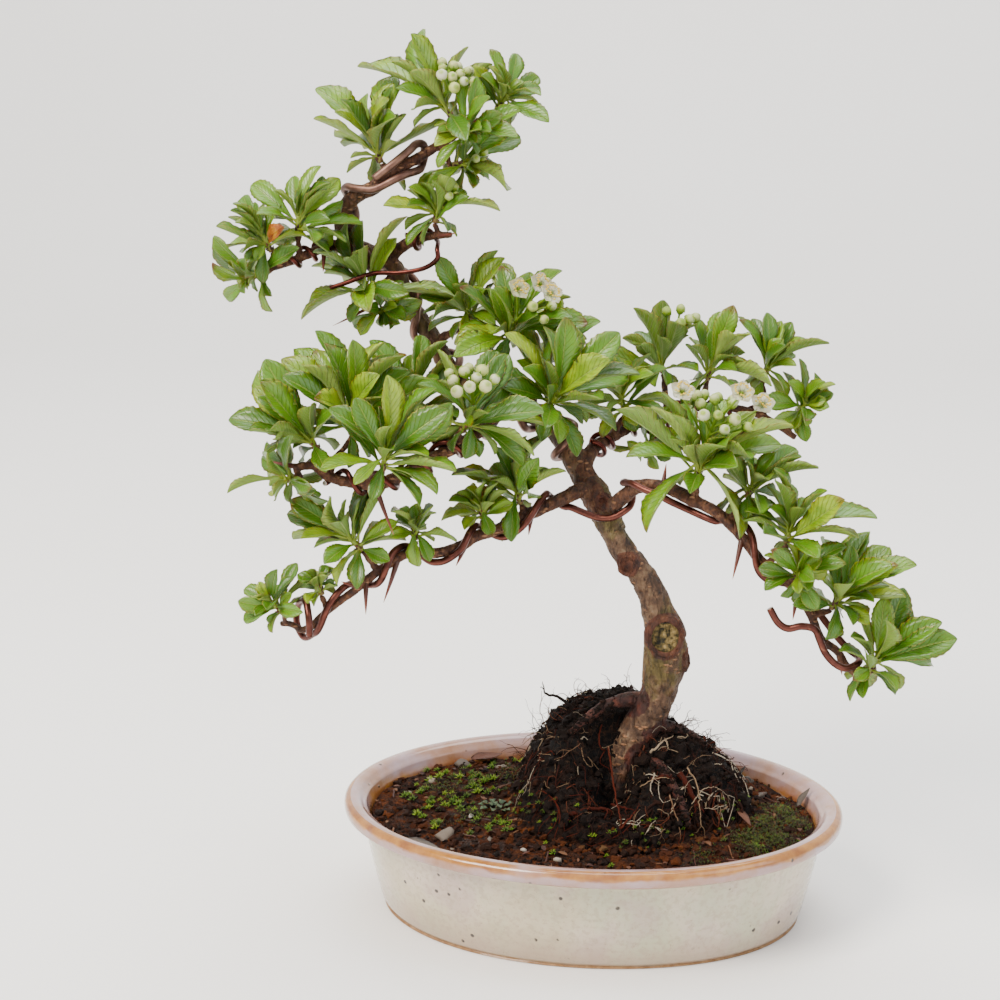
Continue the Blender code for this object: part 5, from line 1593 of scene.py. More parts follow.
@dataclass
class Soil:
    """Earth in the pot, with crumbs, moss, stones, twigs and fallen scales on it."""

    pot: Pot
    ball: "RootBall"
    level: float = 38.0
    pit: float = 34.6
    bottom: float = 7.7
    sides: int = 200
    rings: int = 60
    crumbs: int = 3900
    scales: int = 60
    twigs: int = 34
    stones: tuple = (
        (-51, -31, 3.2, 0.45), (-47, -43, 1.3, 0.5), (-57, 42, 3.2, 0.2), (52, -44, 1.9, 1.0),
        (-44, -15, 1.3, 0.95), (-21, -41, 1.2, 0.9), (64, 25, 2.4, 0.25), (59, 38, 2.0, 0.05),
        (-72, 8, 1.5, 0.45), (72, 22, 1.8, 0.3), (-34, -36, 1.5, 0.35), (-66, 24, 1.6, 0.75),
        (-40, 38, 1.8, 0.5), (60, 30, 1.6, 0.6), (-8, -48, 1.3, 0.8),
    )
    chips: tuple = (
        ((-66, -42, 40), (-50, -49, 40.5), 3.0, 2, 0.25, 0.25),
        ((-53, 44, 38.5), (-41, 49, 39.5), 4.2, 3, 0.55, 0.1),
        ((55, -5, 44), (61, -12, 40), 1.9, 3, 0.62, 0.35),
        ((78.5, 15, 37), (83, 19, 44), 1.6, 2, 0.15, 0.5),
        ((44, -27, 39.5), (47, -32, 40), 1.2, 3, 0.75, 0.4),
        ((-30, -17, 39), (-22, -20, 40.5), 1.5, 3, 0.8, 0.3),
        ((55, 39, 38), (58, 41, 43), 1.0, 2, 0.02, 0.3),
        ((-8, -42, 39), (-4, -46, 39.4), 1.3, 3, 0.85, 0.2),
    )

    def edge(self) -> float:
        """How far inside the rim the soil's edge lies."""
        (top, high), (foot, low) = self.pot.wall
        return top + (foot - top) * (high - 35) / (high - low) + 0.3

    def height(self, x: Array, y: Array) -> Array:
        """Height of the earth's surface, sunk under the root ball.

        Args:
            x: places along the pot.
            y: places across it.

        Returns:
            The height at each place.
        """
        inset = self.edge()
        share = np.hypot(x / (self.pot.half_length - inset), y / (self.pot.half_width - inset))
        top = self.level - 1.5 * share**6 + 1.3 * lumps(x, y, 11)
        under = np.clip((1.0 - self.ball.share(x, y)) / 0.02, 0, 1)
        return top * (1 - under) + self.pit * under

    def build(self) -> Piece:
        """The earth itself.

        Returns:
            The piece, so far without what lies on it.
        """
        piece = Piece("soil_fine", "soil", [Finish.SOIL, Finish.CRUMB, Finish.STONE, Finish.SCALE], ["soil"])
        long, wide, angles = self.pot.half_length, self.pot.half_width, circle(self.sides)
        inset = self.edge()
        grids = []
        for away, z in ((21.6, self.bottom), (17.5, 12.3), (inset + 0.4, 34.5)):
            x, y = (long - away) * np.cos(angles), (wide - away) * np.sin(angles)
            grids.append(np.stack([x, y, np.full(self.sides, z)], -1))
        for share in np.linspace(1, 0.015, self.rings):
            x = (long - inset) * share * np.cos(angles)
            y = (wide - inset) * share * np.sin(angles)
            z = self.height(x, y)
            flat = np.stack([x, y, z], -1)
            z = z + (0.55 * rough(flat, 5.0) + 0.35 * rough(flat, 1.6, 2)) * (share < 0.99)
            grids.append(np.stack([x, y, z], -1))
        points = np.vstack([*grids, [(0, 0, self.bottom)], [(0, 0, self.pit)]])
        piece.add(points, wrap(len(grids), self.sides))
        return piece

    def spots(self, chance: random.Random) -> tuple[float, float]:
        """A random place on the open earth.

        Args:
            chance: the random draws.

        Returns:
            Its two coordinates.
        """
        while True:
            angle, share = chance.uniform(0, 2 * math.pi), math.sqrt(chance.random())
            x = (self.pot.half_length - self.edge() - 0.6) * share * math.cos(angle)
            y = (self.pot.half_width - self.edge() - 0.6) * share * math.sin(angle)
            if self.ball.share(x, y) > 0.99:
                return x, y

    def dress(self) -> None:
        """Adds crumbs, stones, flakes and twigs, makes the piece, and grows the moss."""
        chance = random.Random(5)
        piece, grains = self.build(), Grains(chance)
        for _ in range(self.crumbs):
            x, y = self.spots(chance)
            size = 0.3 + 1.5 * chance.random() ** 5
            tint = (chance.random() * 0.88, 0, 0.35 * chance.random())
            grains.add(piece, (x, y, float(self.height(x, y)) + 0.25 * size), size, 1, tint)
        for x, y, size, shade in self.stones:
            grains.add(piece, (x, y, float(self.height(x, y)) + 0.5), size, 2, (shade, 0, 0), 0.6)
        for first, last, wide, finish, shade, cup in self.chips:
            flake(piece, (first, last), wide, finish, (shade, 0, 0), cup)
        for _ in range(self.scales):
            x, y = self.spots(chance)
            level = float(self.height(x, y)) + 0.6
            way, length = chance.uniform(0, 6.28), chance.uniform(1.5, 4)
            last = (x + length * math.cos(way), y + length * math.sin(way), level + chance.uniform(-0.2, 0.9))
            flake(piece, ((x, y, level), last), chance.uniform(0.4, 1.1), 3, (chance.random(), 0, 0))
        for _ in range(self.twigs):
            x, y = self.spots(chance)
            way, length = chance.uniform(0, 6.28), chance.uniform(4, 11)
            steps = np.linspace(-0.5, 0.5, 7)
            xs = x + length * steps * math.cos(way)
            ys = y + length * steps * math.sin(way) + 0.12 * length * np.sin(steps * 5)
            zs = self.height(xs, ys) + 0.7
            path = np.stack([xs, ys, (np.maximum.accumulate(zs) + zs) / 2], -1)
            piece.add(*sweep(path, [chance.uniform(0.2, 0.5)] * 7, 6), [3], (chance.random(), 0, 0))
        piece.make()
        Moss(self).dress()


@dataclass
class Moss:
    """Moss on the earth: star-shaped rosettes to the left, a carpet to the right, and a pale lobed lichen."""

    soil: Soil
    stars: tuple = (
        (-50, 23, 11, 26), (-43, 17, 8, 24), (-68, 19, 6, 7), (-70, 4, 8, 12), (-60, -2, 9, 16),
        (-62, -13, 7, 10), (-50, -4, 7, 10), (-46, -9, 4, 6), (-33, -19, 6, 11), (-38, -12, 5, 7),
        (-56, -24, 6, 6), (-38, -26, 6, 6), (-66, 32, 6, 6), (-38, 45, 9, 14), (-56, 8, 8, 10),
        (-29, -28, 5, 4), (14, -40, 8, 5), (-12, -40, 8, 4), (26, 52, 12, 16), (-10, 54, 12, 14),
        (60, -28, 6, 5),
    )
    carpets: tuple = (
        (66, -6, 9, 420), (72, 8, 8, 330), (70, -18, 8, 360), (60, -16, 7, 260), (62, -28, 7, 220),
        (78, -3, 6, 200), (-34, 28, 9, 220), (-60, 12, 10, 200), (-44, -14, 8, 150), (50, 34, 9, 180),
        (-20, 50, 9, 160), (44, -38, 6, 90),
    )
    lichen: tuple[float, float, float] = (-36, -6, 39.2)

    def allowed(self, x: float, y: float) -> bool:
        """Whether a place is on the open earth, inside the rim.

        Args:
            x: where it is along the pot, in mm.
            y: where it is across the pot, in mm.

        Returns:
            True where it is.
        """
        pot, inset = self.soil.pot, self.soil.edge()
        oval = math.hypot(x / (pot.half_length - 1 - inset), y / (pot.half_width - 1 - inset))
        return oval < 1 and self.soil.ball.share(x, y) > 0.97

    @staticmethod
    def leaflet(piece: Piece, foot: Array, tip: Array, wide: float, own: float) -> None:
        """One pointed leaflet; moss is its piece's last finish.

        Args:
            piece: what it goes into.
            foot: its foot.
            tip: its tip.
            wide: its half width.
            own: its shade.
        """
        side = unit(np.cross(unit(tip - foot), (0.6, 0.2, 0.1))) * wide
        mid = foot + (tip - foot) * 0.45 + np.array([0, 0, 0.12])
        deep = unit(np.cross(side, tip - foot)) * wide * 0.6
        points = np.array([foot, mid + side, mid - side, mid + deep, tip])
        faces = np.array([(0, 1, 3), (1, 4, 3), (4, 2, 3), (2, 0, 3), (0, 2, 1), (1, 2, 4)])
        tints = np.array([(own, height, 0) for height in (0, 0.5, 0.5, 0.5, 1.0)])
        piece.add(points, [faces], [len(piece.finishes) - 1], tints)

    @staticmethod
    def star(piece: Piece, foot: Array, size: float, chance: random.Random) -> None:
        """One rosette of leaflets, the inner ones steeper.

        Args:
            piece: what it goes into.
            foot: its middle.
            size: its reach.
            chance: the random draws.
        """
        own = clamp(chance.gauss(0.72, 0.2))
        for k in range(13):
            angle, share = k * GOLDEN_ANGLE, (k + 0.5) / 13
            x, y = math.cos(angle) * share * 1.3, math.sin(angle) * share * 1.3
            lean = np.array([x, y, 1.15 - 0.75 * share])
            tip = foot + unit(lean) * size * chance.uniform(0.8, 1.1) + (0, 0, 0.3)
            Moss.leaflet(piece, foot + (0, 0, 0.2), tip, 0.17 * size, own)

    def dress(self) -> None:
        """Grows the tufts."""
        chance = random.Random(11)
        piece = Piece("moss", "soil", [Finish.MOSS])
        for cx, cy, spread, count in self.stars:
            for _ in range(2 * count // 3):
                x, y = cx + chance.gauss(0, spread * 0.55), cy + chance.gauss(0, spread * 0.55)
                if self.allowed(x, y):
                    foot = np.array([x, y, float(self.soil.height(x, y))])
                    self.star(piece, foot, chance.uniform(1.4, 2.9), chance)
        for cx, cy, spread, count in self.carpets:
            for _ in range(count):
                x, y = cx + chance.gauss(0, spread * 0.6), cy + chance.gauss(0, spread * 0.6)
                if not self.allowed(x, y):
                    continue
                mound = 1.4 * math.exp(-(((x - cx) ** 2 + (y - cy) ** 2) / spread**2))
                mound = mound * (0.7 + 0.3 * math.sin(x * 2.1) * math.cos(y * 1.9))
                z = float(self.soil.height(x, y)) + mound
                own = clamp(chance.gauss(0.27, 0.22))
                for size in (1.5, 1.1, 0.9):
                    lean = np.array([chance.gauss(0, 0.6), chance.gauss(0, 0.6), 1.0])
                    foot = np.array([x, y, z])
                    self.leaflet(piece, foot, foot + unit(lean) * size * chance.uniform(0.7, 1.2), 0.22, own)
        for k in range(17):
            angle, away = k * GOLDEN_ANGLE * 1.13, 1.25 * math.sqrt(k)
            foot = np.array(self.lichen) + ray(away, angle, 0.4 * (k % 3))
            flake(piece, (foot, foot + ray(2.4, angle, 0.6)), 1.3, 0, (0.6, 0.5, 1.0), 0.5)
        piece.make()


@dataclass
class RootBall:
    """Mound of dark peat and fine roots round the trunk's foot."""

    centre: tuple[float, float] = (13.0, 4.0)
    half_axes: tuple[float, float] = (46.0, 41.0)
    floor: float = 35.3
    left: float = 50.0
    right: float = 39.0
    sides: int = 190
    levels: int = 64
    clinging: int = 190
    standing: int = 400
    crumbs: int = 2400
    foot_crumbs: int = 700
    stars: int = 80
    shades: tuple = ((0, 0.35), (0.1, 0.5), (0.05, 0.4), (0.5, 0.72), (0.15, 0.6), (0.8, 1))
    routes: tuple = (
        (0.75, 0.02, (-5.5, -1, 77), (-9, -1.5, 81), (-13, -1, 83.5), (-18, -1, 84.8)),
        (0.42, 0.6, (7, -7, 67), (8.6, -11.5, 60), (10.2, -17, 55), (12, -25, 51.5), (14, -33, 47.5)),
        (0.9, 0.5, (-5, -30, 48.6), (1, -28, 50), (8, -26.5, 50)),
        (0.6, 0.52, (9.5, -20, 49), (16.1, -26, 50.2)),
        (0.45, 0.6, (14, -34.5, 46), (17, -31.5, 48.8), (19, -28.5, 50.5)),
        (1.3, 0.5, (34, -13, 60), (37, -16, 57), (40.5, -19, 51)),
        (1.0, 0.5, (24, -18, 59), (29, -17.5, 60.5)),
        (0.2, 0.86, (20, -21, 57), (25.5, -21, 60.5), (31, -19.5, 60.5), (33.5, -18.5, 57)),
        (0.2, 0.9, (39, -20, 51), (43.5, -17, 56), (48, -12.5, 55), (52, -10, 51)),
        (0.5, 0.9, (23, -11.5, 67), (27.5, -11, 71.5)),
        (0.3, 0.95, (25, -19, 62), (24, -20.5, 57), (25, -21.5, 53)),
        (0.3, 0.85, (37, -17, 64), (41, -18, 58), (42, -20.5, 50), (43, -23.5, 44)),
        (0.28, 0.8, (31, -22, 55), (33, -25, 50), (35, -27.5, 45)),
        (0.32, 0.9, (36, -19, 57), (33, -23, 52), (31, -27, 48)),
    )

    def reach(self, angle: Array) -> Array:
        """How far the ball's oval is pushed out at an angle."""
        return 1 + 0.05 * np.sin(3 * angle + 1) + 0.03 * np.cos(5 * angle)

    def share(self, x: Array, y: Array) -> Array:
        """0 at the ball's middle and 1 at its edge."""
        dx, dy = (x - self.centre[0]) / self.half_axes[0], (y - self.centre[1]) / self.half_axes[1]
        return np.hypot(dx, dy) / self.reach(np.arctan2(dy, dx))

    def height(self, x: Array, y: Array, share: Array) -> Array:
        """Height of the ball's top above its floor.

        Args:
            x: places along.
            y: places across.
            share: how far out they lie.

        Returns:
            The height at each place.
        """
        blend = np.clip((x - 8) / 24, 0, 1)
        blend = blend * blend * (3 - 2 * blend)
        crest = self.left + (self.right - self.left) * blend - 14 * np.clip((-4 - y) / 24, 0, 1)
        hollow = 30 * np.exp(-(((x - 10) / 10) ** 2) - ((y + 14) / 13) ** 2)
        top = crest * np.maximum(1 - share**2, 0) ** 0.62 - hollow + 2.2 * lumps(x, y, 6) * (1.2 - share)
        return np.maximum(top, 3.5)

    def surface(self, angle: float, share: float) -> Array:
        """A point on the ball at an angle and a share of the way out.

        Args:
            angle: seen from above.
            share: 0 in the middle and 1 at the edge.

        Returns:
            The point.
        """
        reach = float(self.reach(np.array(angle))) * share
        x = self.centre[0] + self.half_axes[0] * reach * math.cos(angle)
        y = self.centre[1] + self.half_axes[1] * reach * math.sin(angle)
        return np.array([x, y, self.floor + float(self.height(x, y, share))])

    def build(self) -> Skin:
        """Points and faces of the mound.

        Returns:
            Its skin, with lumps and pits pushed into it.
        """
        angles = circle(self.sides)
        rings = []
        for k in range(self.levels + 1):
            share = 1 - (k / self.levels) ** 1.25 * 0.985
            reach = self.reach(angles) * (share if k else 0.985)
            x = self.centre[0] + self.half_axes[0] * reach * np.cos(angles)
            y = self.centre[1] + self.half_axes[1] * reach * np.sin(angles)
            z = self.floor + (self.height(x, y, share) if k else 0.0)
            rings.append(np.stack([x, y, np.broadcast_to(z, x.shape)], -1))
        grid = np.array(rings)
        normal = np.cross(np.roll(grid, -1, 1) - np.roll(grid, 1, 1), np.gradient(grid, axis=0))
        normal /= np.maximum(np.linalg.norm(normal, axis=-1, keepdims=True), 1e-6)
        flat = grid.reshape(-1, 3)
        lumpy = 1.7 * rough(flat, 6.5, 3) + 1.3 * np.abs(rough(flat * (1, 1, 0.6), 2.4, 2)) - 1.1
        swell = np.clip(lumpy + 0.6 * rough(flat, 1.5, 1), -2.8, 2.2).reshape(grid.shape[:2])
        swell[0] = 0
        grid = grid + normal * swell[..., None]
        grid[..., 2] = np.maximum(grid[..., 2], self.floor)
        points = np.vstack([grid.reshape(-1, 3), grid[0].mean(0)[None], grid[-1].mean(0)[None]])
        return points, wrap(self.levels + 1, self.sides)

    def dress(self) -> None:
        """Adds rootlets that cling to the mound, and crumbs, then makes the piece."""
        chance = random.Random(23)
        finishes = [Finish.PEAT, Finish.ROOTLET, Finish.CRUMB, Finish.MOSS]
        piece = Piece("root_ball_fine", "root_peat", finishes, ["root_ball"])
        piece.add(*self.build())
        for number in range(self.clinging):
            angle, share = chance.uniform(0, 2 * math.pi), 0.15 + 0.85 * math.sqrt(chance.random())
            drift, fall = chance.gauss(0, 0.4), chance.uniform(-0.25, 0.5)
            thick = chance.uniform(0.12, 0.32) if number % 12 else chance.uniform(0.5, 0.9)
            wave = chance.uniform(0, 6.28)
            path = []
            for t in np.linspace(0, 1, 13):
                a = angle + drift * t + 0.07 * math.sin(9 * t + wave)
                s = share + fall * t + 0.03 * math.sin(13 * t + wave)
                s = clamp(s, 0.05, 0.92 + 0.07 * math.sin(5 * t + wave))
                path.append(self.surface(a, s) + (0, 0, 0.7 + 0.9 * math.sin(11 * t + wave)))
            path = np.array(path)
            path[:, :2] += (path[:, :2] - self.centre) * 0.012
            root = sweep(path, thick * np.linspace(1, 0.45, 13), 5)
            piece.add(*root, [1], (self.shade(chance, number), 0, 0))
        for number in range(self.standing):
            angle, share = chance.uniform(0, 2 * math.pi), math.sqrt(chance.uniform(0.08, 0.85))
            spot = self.surface(angle, share)
            out = ray(1, angle, chance.uniform(-0.2, 1.0))
            way = out + jitter(chance, 0.6)
            length, thick = 4.5 + 10 * chance.random() ** 1.8, chance.uniform(0.1, 0.21)
            fine_root(piece, spot + out * 0.8, way, length, thick, self.shade(chance, number), chance)
        for radius, shade, *route in self.routes:
            path = smooth_route(route, 1.0)
            path[1:-1] += np.array([jitter(chance, 0.18) for _ in path[1:-1]])
            piece.add(*sweep(path, radius * np.linspace(1, 0.6, len(path)), 8), [1], (shade, 0, 0))
            for _ in range(2):
                way = path[-1] - path[-3] + jitter(chance, 0.9)
                fine_root(piece, path[-1], way, 5, radius * 0.45, shade, chance)
        grains = Grains(chance)
        for route in SURFACE_ROOTS:
            path = smooth_route(route, 0.8)
            for _ in range(110):
                x, y, z, radius = path[int(len(path) * (0.35 + 0.65 * chance.random()))]
                side = chance.uniform(-1.2, 1.2)
                along = 0.6 * chance.gauss(0, radius)
                spot = (x + along, y - radius * math.cos(side), z + radius * math.sin(side))
                size = 0.3 + 0.9 * chance.random() ** 2
                grains.add(piece, spot, size, 2, (0.5 * chance.random(), 0, chance.uniform(0.4, 1)))
        for number in range(self.crumbs):
            angle, share = chance.uniform(0, 2 * math.pi), math.sqrt(chance.random())
            spot = self.surface(angle, share)
            size = 0.3 + (1.2 if number % 5 else 2.4) * chance.random() ** 2.5
            low = clamp((62 - spot[2]) / 14) * (size < 1.2)
            tint = (chance.random() * (0.35 + 0.5 * low), 0, (0.85 - 0.6 * low) * chance.uniform(0.6, 1.1))
            grains.add(piece, spot + (0, 0, 0.1), size, 2, tint, 0.9)
        for _ in range(self.foot_crumbs):
            angle = chance.uniform(0, 2 * math.pi)
            spot = self.surface(angle, 1.0) + (chance.gauss(0, 1.7), chance.gauss(0, 1.7), 0.3)
            tint = (chance.random() ** 0.8, 0, 0.4 * chance.random())
            grains.add(piece, spot, 0.5 + 1.3 * chance.random() ** 2, 2, tint)
        for _ in range(self.stars):
            angle = chance.uniform(3.3, 6.1) if chance.random() < 0.7 else chance.uniform(0, 6.28)
            spot = self.surface(angle, chance.uniform(0.84, 1.0)) + (0, 0, 0.6)
            if spot[2] < 52:
                Moss.star(piece, spot, chance.uniform(0.9, 1.8), chance)
        piece.make()

    def shade(self, chance: random.Random, number: int) -> float:
        """A rootlet's shade: most are dark, some red-brown and some whitish."""
        return chance.uniform(*self.shades[number % len(self.shades)])


@dataclass
class Wood:
    """Trunk, branches, surface roots, spurs, healed cuts and thorns.

    A thorn is its base and its tip. A healed cut is its centre, the way it faces, its radius and the
    thickness of its rolled rim.
    """

    voxel: float = 0.5
    most: float = 0.34
    triangles: int = 130000
    thorns: tuple = (
        ((-60, -2, 256), (-50, -7, 258)), ((-86, 11, 228), (-98, 4, 222)),
        ((-71, -54, 176), (-63, -62, 161)), ((-66, -38, 145), (-70, -47, 132)),
        ((-77, -40, 137), (-76, -49, 128)), ((-43, -29, 150), (-46, -35, 143)),
        ((-45, 9, 195), (-47, -3, 180)), ((54, -36, 157), (52, -45, 145)),
        ((-96, -56, 182), (-108, -55, 184)), ((-86, -42, 131), (-86, -43, 138)),
        ((74, -39, 139), (73, -44, 131)), ((-21, -16, 158), (-22, -19, 151)),
        ((89, -37, 117), (91, -33, 108)), ((20, 38, 185), (26, 34, 176)), ((42, 47, 187), (50, 42, 179)),
        ((-100, 0, 251), (-99, -5, 243)), ((26, -21, 171), (27, -18, 179)), ((-32, 7, 193), (-30, 1, 202)),
    )
    scars: tuple = (
        ((27.3, -6.4, 111), (0.1, -1, 0.05), 5.6, 1.9),
        ((13.2, -6.4, 138), (-0.35, -1, 0.1), 2.9, 1.3),
        ((34.0, 0, 100), (1, -0.1, 0), 3.0, 1.8),
        ((3.5, -5.0, 161), (-0.1, -1, 0), 1.7, 0.9),
    )
    scar_tall: float = 1.15
    tree: BVHTree = field(init=False)

    def __post_init__(self) -> None:
        """Keeps the solid's surface, to find where its spurs and thorns stand."""
        points, faces = cad_mesh("wood")
        self.tree = BVHTree.FromPolygons([tuple(point) for point in points], faces)

    def inside(self, point: Vector) -> bool:
        """Whether a point lies in the solid wood."""
        spot, normal, _, _ = self.tree.find_nearest(point)
        return (point - spot).dot(normal) < 0.02

    def root(self, base: Row, end: Vector) -> tuple[Vector, float]:
        """Where the solid spur or thorn with this end grows from.

        Args:
            base: a point on or near the wood, from which its root may have slid.
            end: its outer end.

        Returns:
            Its root inside the wood, and the wood's radius there.
        """
        route, place = nearest_wood(Vector(base))
        first = None
        for slide in (0, 0.25, -0.25, 0.5, -0.5, 0.75, -0.75, 1, -1, 1.3, -1.3, 1.6, -1.6):
            root, _, radius = on_route(route, clamp(place + slide, 0.1, len(route) - 1.1))
            first = first or (root, radius)
            if all(self.inside(root.lerp(end, share)) for share in (0.3, 0.5, 0.7, 0.85)):
                return root, radius
        return first

    def spur(self, base: Row, tips: Sequence) -> Skin:
        """The woody spur below a leafy shoot.

        Args:
            base: where the shoot stands.
            tips: its leaves' tips, from there.

        Returns:
            Its skin.
        """
        axis = shoot_axis(tips)
        end = Vector(base) - axis * 0.2
        root, radius = self.root(base, end)
        thick = min(1.3 + 0.03 * (end - root).length, 0.8 * radius)
        bend = (end - root).length * 0.3
        knots = [root, root.lerp(end, 0.55), end - axis * bend * 0.35, end]
        path = smooth_route(knots, 1.0)
        shares = np.linspace(0, 1, len(path))
        radii = thick + (1.05 - thick) * shares + 0.14 * np.sin(shares * 17 + base[0])
        return sweep(path, np.maximum(radii, 0.85), 10)

    def scar(self, centre: Sequence, outward: Sequence, radius: float, thick: float) -> Skin:
        """The rolled rim that has grown round a cut branch.

        Args:
            centre: the cut's middle.
            outward: the way it faces.
            radius: its radius.
            thick: the rim's radius.

        Returns:
            Its skin.
        """
        turn = facing(Vector(outward).normalized())
        around, section = 36, 10
        rings = []
        for a in circle(around):
            out = ray(1, a)
            swell = thick * (1 + 0.12 * math.sin(3 * a + radius) + 0.07 * math.sin(7 * a))
            middle = out * (1, self.scar_tall, 1) * radius
            ring = [middle + (out * math.cos(s) + [0, 0, math.sin(s)]) * swell for s in circle(section)]
            rings.append([np.array(centre) + turn @ spot for spot in ring])
        here, k = np.arange(around)[:, None], np.arange(section)
        there, after = (here + 1) % around * section, (k + 1) % section
        here = here * section
        quads = np.stack([here + k, here + after, there + after, there + k], -1)
        return np.array(rings).reshape(-1, 3), [quads.reshape(-1, 4)]

    def build(self) -> bpy.types.Mesh:
        """One smooth skin over all the wood but the thorns, in metres.

        Returns:
            The mesh.
        """
        pieces = []
        for route in (TRUNK, *BRANCHES.values(), *SURFACE_ROOTS):
            path = smooth_route(route, 1.2)
            pieces.append(sweep(path[:, :3], path[:, 3], 20))
        pieces += [self.scar(*scar) for scar in self.scars]
        pieces += [self.spur(*shoot) for shoot in SHOOTS.values()]
        points, faces, count = [], [], 0
        for some, groups in pieces:
            points.append(some)
            faces += [group + count for group in groups]
            count += len(some)
        obj = rough_out("wood", np.vstack(points), faces)
        remesh = obj.modifiers.new("skin", "REMESH")
        remesh.mode = "VOXEL"
        remesh.voxel_size = self.voxel * MM
        smooth = obj.modifiers.new("soften", "SMOOTH")
        smooth.factor, smooth.iterations = 0.5, 3
        return worked(obj)

    def grain(self, mesh: bpy.types.Mesh) -> None:
        """Pushes ridges, bumps and cracks into the skin, and notes at each point what sort of wood it is.

        Args:
            mesh: the skin, which is changed.
        """
        samples = []
        for route in (TRUNK, *BRANCHES.values(), *SURFACE_ROOTS):
            path = smooth_route(route, 2.0)
            ways = np.gradient(path[:, :3], axis=0)
            samples += [(row[:3], unit(way), row[3], route is TRUNK) for row, way in zip(path, ways)]
        near = nearest([sample[0] for sample in samples])
        cuts = []
        for centre, outward, radius, thick in self.scars:
            cuts.append((np.array(centre, float), facing(Vector(outward).normalized()), radius, thick))
        count = len(mesh.vertices)
        points, normals = np.empty(count * 3, np.float32), np.empty(count * 3, np.float32)
        mesh.vertices.foreach_get("co", points)
        mesh.vertices.foreach_get("normal", normals)
        points, normals = points.reshape(-1, 3) / MM, normals.reshape(-1, 3)
        moves, tints = np.zeros(count), np.zeros((count, 4), np.float32)
        for k, point in enumerate(points):
            spot = Vector(point)
            _, number, away = near.find(spot)
            middle, way, radius, on_trunk = samples[number]
            beyond = max(away - radius, 0)
            thick = clamp((radius - beyond * 1.5 - 1.0) / 4.5)
            size = min(radius, 8) / 8
            along = Vector(way) * (spot.dot(Vector(way)) * 0.72)
            ridge = noise.fractal((spot - along) / 3.2, 1.0, 2.0, 2)
            bump = noise.fractal(spot / 5.5 + Vector((7, 0, 0)), 1.0, 2.0, 2)
            fine = noise.noise(spot / 0.9)
            knob = max(noise.noise(spot / 3.1 + Vector((0, 9, 0))) - 0.25, 0) * 1.6
            move = 0.8 * size * bump + 0.6 * size * ridge + 0.16 * fine * (0.4 + size)
            move += knob * (0.3 + 0.4 * size)
            move, cut = self.healed(point, move, cuts)
            moves[k] = min(move, self.most)
            foot = clamp((64 - point[2]) / 10) if on_trunk else clamp((92 - point[2]) / 6)
            tints[k] = (thick, cut, foot, 1)
        moved = np.clip(points + normals * moves[:, None], *(np.array(CAD_BOX) / MM))
        mesh.vertices.foreach_set("co", (moved * MM).astype(np.float32).ravel())
        mesh.color_attributes.new("tint", "FLOAT_COLOR", "POINT").data.foreach_set("color", tints.ravel())
        mesh.update()

    def healed(self, point: Array, move: float, cuts: Sequence[tuple]) -> tuple[float, float]:
        """Sinks the face of each healed cut and draws its rings.

        Args:
            point: a point of the skin.
            move: how far the bark pushes it out.
            cuts: centre, turn, radius and rim of each cut.

        Returns:
            How far it is pushed out after all, and how much it belongs to a cut.
        """
        cut = 0.0
        for centre, turn, wide, rim in cuts:
            local = (point - centre) @ turn
            if local[2] < -2.5 * rim or np.abs(local).max() > 2.6 * wide:
                continue
            out = math.hypot(local[0], local[1] / self.scar_tall)
            if out < wide + 1.2 * rim:
                face = clamp((wide - 0.3 * rim - out) / (0.25 * rim))
                edge = clamp((wide + 1.2 * rim - out) / (0.5 * rim))
                cut = max(cut, 0.3 * edge + (0.7 if wide > 4 else 0.08) * face)
                move = move * (1 - 0.6 * face) - (0.7 * rim if wide > 2 else 0.3) * face
                wave = math.sin(out * 5.2 + 0.8 * math.sin(3 * math.atan2(local[1], local[0])))
                move += 0.3 * wave * edge * (1 - face)
        return move, cut

    def dress(self) -> None:
        """Makes the wood and its thorns."""
        mesh = self.build()
        self.grain(mesh)
        mesh.shade_smooth()
        skin = place("wood_bark", mesh, "bark", [Finish.BARK], ["wood"])
        triangles = sum(len(face.vertices) - 2 for face in mesh.polygons)
        if triangles > self.triangles:
            skin.modifiers.new("thin", "DECIMATE").ratio = self.triangles / triangles
        thorns = Piece("thorns", "bark", [Finish.THORN])
        for base, tip in self.thorns:
            root, _ = self.root(base, Vector(tip))
            points, faces = spike(root, Vector(tip), 1.15, 0.02, 10, 12)
            tint = np.zeros((len(points), 3))
            tint[:-2, 1] = np.repeat(np.linspace(0, 1, 12), 10)
            tint[-1, 1] = 1
            thorns.add(points, faces, [0], tint)
        thorns.make()


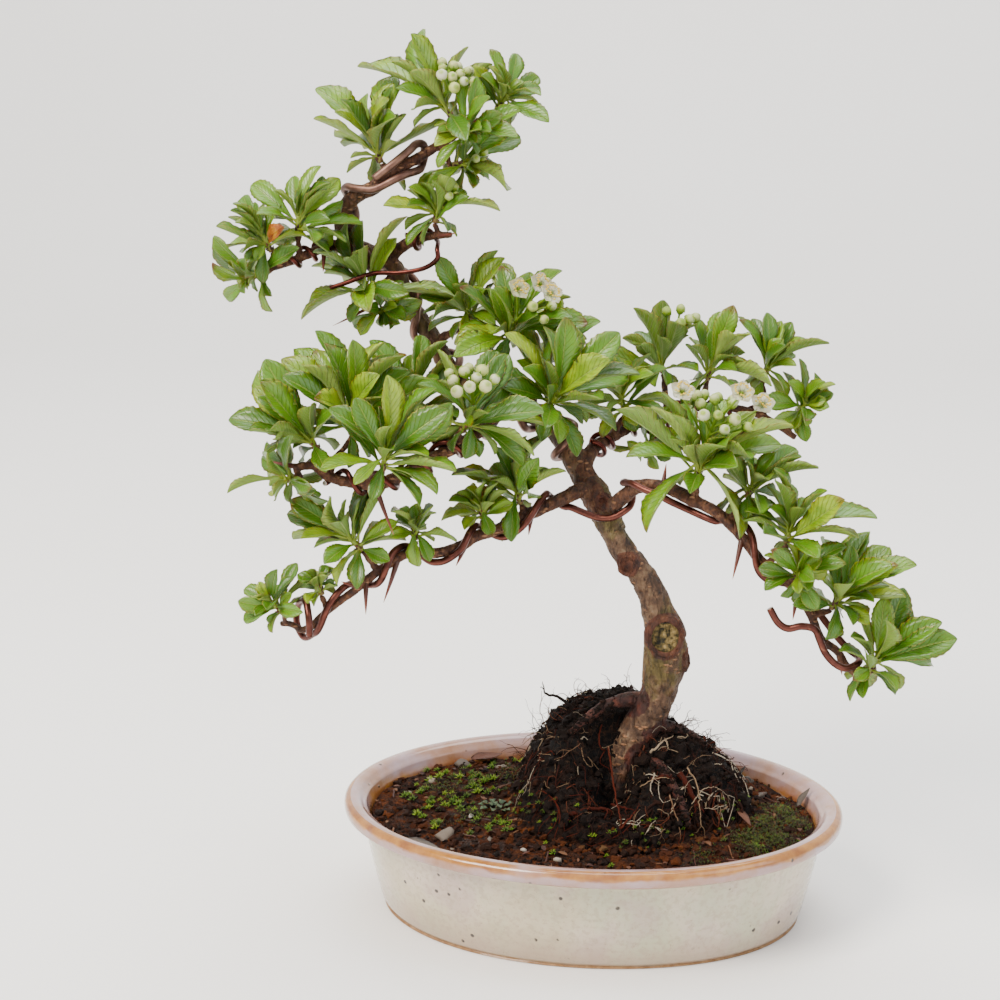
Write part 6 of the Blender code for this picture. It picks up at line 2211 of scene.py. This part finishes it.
@dataclass
class Wires:
    """Training wires of four thicknesses, with snipped ends.

    Turns tell how a wire winds: rows of a place along its branch, counted in its points, and a turn in
    degrees.
    """

    gap: float = 0.3
    lower_radius: float = 1.3
    trunk_radius: float = 1.5
    upper_radius: float = 0.9
    middle_radius: float = 1.0
    lower_left_loop: tuple = (
        (-96.5, -49, 119), (-96.8, -48.5, 126), (-99, -44, 130.5), (-103, -38.5, 127), (-104, -37.3, 120),
        (-101, -39, 115.3),
    )
    lower_left_turns: tuple = (
        (14.3, -1170), (12.2, -990), (11.1, -810), (9.6, -630), (8.2, -450), (5.9, -270), (4.9, -90),
        (3.0, 90), (2.2, 270),
    )
    lower_bridge: tuple = ((-4.5, -9.6, 158.3), (0, -9.6, 156.6), (4, -10, 156), (8.5, -10.8, 157))
    lower_right_turns: tuple = (
        (1.6, -270), (2.2, -90), (3.4, 0), (4.8, 90), (6.2, 110), (7.7, 270), (9.9, 450), (11.8, 620),
    )
    lower_right_hook: tuple = (
        (82, -33.5, 131), (87, -32, 124), (92.5, -31.2, 117.5), (96.3, -34, 115.4), (96, -38.5, 114.6),
        (92, -41.5, 113.5), (88, -43, 115.5), (84.5, -43.5, 119.5), (82.5, -43.7, 124), (80.5, -44, 128),
        (76, -44.5, 129), (71.5, -44.5, 128), (68, -44.5, 130), (65, -44.5, 135),
    )
    trunk_turns: tuple = (
        (12.75, -150), (13.0, 0), (13.4, 110), (13.9, 180), (14.8, 270), (15.3, 360), (15.9, 450),
        (16.5, 540), (17.1, 630), (17.6, 720), (18.1, 810), (18.6, 900), (19.2, 990), (19.8, 1080),
        (20.4, 1130), (20.9, 1170), (21.6, 1260), (22.3, 1350), (23.0, 1440), (24.0, 1480), (25.0, 1510),
        (25.8, 1530), (26.3, 1620), (26.8, 1710), (27.3, 1755), (28.2, 1815), (29.2, 1850), (29.9, 1890),
        (30.4, 1980),
    )
    trunk_tail: tuple = (
        (-63.5, 5.2, 288), (-65.3, 1, 288.6), (-67.5, -1.9, 286.4), (-72.8, -3.6, 282),
        (-79.8, -4.7, 276.5),
    )
    upper_right_end: tuple = (
        (-97, -3, 237), (-91, -3, 239), (-81, -2.5, 242.5), (-71, -3, 243), (-62, -4.5, 245),
        (-57, -6, 248.5), (-57, -5.5, 252),
    )
    upper_right_turns: tuple = (
        (4.3, 200), (4.0, 270), (3.7, 360), (3.3, 450), (2.9, 540), (2.5, 630), (2.2, 720),
    )
    upper_left_turns: tuple = ((0.9, 40), (1.6, 360), (2.3, 720), (3.1, 1080))
    middle_left_turns: tuple = (
        (0.8, 90), (1.6, 360), (2.6, 720), (3.9, 1080), (5.3, 1440), (6.6, 1800), (7.2, 1980),
    )
    middle_right_turns: tuple = (
        (1.1, 0), (1.8, 360), (2.6, 720), (3.5, 1080), (4.6, 1440), (5.9, 1800), (6.9, 2160),
    )

    def wound(self, route: Sequence, turns: Sequence, radius: float, side: Vector) -> list[Vector]:
        """Points of a wire wound round a route, turn 0 lying on the given side.

        Args:
            route: what it winds round.
            turns: places along it, each with a turn in degrees.
            radius: the wire's.
            side: where turn 0 lies.

        Returns:
            The points.
        """
        points = []
        for (start, start_turn), (end, end_turn) in zip(turns, turns[1:]):
            steps = max(1, round(abs(end_turn - start_turn) / 30))
            way, spin = end - start, end_turn - start_turn
            points += [(start + way * s / steps, start_turn + spin * s / steps) for s in range(steps)]
        points.append(turns[-1])
        found = []
        for place, turn in points:
            centre, direction, thick = on_route(route, place)
            out = (side - direction * side.dot(direction)).normalized()
            out.rotate(Matrix.Rotation(math.radians(turn), 3, direction))
            found.append(centre + out * (thick + self.gap + radius))
        return found

    def routes(self) -> Iterator[tuple[str, Finish, float, list]]:
        """Name, finish, radius and points of each wire.

        Returns:
            One wire after another.
        """
        lower = list(self.lower_left_loop)
        lower += self.wound(BRANCHES["lower_left"], self.lower_left_turns, self.lower_radius, FRONT)
        lower += self.lower_bridge
        lower += self.wound(BRANCHES["lower_right"], self.lower_right_turns, self.lower_radius, FRONT)
        yield "wire_lower", Finish.LOWER_WIRE, self.lower_radius, lower + list(self.lower_right_hook)
        trunk = self.wound(TRUNK, self.trunk_turns, self.trunk_radius, FRONT)
        yield "wire_trunk", Finish.TRUNK_WIRE, self.trunk_radius, trunk + list(self.trunk_tail)
        for name, turns, radius in (
            ("upper_right", self.upper_right_turns, self.upper_radius),
            ("upper_left", self.upper_left_turns, self.upper_radius),
            ("middle_left", self.middle_left_turns, self.middle_radius),
            ("middle_right", self.middle_right_turns, self.middle_radius),
        ):
            start = list(self.upper_right_end) if name == "upper_right" else []
            points = start + self.wound(BRANCHES[name], turns, radius, UP)
            yield "wire_" + name, Finish.THIN_WIRE, radius, points

    def dress(self) -> None:
        """Makes every wire."""
        for name, finish, radius, points in self.routes():
            path = smooth_route([tuple(point) for point in points], 0.9)
            radii = np.full(len(path), radius)
            radii[[0, -1]] = radius * 0.9
            piece = Piece(name + "_fine", "wire_copper", [finish, Finish.CUT_WIRE], [name])
            tube, (quads, caps) = sweep(path, radii, 14 if radius > 1 else 10)
            piece.add(tube, [quads, caps], [0, 1])
            piece.make()


@dataclass
class Foliage:
    """Leafy shoots: the solid's leaves in full detail, and more leaves among them."""

    width: float = 0.37
    fold: float = math.radians(27)
    arch: float = 0.09
    columns: int = 5
    extra: int = 17
    open_places: tuple = ((-112, -21, 262, 12), (72, -44.5, 127, 12), (-71, -2, 281, 11), (-60, -6, 284, 9))
    old_leaf: tuple = ("far_left_b", 3)
    shoot_radius: float = 1.0
    tries: int = 150
    chance: random.Random = field(default_factory=lambda: random.Random(31))
    blades: list[tuple[Vector, BVHTree]] = field(default_factory=list)

    def heights(self, tips: Sequence, axis: Vector, flowering: bool) -> list[float]:
        """Where each leaf leaves its shoot, as a share of it.

        Args:
            tips: the leaves' tips.
            axis: the way the shoot grows.
            flowering: whether it carries a flower head.

        Returns:
            A share for each leaf.
        """
        order = sorted(range(len(tips)), key=lambda k: Vector(tips[k]).normalized().dot(axis))
        low, reach = (0.9, -0.8) if flowering else (0.2, 0.75)
        shares = [0.0] * len(tips)
        for rank, k in enumerate(order):
            shares[k] = low + reach * rank / max(len(tips) - 1, 1)
        return shares

    def moves(self, offset: Row, axis: Vector) -> Iterator[Vector]:
        """The places that a solid leaf's tip may have been turned to, nearest first.

        Args:
            offset: the tip as drawn, from the shoot's foot.
            axis: the way the shoot grows.

        Returns:
            One place after another.
        """
        for scale in (1.0, 0.85, 0.7):
            turns = [(0.0, 0.0)]
            turns += [(spread, k) for spread in (9, 18, 28) for k in range(8)]
            for spread, k in turns:
                angle, wide = math.pi / 4 * k, math.radians(spread)
                moved = Vector(offset) * scale
                side = axis.cross(moved)
                moved.rotate(Matrix.Rotation(wide * math.cos(angle), 3, axis))
                if side.length > 0.1:
                    moved.rotate(Matrix.Rotation(wide * math.sin(angle), 3, side.normalized()))
                yield moved

    def frame(self, start: Vector, tip: Vector, axis: Vector, roll: float) -> tuple[Array, ...]:
        """Directions along, across and up from a leaf.

        Args:
            start: where it leaves its shoot.
            tip: its tip.
            axis: the way it faces.
            roll: turn about its length.

        Returns:
            The three directions.
        """
        along = (tip - start).normalized()
        face = (axis * 0.9 + UP * 0.35 + FRONT * 0.3).normalized()
        face.rotate(Matrix.Rotation(roll, 3, along))
        across = along.cross(face)
        if across.length < 0.2:
            across = along.cross(Vector((0.6, -0.7, 0.4)))
        across.normalize()
        return np.array(along), np.array(across), np.array(across.cross(along))

    def outline(self, shares: Array) -> Array:
        """Half width of the leaf along it, as a share of its greatest.

        Args:
            shares: places along it.

        Returns:
            The half width at each.
        """
        t = np.clip((shares - 0.09) / 0.91, 0, 1)
        body = np.sin(np.pi * np.minimum(t**1.85, 1)) ** 0.64
        return np.maximum(body, 0.0) * (shares > 0.09) + 0.02

    def half(self, length: float) -> float:
        """Greatest half width of a leaf; short ones are rounder."""
        return (self.width * length + (1.5 if length < 15 else 0)) / 2

    @staticmethod
    def risen(length: float, arch: float, share: object) -> object:
        """How high an arched leaf's midrib stands at a share of its length."""
        return length * arch * 4 * share * (1 - share)

    def leaf(
        self, piece: Piece, start: Vector, tip: Vector, axis: Vector, roll: float,
        tint: tuple, rows: int, arch: float,
    ) -> None:
        """Adds one leaf with its stalk.

        Args:
            piece: what it goes into.
            start: where it leaves its shoot.
            tip: its tip.
            axis: the way its shoot grows.
            roll: turn about its own length.
            tint: shade, age and brownness of its tip.
            rows: points along it.
            arch: how far its middle rises, as a share of its length.
        """
        along, across, up = self.frame(start, tip, axis, roll)
        first, length = np.array(start), (tip - start).length
        half = self.half(length)
        shares = np.concatenate([[0.085], np.linspace(0.105, 0.985, rows - 2), [1.0]])[:, None]
        sides = np.linspace(-1, 1, self.columns)[None, :]
        teeth = 1 + 0.085 * (np.arange(rows) % 2)[:, None] * (shares < 0.97) * np.clip(shares * 3 - 0.9, 0, 1)
        reach = half * self.outline(shares) * teeth
        reach[-1] = 0.05 * half
        phase = self.chance.uniform(0, 6.28)
        out = np.abs(sides)
        fold = self.fold * (1.3 - 0.3 * rows / 25 + 0.1 * out)
        lateral = reach * sides * np.cos(fold)
        lift = reach * out * np.sin(fold) * (0.75 + 0.25 * out)
        lift = lift + 0.035 * half * np.sin(5.5 * shares * math.pi + phase + sides) * out**2 * 2
        lift = lift + self.risen(length, arch, shares)
        twist = self.chance.gauss(0, 0.3) * (shares - 0.1) * np.sin(np.pi * np.minimum(shares, 0.97))
        lift = lift + lateral * twist
        flat = shares[..., None] * length * along + lateral[..., None] * across
        thick = 0.16 * (1 - out**4) * np.ones_like(shares)
        keel = 0.2 * np.exp(-((out / 0.2) ** 2)) * (1.1 - shares)
        top = first + flat + (lift + thick)[..., None] * up
        bottom = first + flat + (lift - thick - keel)[..., None] * up
        points, over, under = thin_solid(tucked(top, first + flat + lift[..., None] * up), bottom)
        piece.add(points, [over, under], [0, 1], tint, sheet_uv(shares, sides))
        stalk = np.linspace(0, 0.3, 5)
        below = self.risen(length, arch, stalk) - 0.22
        path = first + stalk[:, None] * length * along + below[:, None] * up
        path[0] = first - along * 0.4
        piece.add(*sweep(path, (0.5, 0.42, 0.4, 0.32, 0.12), 6), [2], (tint[0], 1.0, 0))

    def proxy(self, start: Vector, tip: Vector, axis: Vector, roll: float) -> BVHTree:
        """A coarse blade, by which leaves are kept apart.

        Args:
            start: where it leaves its shoot.
            tip: its tip.
            axis: the way it faces.
            roll: turn about its length.

        Returns:
            Its surface.
        """
        along, across, up = self.frame(start, tip, axis, roll)
        first, length = np.array(start), (tip - start).length
        half = self.half(length)
        rows = []
        for share in (0.2, 0.45, 0.7, 0.9):
            lift = self.risen(length, self.arch, share)
            reach = half * float(self.outline(np.array(share)))
            middle, out = first + along * share * length, across * reach * 0.9
            side = up * (lift + 0.4 * reach)
            rows += [middle + up * lift, middle + out + side, middle - out + side]
        faces = [(3 * k, 3 * k + side, 3 * k + 3 + side, 3 * k + 3) for k in range(3) for side in (1, 2)]
        rows.append(np.array(tip))
        faces += [(9, 10, 12), (9, 12, 11)]
        return BVHTree.FromPolygons([tuple(row) for row in rows], faces)

    def tint(self, length: float, inner: float) -> tuple[float, float, float]:
        """Shade, age and brownness of a leaf; short and outer ones are paler.

        Args:
            length: the leaf's.
            inner: how deep in the tuft it is.

        Returns:
            The three values.
        """
        shade = 0.56 - 0.3 * inner + (0.2 if length < 13 else 0) + self.chance.gauss(0, 0.26)
        age = max(self.chance.gauss(-0.16, 0.08), 0)
        brown = self.chance.random() * (self.chance.random() < 0.14)
        return clamp(shade), age, brown

    def stem(self, piece: Piece, base: Row, axis: Vector, length: float) -> None:
        """Adds the green shoot, its end bud and dry scales at its foot.

        Args:
            piece: what it goes into.
            base: its foot.
            axis: the way it grows.
            length: its length.
        """
        first, way = np.array(base, float), np.array(axis)
        shares = np.linspace(0, 1, 9)
        path = first + shares[:, None] * length * way
        radii = self.shoot_radius * (1 - 0.3 * shares) * (1 + 0.1 * np.sin(shares * 14))
        tint = np.zeros((9 * 10 + 2, 3))
        tint[:90, 0], tint[:90, 1] = 0.5, np.repeat(np.clip(shares * 2, 0, 1), 10)
        piece.add(*sweep(path, radii, 10), [2], tint)
        for k in range(9):
            angle, rise = k * GOLDEN_ANGLE, 0.4 + 0.35 * k
            turn = np.array(Matrix.Rotation(angle, 3, axis) @ axis.orthogonal().normalized())
            foot = first + way * rise + turn * self.shoot_radius * 0.75
            tip = Vector(foot + way * self.chance.uniform(0.7, 1.6) + turn * self.chance.uniform(0.4, 1.1))
            scale = spike(Vector(foot), tip, self.chance.uniform(0.35, 0.6), 0.1, 6, 4)
            piece.add(*scale, [3], (self.chance.random(), 0, 0))
        for k in range(4):
            turn = axis.orthogonal().normalized()
            turn.rotate(Matrix.Rotation(k * GOLDEN_ANGLE * 1.1, 3, axis))
            start = Vector(path[-1]) - axis * 0.5
            tip = start + (axis + turn * 0.75).normalized() * self.chance.uniform(2.4, 4.6)
            self.bract(piece, start, tip, axis)

    def bract(self, piece: Piece, start: Vector, tip: Vector, axis: Vector) -> None:
        """Adds a tiny unfolding leaf.

        Args:
            piece: what it goes into.
            start: its foot.
            tip: its tip.
            axis: the way it faces.
        """
        along, across, up = self.frame(start, tip, axis, 0.0)
        first, length = np.array(start), (tip - start).length
        shares, sides = np.linspace(0, 1, 7)[:, None], np.linspace(-1, 1, 5)[None, :]
        reach = 0.2 * length * np.sin(np.pi * np.clip(shares, 0.03, 0.99) ** 0.9)
        flat = (shares * length)[..., None] * along + (reach * sides * 0.8)[..., None] * across
        lift = (reach * np.abs(sides) * 0.6 + 0.12 * length * np.sin(np.pi * shares))[..., None] * up
        points, over, under = thin_solid(first + flat + lift + 0.09 * up, first + flat + lift - 0.09 * up)
        piece.add(points, [over, under], [0, 1], (0.95, 0, 0), sheet_uv(shares, sides))

    def copied(self, name: str, base: Row, tips: Sequence, flowering: bool) -> Piece:
        """Makes a shoot with the leaves of its solid.

        Args:
            name: the shoot's name.
            base: where it stands.
            tips: its leaves' tips, from there.
            flowering: whether it carries a flower head.

        Returns:
            The piece, so far without further leaves.
        """
        finishes = [Finish.LEAF_TOP, Finish.LEAF_BACK, Finish.SHOOT, Finish.SCALE]
        piece = Piece("tuft_" + name, "leaf_green", finishes, ["leaves_" + name])
        axis, length = shoot_axis(tips), shoot_length(tips)
        self.stem(piece, base, axis, length)
        near = nearest(cad_mesh("leaves_" + name)[0])
        shares = self.heights(tips, axis, flowering)
        for number, offset in enumerate(tips):
            found = [m for m in self.moves(offset, axis) if near.find(Vector(base) + m)[2] < 0.06]
            if not found:
                log.info("%s: leaf %d isn't in the solid", name, number)
                continue
            start = Vector(base) + axis * shares[number] * length
            tip = Vector(base) + found[0]
            start -= (tip - start).normalized() * 0.2
            roll = 0.6 * math.sin(2.4 * number + base[0])
            tint, face = self.tint((tip - start).length, 0.0), axis
            if (name, number) == self.old_leaf:
                tint, face = (0.5, 1.0, 1.0), FRONT * 3
            self.leaf(piece, start, tip, face, roll, tint, 25, self.arch)
            self.blades.append((tip, self.proxy(start, tip, axis, roll)))
        return piece

    def filled(self, piece: Piece, base: Row, tips: Sequence, fixed: Sequence[BVHTree]) -> int:
        """Adds leaves among a shoot's own, clear of all others.

        Args:
            piece: the shoot.
            base: where it stands.
            tips: its own leaves' tips, from there.
            fixed: surfaces of the solids that no leaf may cross.

        Returns:
            How many leaves were added.
        """
        axis, length = shoot_axis(tips), shoot_length(tips)
        low, high = (Vector(corner) / MM for corner in CAD_BOX)
        reach = max(Vector(tip).length for tip in tips)
        others = fixed + [blade for tip, blade in self.blades if (tip - Vector(base)).length < reach + 36]
        placed = 0
        for _ in range(self.tries):
            if placed == self.extra:
                break
            way = Vector(jitter(self.chance, 1)).normalized()
            way += axis * 0.8 + UP * 0.6 if placed % 2 else axis * 0.2
            way.normalize()
            offset = way * reach * self.chance.uniform(0.55, 1.0) * (0.55 if way.z < -0.1 else 1)
            start = Vector(base) + axis * length * self.chance.uniform(0.1, 0.9)
            tip = Vector(base) + offset
            if not all(a + 0.5 < x < b - 0.5 for a, x, b in zip(low, tip, high)):
                continue
            roll = self.chance.gauss(0, 0.6)
            blade = self.proxy(start, tip, axis, roll)
            if any(blade.overlap(other) for other in others):
                continue
            outer = start.lerp(tip, 0.7)
            if any((outer - Vector(place[:3])).length < place[3] for place in self.open_places):
                continue
            inner = 1 - (tip - Vector(base)).length / reach
            tint = self.tint((tip - start).length, inner + 0.3)
            self.leaf(piece, start, tip, axis, roll, tint, 17, self.chance.uniform(0, 0.12))
            self.blades.append((tip, blade))
            others.append(blade)
            placed += 1
        return placed

    def dress(self) -> None:
        """Makes the leaves of every shoot."""
        hosts = {head[0] for head in HEADS.values()}
        pieces = [self.copied(name, *shoot, name in hosts) for name, shoot in SHOOTS.items()]
        solids = [cad_mesh(node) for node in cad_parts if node.startswith(("wire_", "flowers_", "wood"))]
        fixed = [BVHTree.FromPolygons([tuple(point) for point in points], faces) for points, faces in solids]
        added = sum(self.filled(piece, *shoot, fixed) for piece, shoot in zip(pieces, SHOOTS.values()))
        log.info("%d leaves added", added)
        for piece in pieces:
            piece.make()


@dataclass
class FlowerHeads:
    """Heads of stalked buds and open flowers."""

    petal_length: float = 4.6
    stamens: int = 20
    greenness: tuple = (0.05, 0.6, 0.6, 0.1, 0.0, 0.5, 0.25)
    cup: tuple = ((2.35, 0.24), (2.2, 0.5), (1.95, 0.72), (1.65, 0.84), (1.5, 0.8), (1.45, 0.6))
    globe: tuple = (
        (1.9, 0.5), (1.75, 0.72), (1.5, 0.9), (1.15, 1.0), (0.8, 0.97), (0.5, 0.84), (0.25, 0.6),
        (0.08, 0.3), (0.0, 0.08),
    )
    open_cup: tuple = (
        (1.7, 0.4), (1.3, 1.0), (0.7, 1.45), (0.1, 1.5), (-0.15, 1.2), (-0.1, 0.6), (-0.25, 0.2),
    )
    chance: random.Random = field(default_factory=lambda: random.Random(47))

    def places(self, centre: Vector, outward: Vector, radius: float, count: int) -> Iterator[Vector]:
        """Places over a low dome, spread by the golden angle.

        Args:
            centre: the dome's top.
            outward: the way it faces.
            radius: its reach.
            count: how many.

        Returns:
            One place after another.
        """
        side = outward.cross(FRONT + UP * 0.2).normalized()
        other = outward.cross(side)
        for k in range(count):
            away, angle = radius * math.sqrt((k + 0.5) / count), k * GOLDEN_ANGLE
            drop = outward * (0.3 * away * away / radius - 0.8 * (k % 2))
            yield centre + (side * math.cos(angle) + other * math.sin(angle)) * away - drop

    @staticmethod
    def lathe(
        piece: Piece, end: Vector, way: Vector, profile: Array, lobes: float, finish: int, tints: Array
    ) -> None:
        """Adds a turned shape with five faint lobes.

        Args:
            piece: what it goes into.
            end: the point that distances count back from.
            way: the direction of its axis.
            profile: rows of distance and radius.
            lobes: depth of the lobes, as a share of the radius.
            finish: number of its finish.
            tints: a row of three values a level.
        """
        turn, sides, rings = facing(way), 15, []
        angles = circle(sides)
        for k, (distance, radius) in enumerate(profile):
            wide = radius * (1 + lobes * np.cos(5 * angles + 0.9 * k))
            ring = np.stack([wide * np.cos(angles), wide * np.sin(angles), np.full(sides, -distance)], -1)
            rings.append(np.array(end) + ring @ turn.T)
        points = np.vstack([*rings, rings[0].mean(0)[None], rings[-1].mean(0)[None]])
        tint = np.vstack([np.repeat(tints, sides, axis=0), tints[:1], tints[-1:]])
        piece.add(points, wrap(len(rings), sides), [finish], tint)

    def bud(self, piece: Piece, start: Vector, centre: Vector, radius: float, green: float) -> None:
        """Adds a closed bud with its cup and stalk.

        Args:
            piece: what it goes into.
            start: its stalk's foot.
            centre: its middle.
            radius: its radius.
            green: how green it is.
        """
        way = (centre - start).normalized()
        end = centre + way * radius * 1.1
        knee = start.lerp(centre, 0.5) + Vector((0.2, 0, 0.2))
        path = smooth_route([start, knee, end - way * 2.2 * radius], 1.2)
        own = self.chance.random()
        piece.add(*sweep(path, np.linspace(0.34, 0.42, len(path)), 8), [1], (own, 0, 0))
        green_cup = np.tile((own, 0, 0), (len(self.cup), 1))
        self.lathe(piece, end, way, np.array(self.cup) * radius, 0.03, 1, green_cup)
        shade = [(own, green + 0.9 * max(1 - k / 4.5, 0) + 0.7 * (k > 6), 0) for k in range(len(self.globe))]
        self.lathe(piece, end, way, np.array(self.globe) * radius, 0.045, 0, np.clip(shade, 0, 1))
        side = way.orthogonal().normalized()
        for k in range(5):
            out = Matrix.Rotation(k * 2 * math.pi / 5 + own, 3, way) @ side
            foot = end - way * 1.62 * radius + out * 0.76 * radius
            tip = end - way * 0.95 * radius + out * 0.98 * radius
            piece.add(*spike(foot, tip, 0.3 * radius, -0.1, 6, 4), [1], (own, 0, 0))

    def petal(self, piece: Piece, centre: Vector, turn: Array, angle: float) -> None:
        """Adds one cupped petal of an open flower.

        Args:
            piece: what it goes into.
            centre: the flower's middle.
            turn: the flower's turn.
            angle: its place round the middle.
        """
        shares, sides = np.linspace(0, 1, 10)[:, None], np.linspace(-1, 1, 9)[None, :]
        bulge = np.sin(np.pi * np.clip(0.08 + 0.9 * shares, 0, 0.985))
        wide = 0.46 * self.petal_length * np.sqrt(np.clip(bulge, 0, 1))
        notch = 1 - 0.08 * np.exp(-((sides / 0.25) ** 2)) * (shares > 0.95)
        ahead = self.petal_length * (0.16 + 0.84 * shares * (1 - 0.16 * sides**2 * shares) * notch)
        rise = 0.25 + 1.15 * shares**2 + 0.55 * sides**2 * (0.4 + shares)
        rise = rise + 0.14 * np.sin(4 * sides + 5 * shares + angle) * shares
        x = ahead * math.cos(angle) - wide * sides * math.sin(angle)
        y = ahead * math.sin(angle) + wide * sides * math.cos(angle)
        local = np.stack([x, y, rise], -1)
        lift = np.array((0, 0, 0.09))
        points, over, under = thin_solid(tucked(local + lift, local), local - lift)
        low = np.broadcast_to(1 - np.clip(shares * 3, 0, 1), local.shape[:2])
        low = np.concatenate([low.ravel(), low[1:-1, 1:-1].ravel()]) * 0.7
        tint = np.stack([np.full(len(points), self.chance.uniform(0.6, 1)), low, 0 * low], -1)
        piece.add(np.array(centre) + points @ turn.T, [over, under], [0], tint)

    def flower(self, piece: Piece, start: Vector, centre: Vector, outward: Vector) -> None:
        """Adds an open flower: stalk, cup, five petals and a ring of stamens.

        Args:
            piece: what it goes into.
            start: its stalk's foot.
            centre: its middle.
            outward: the way it faces.
        """
        turn = facing(outward)
        knee = start.lerp(centre, 0.55) + Vector((0, 0, -0.3))
        path = smooth_route([start, knee, centre - outward * 1.2], 1.2)
        piece.add(*sweep(path, np.full(len(path), 0.4), 8), [1], (0.6, 0, 0))
        tints = np.tile((0.75, 0, 0), (len(self.open_cup), 1))
        self.lathe(piece, centre, outward, np.array(self.open_cup), 0.04, 1, tints)
        for k in range(5):
            self.petal(piece, centre, turn, 2 * math.pi * k / 5)

        def spot(reach: float, angle: float, rise: float) -> Vector:
            """A place in the flower."""
            return Vector(np.array(centre) + turn @ ray(reach, angle, rise))

        for k in range(self.stamens):
            angle, lean = k * GOLDEN_ANGLE, self.chance.uniform(0.6, 2.0)
            foot, tip = spot(0.9, angle, 0.0), spot(1 + lean, angle, 3.4 - 0.5 * lean)
            thread = sweep(np.array([foot, foot.lerp(tip, 0.5), tip]), (0.1, 0.09, 0.08), 4)
            piece.add(*thread, [0], (0.9, 0.2, 0))
            piece.add(CRUMB * (0.5, 0.5, 0.36) + np.array(tip), [CRUMB_FACES], [2])
        for k in range(5):
            foot = spot(0.3, k * 2 * math.pi / 5 + 0.3, 0.0)
            piece.add(*sweep(np.array([foot, foot + outward * 1.5]), (0.16, 0.12), 5), [1], (0.9, 0, 0))

    def dress(self) -> None:
        """Makes every head."""
        finishes = [Finish.PETAL, Finish.CALYX, Finish.ANTHER]
        for (name, (host, middle, radius, count, bud, flowers)), green in zip(HEADS.items(), self.greenness):
            piece = Piece("blossom_" + name, "flower_cream", finishes, ["flowers_" + name])
            base, tips = SHOOTS[host]
            axis = shoot_axis(tips)
            foot = Vector(base) + axis * (shoot_length(tips) - 0.3)
            centre = Vector(middle)
            outward = (centre - foot).normalized()
            knee, top = foot + axis * 1.8, centre - outward * 2.4 * bud
            low = knee.lerp(top, 0.25)
            path = smooth_route([foot, knee, low, top], 1.0)
            piece.add(*sweep(path, np.linspace(0.75, 0.6, len(path)), 9), [1], (0.5, 0, 0))
            spots = list(self.places(centre, outward, radius, count + len(flowers)))
            opened = [Vector(flower) for flower in flowers]
            for flower in opened:
                spots.remove(min(spots, key=lambda spot: (spot - flower).length))
            spots = sorted(spots + opened, key=lambda spot: (spot - centre).cross(outward).length)
            for rank, spot in enumerate(spots):
                start = top.lerp(low, rank / max(len(spots) - 1, 1))
                if spot in opened:
                    self.flower(piece, start, spot, (outward + FRONT * 0.5).normalized())
                else:
                    share = self.chance.uniform(0.82, 1.08)
                    self.bud(piece, start, spot, bud * share, green + 1.4 * (1.08 - share))
            piece.make()


@dataclass
class DrainNets:
    """The nets over the drain holes, which keep their solids' shape."""

    names: tuple[str, ...] = ("drain_net_left", "drain_net_right")

    def dress(self) -> None:
        """Gives the nets their plastic."""
        for name in self.names:
            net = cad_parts[name]
            net.data.materials.clear()
            net.data.materials.append(Finish.NET.material())
            log.info("%s: %d faces", name, len(net.data.polygons))


def main() -> None:
    """Builds the scene in order."""
    logging.basicConfig(level=logging.INFO, format="%(message)s")
    Studio().build()
    pot, ball = Pot(), RootBall()
    pot.dress()
    DrainNets().dress()
    Soil(pot, ball).dress()
    ball.dress()
    Wood().dress()
    Wires().dress()
    FlowerHeads().dress()
    Foliage().dress()
    box = [tuple(corner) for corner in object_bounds()]
    {"cad": [list(map(float, c)) for c in CAD_BOX], "visual": [list(map(float, c)) for c in box]}


if __name__ == "__main__":
    main()
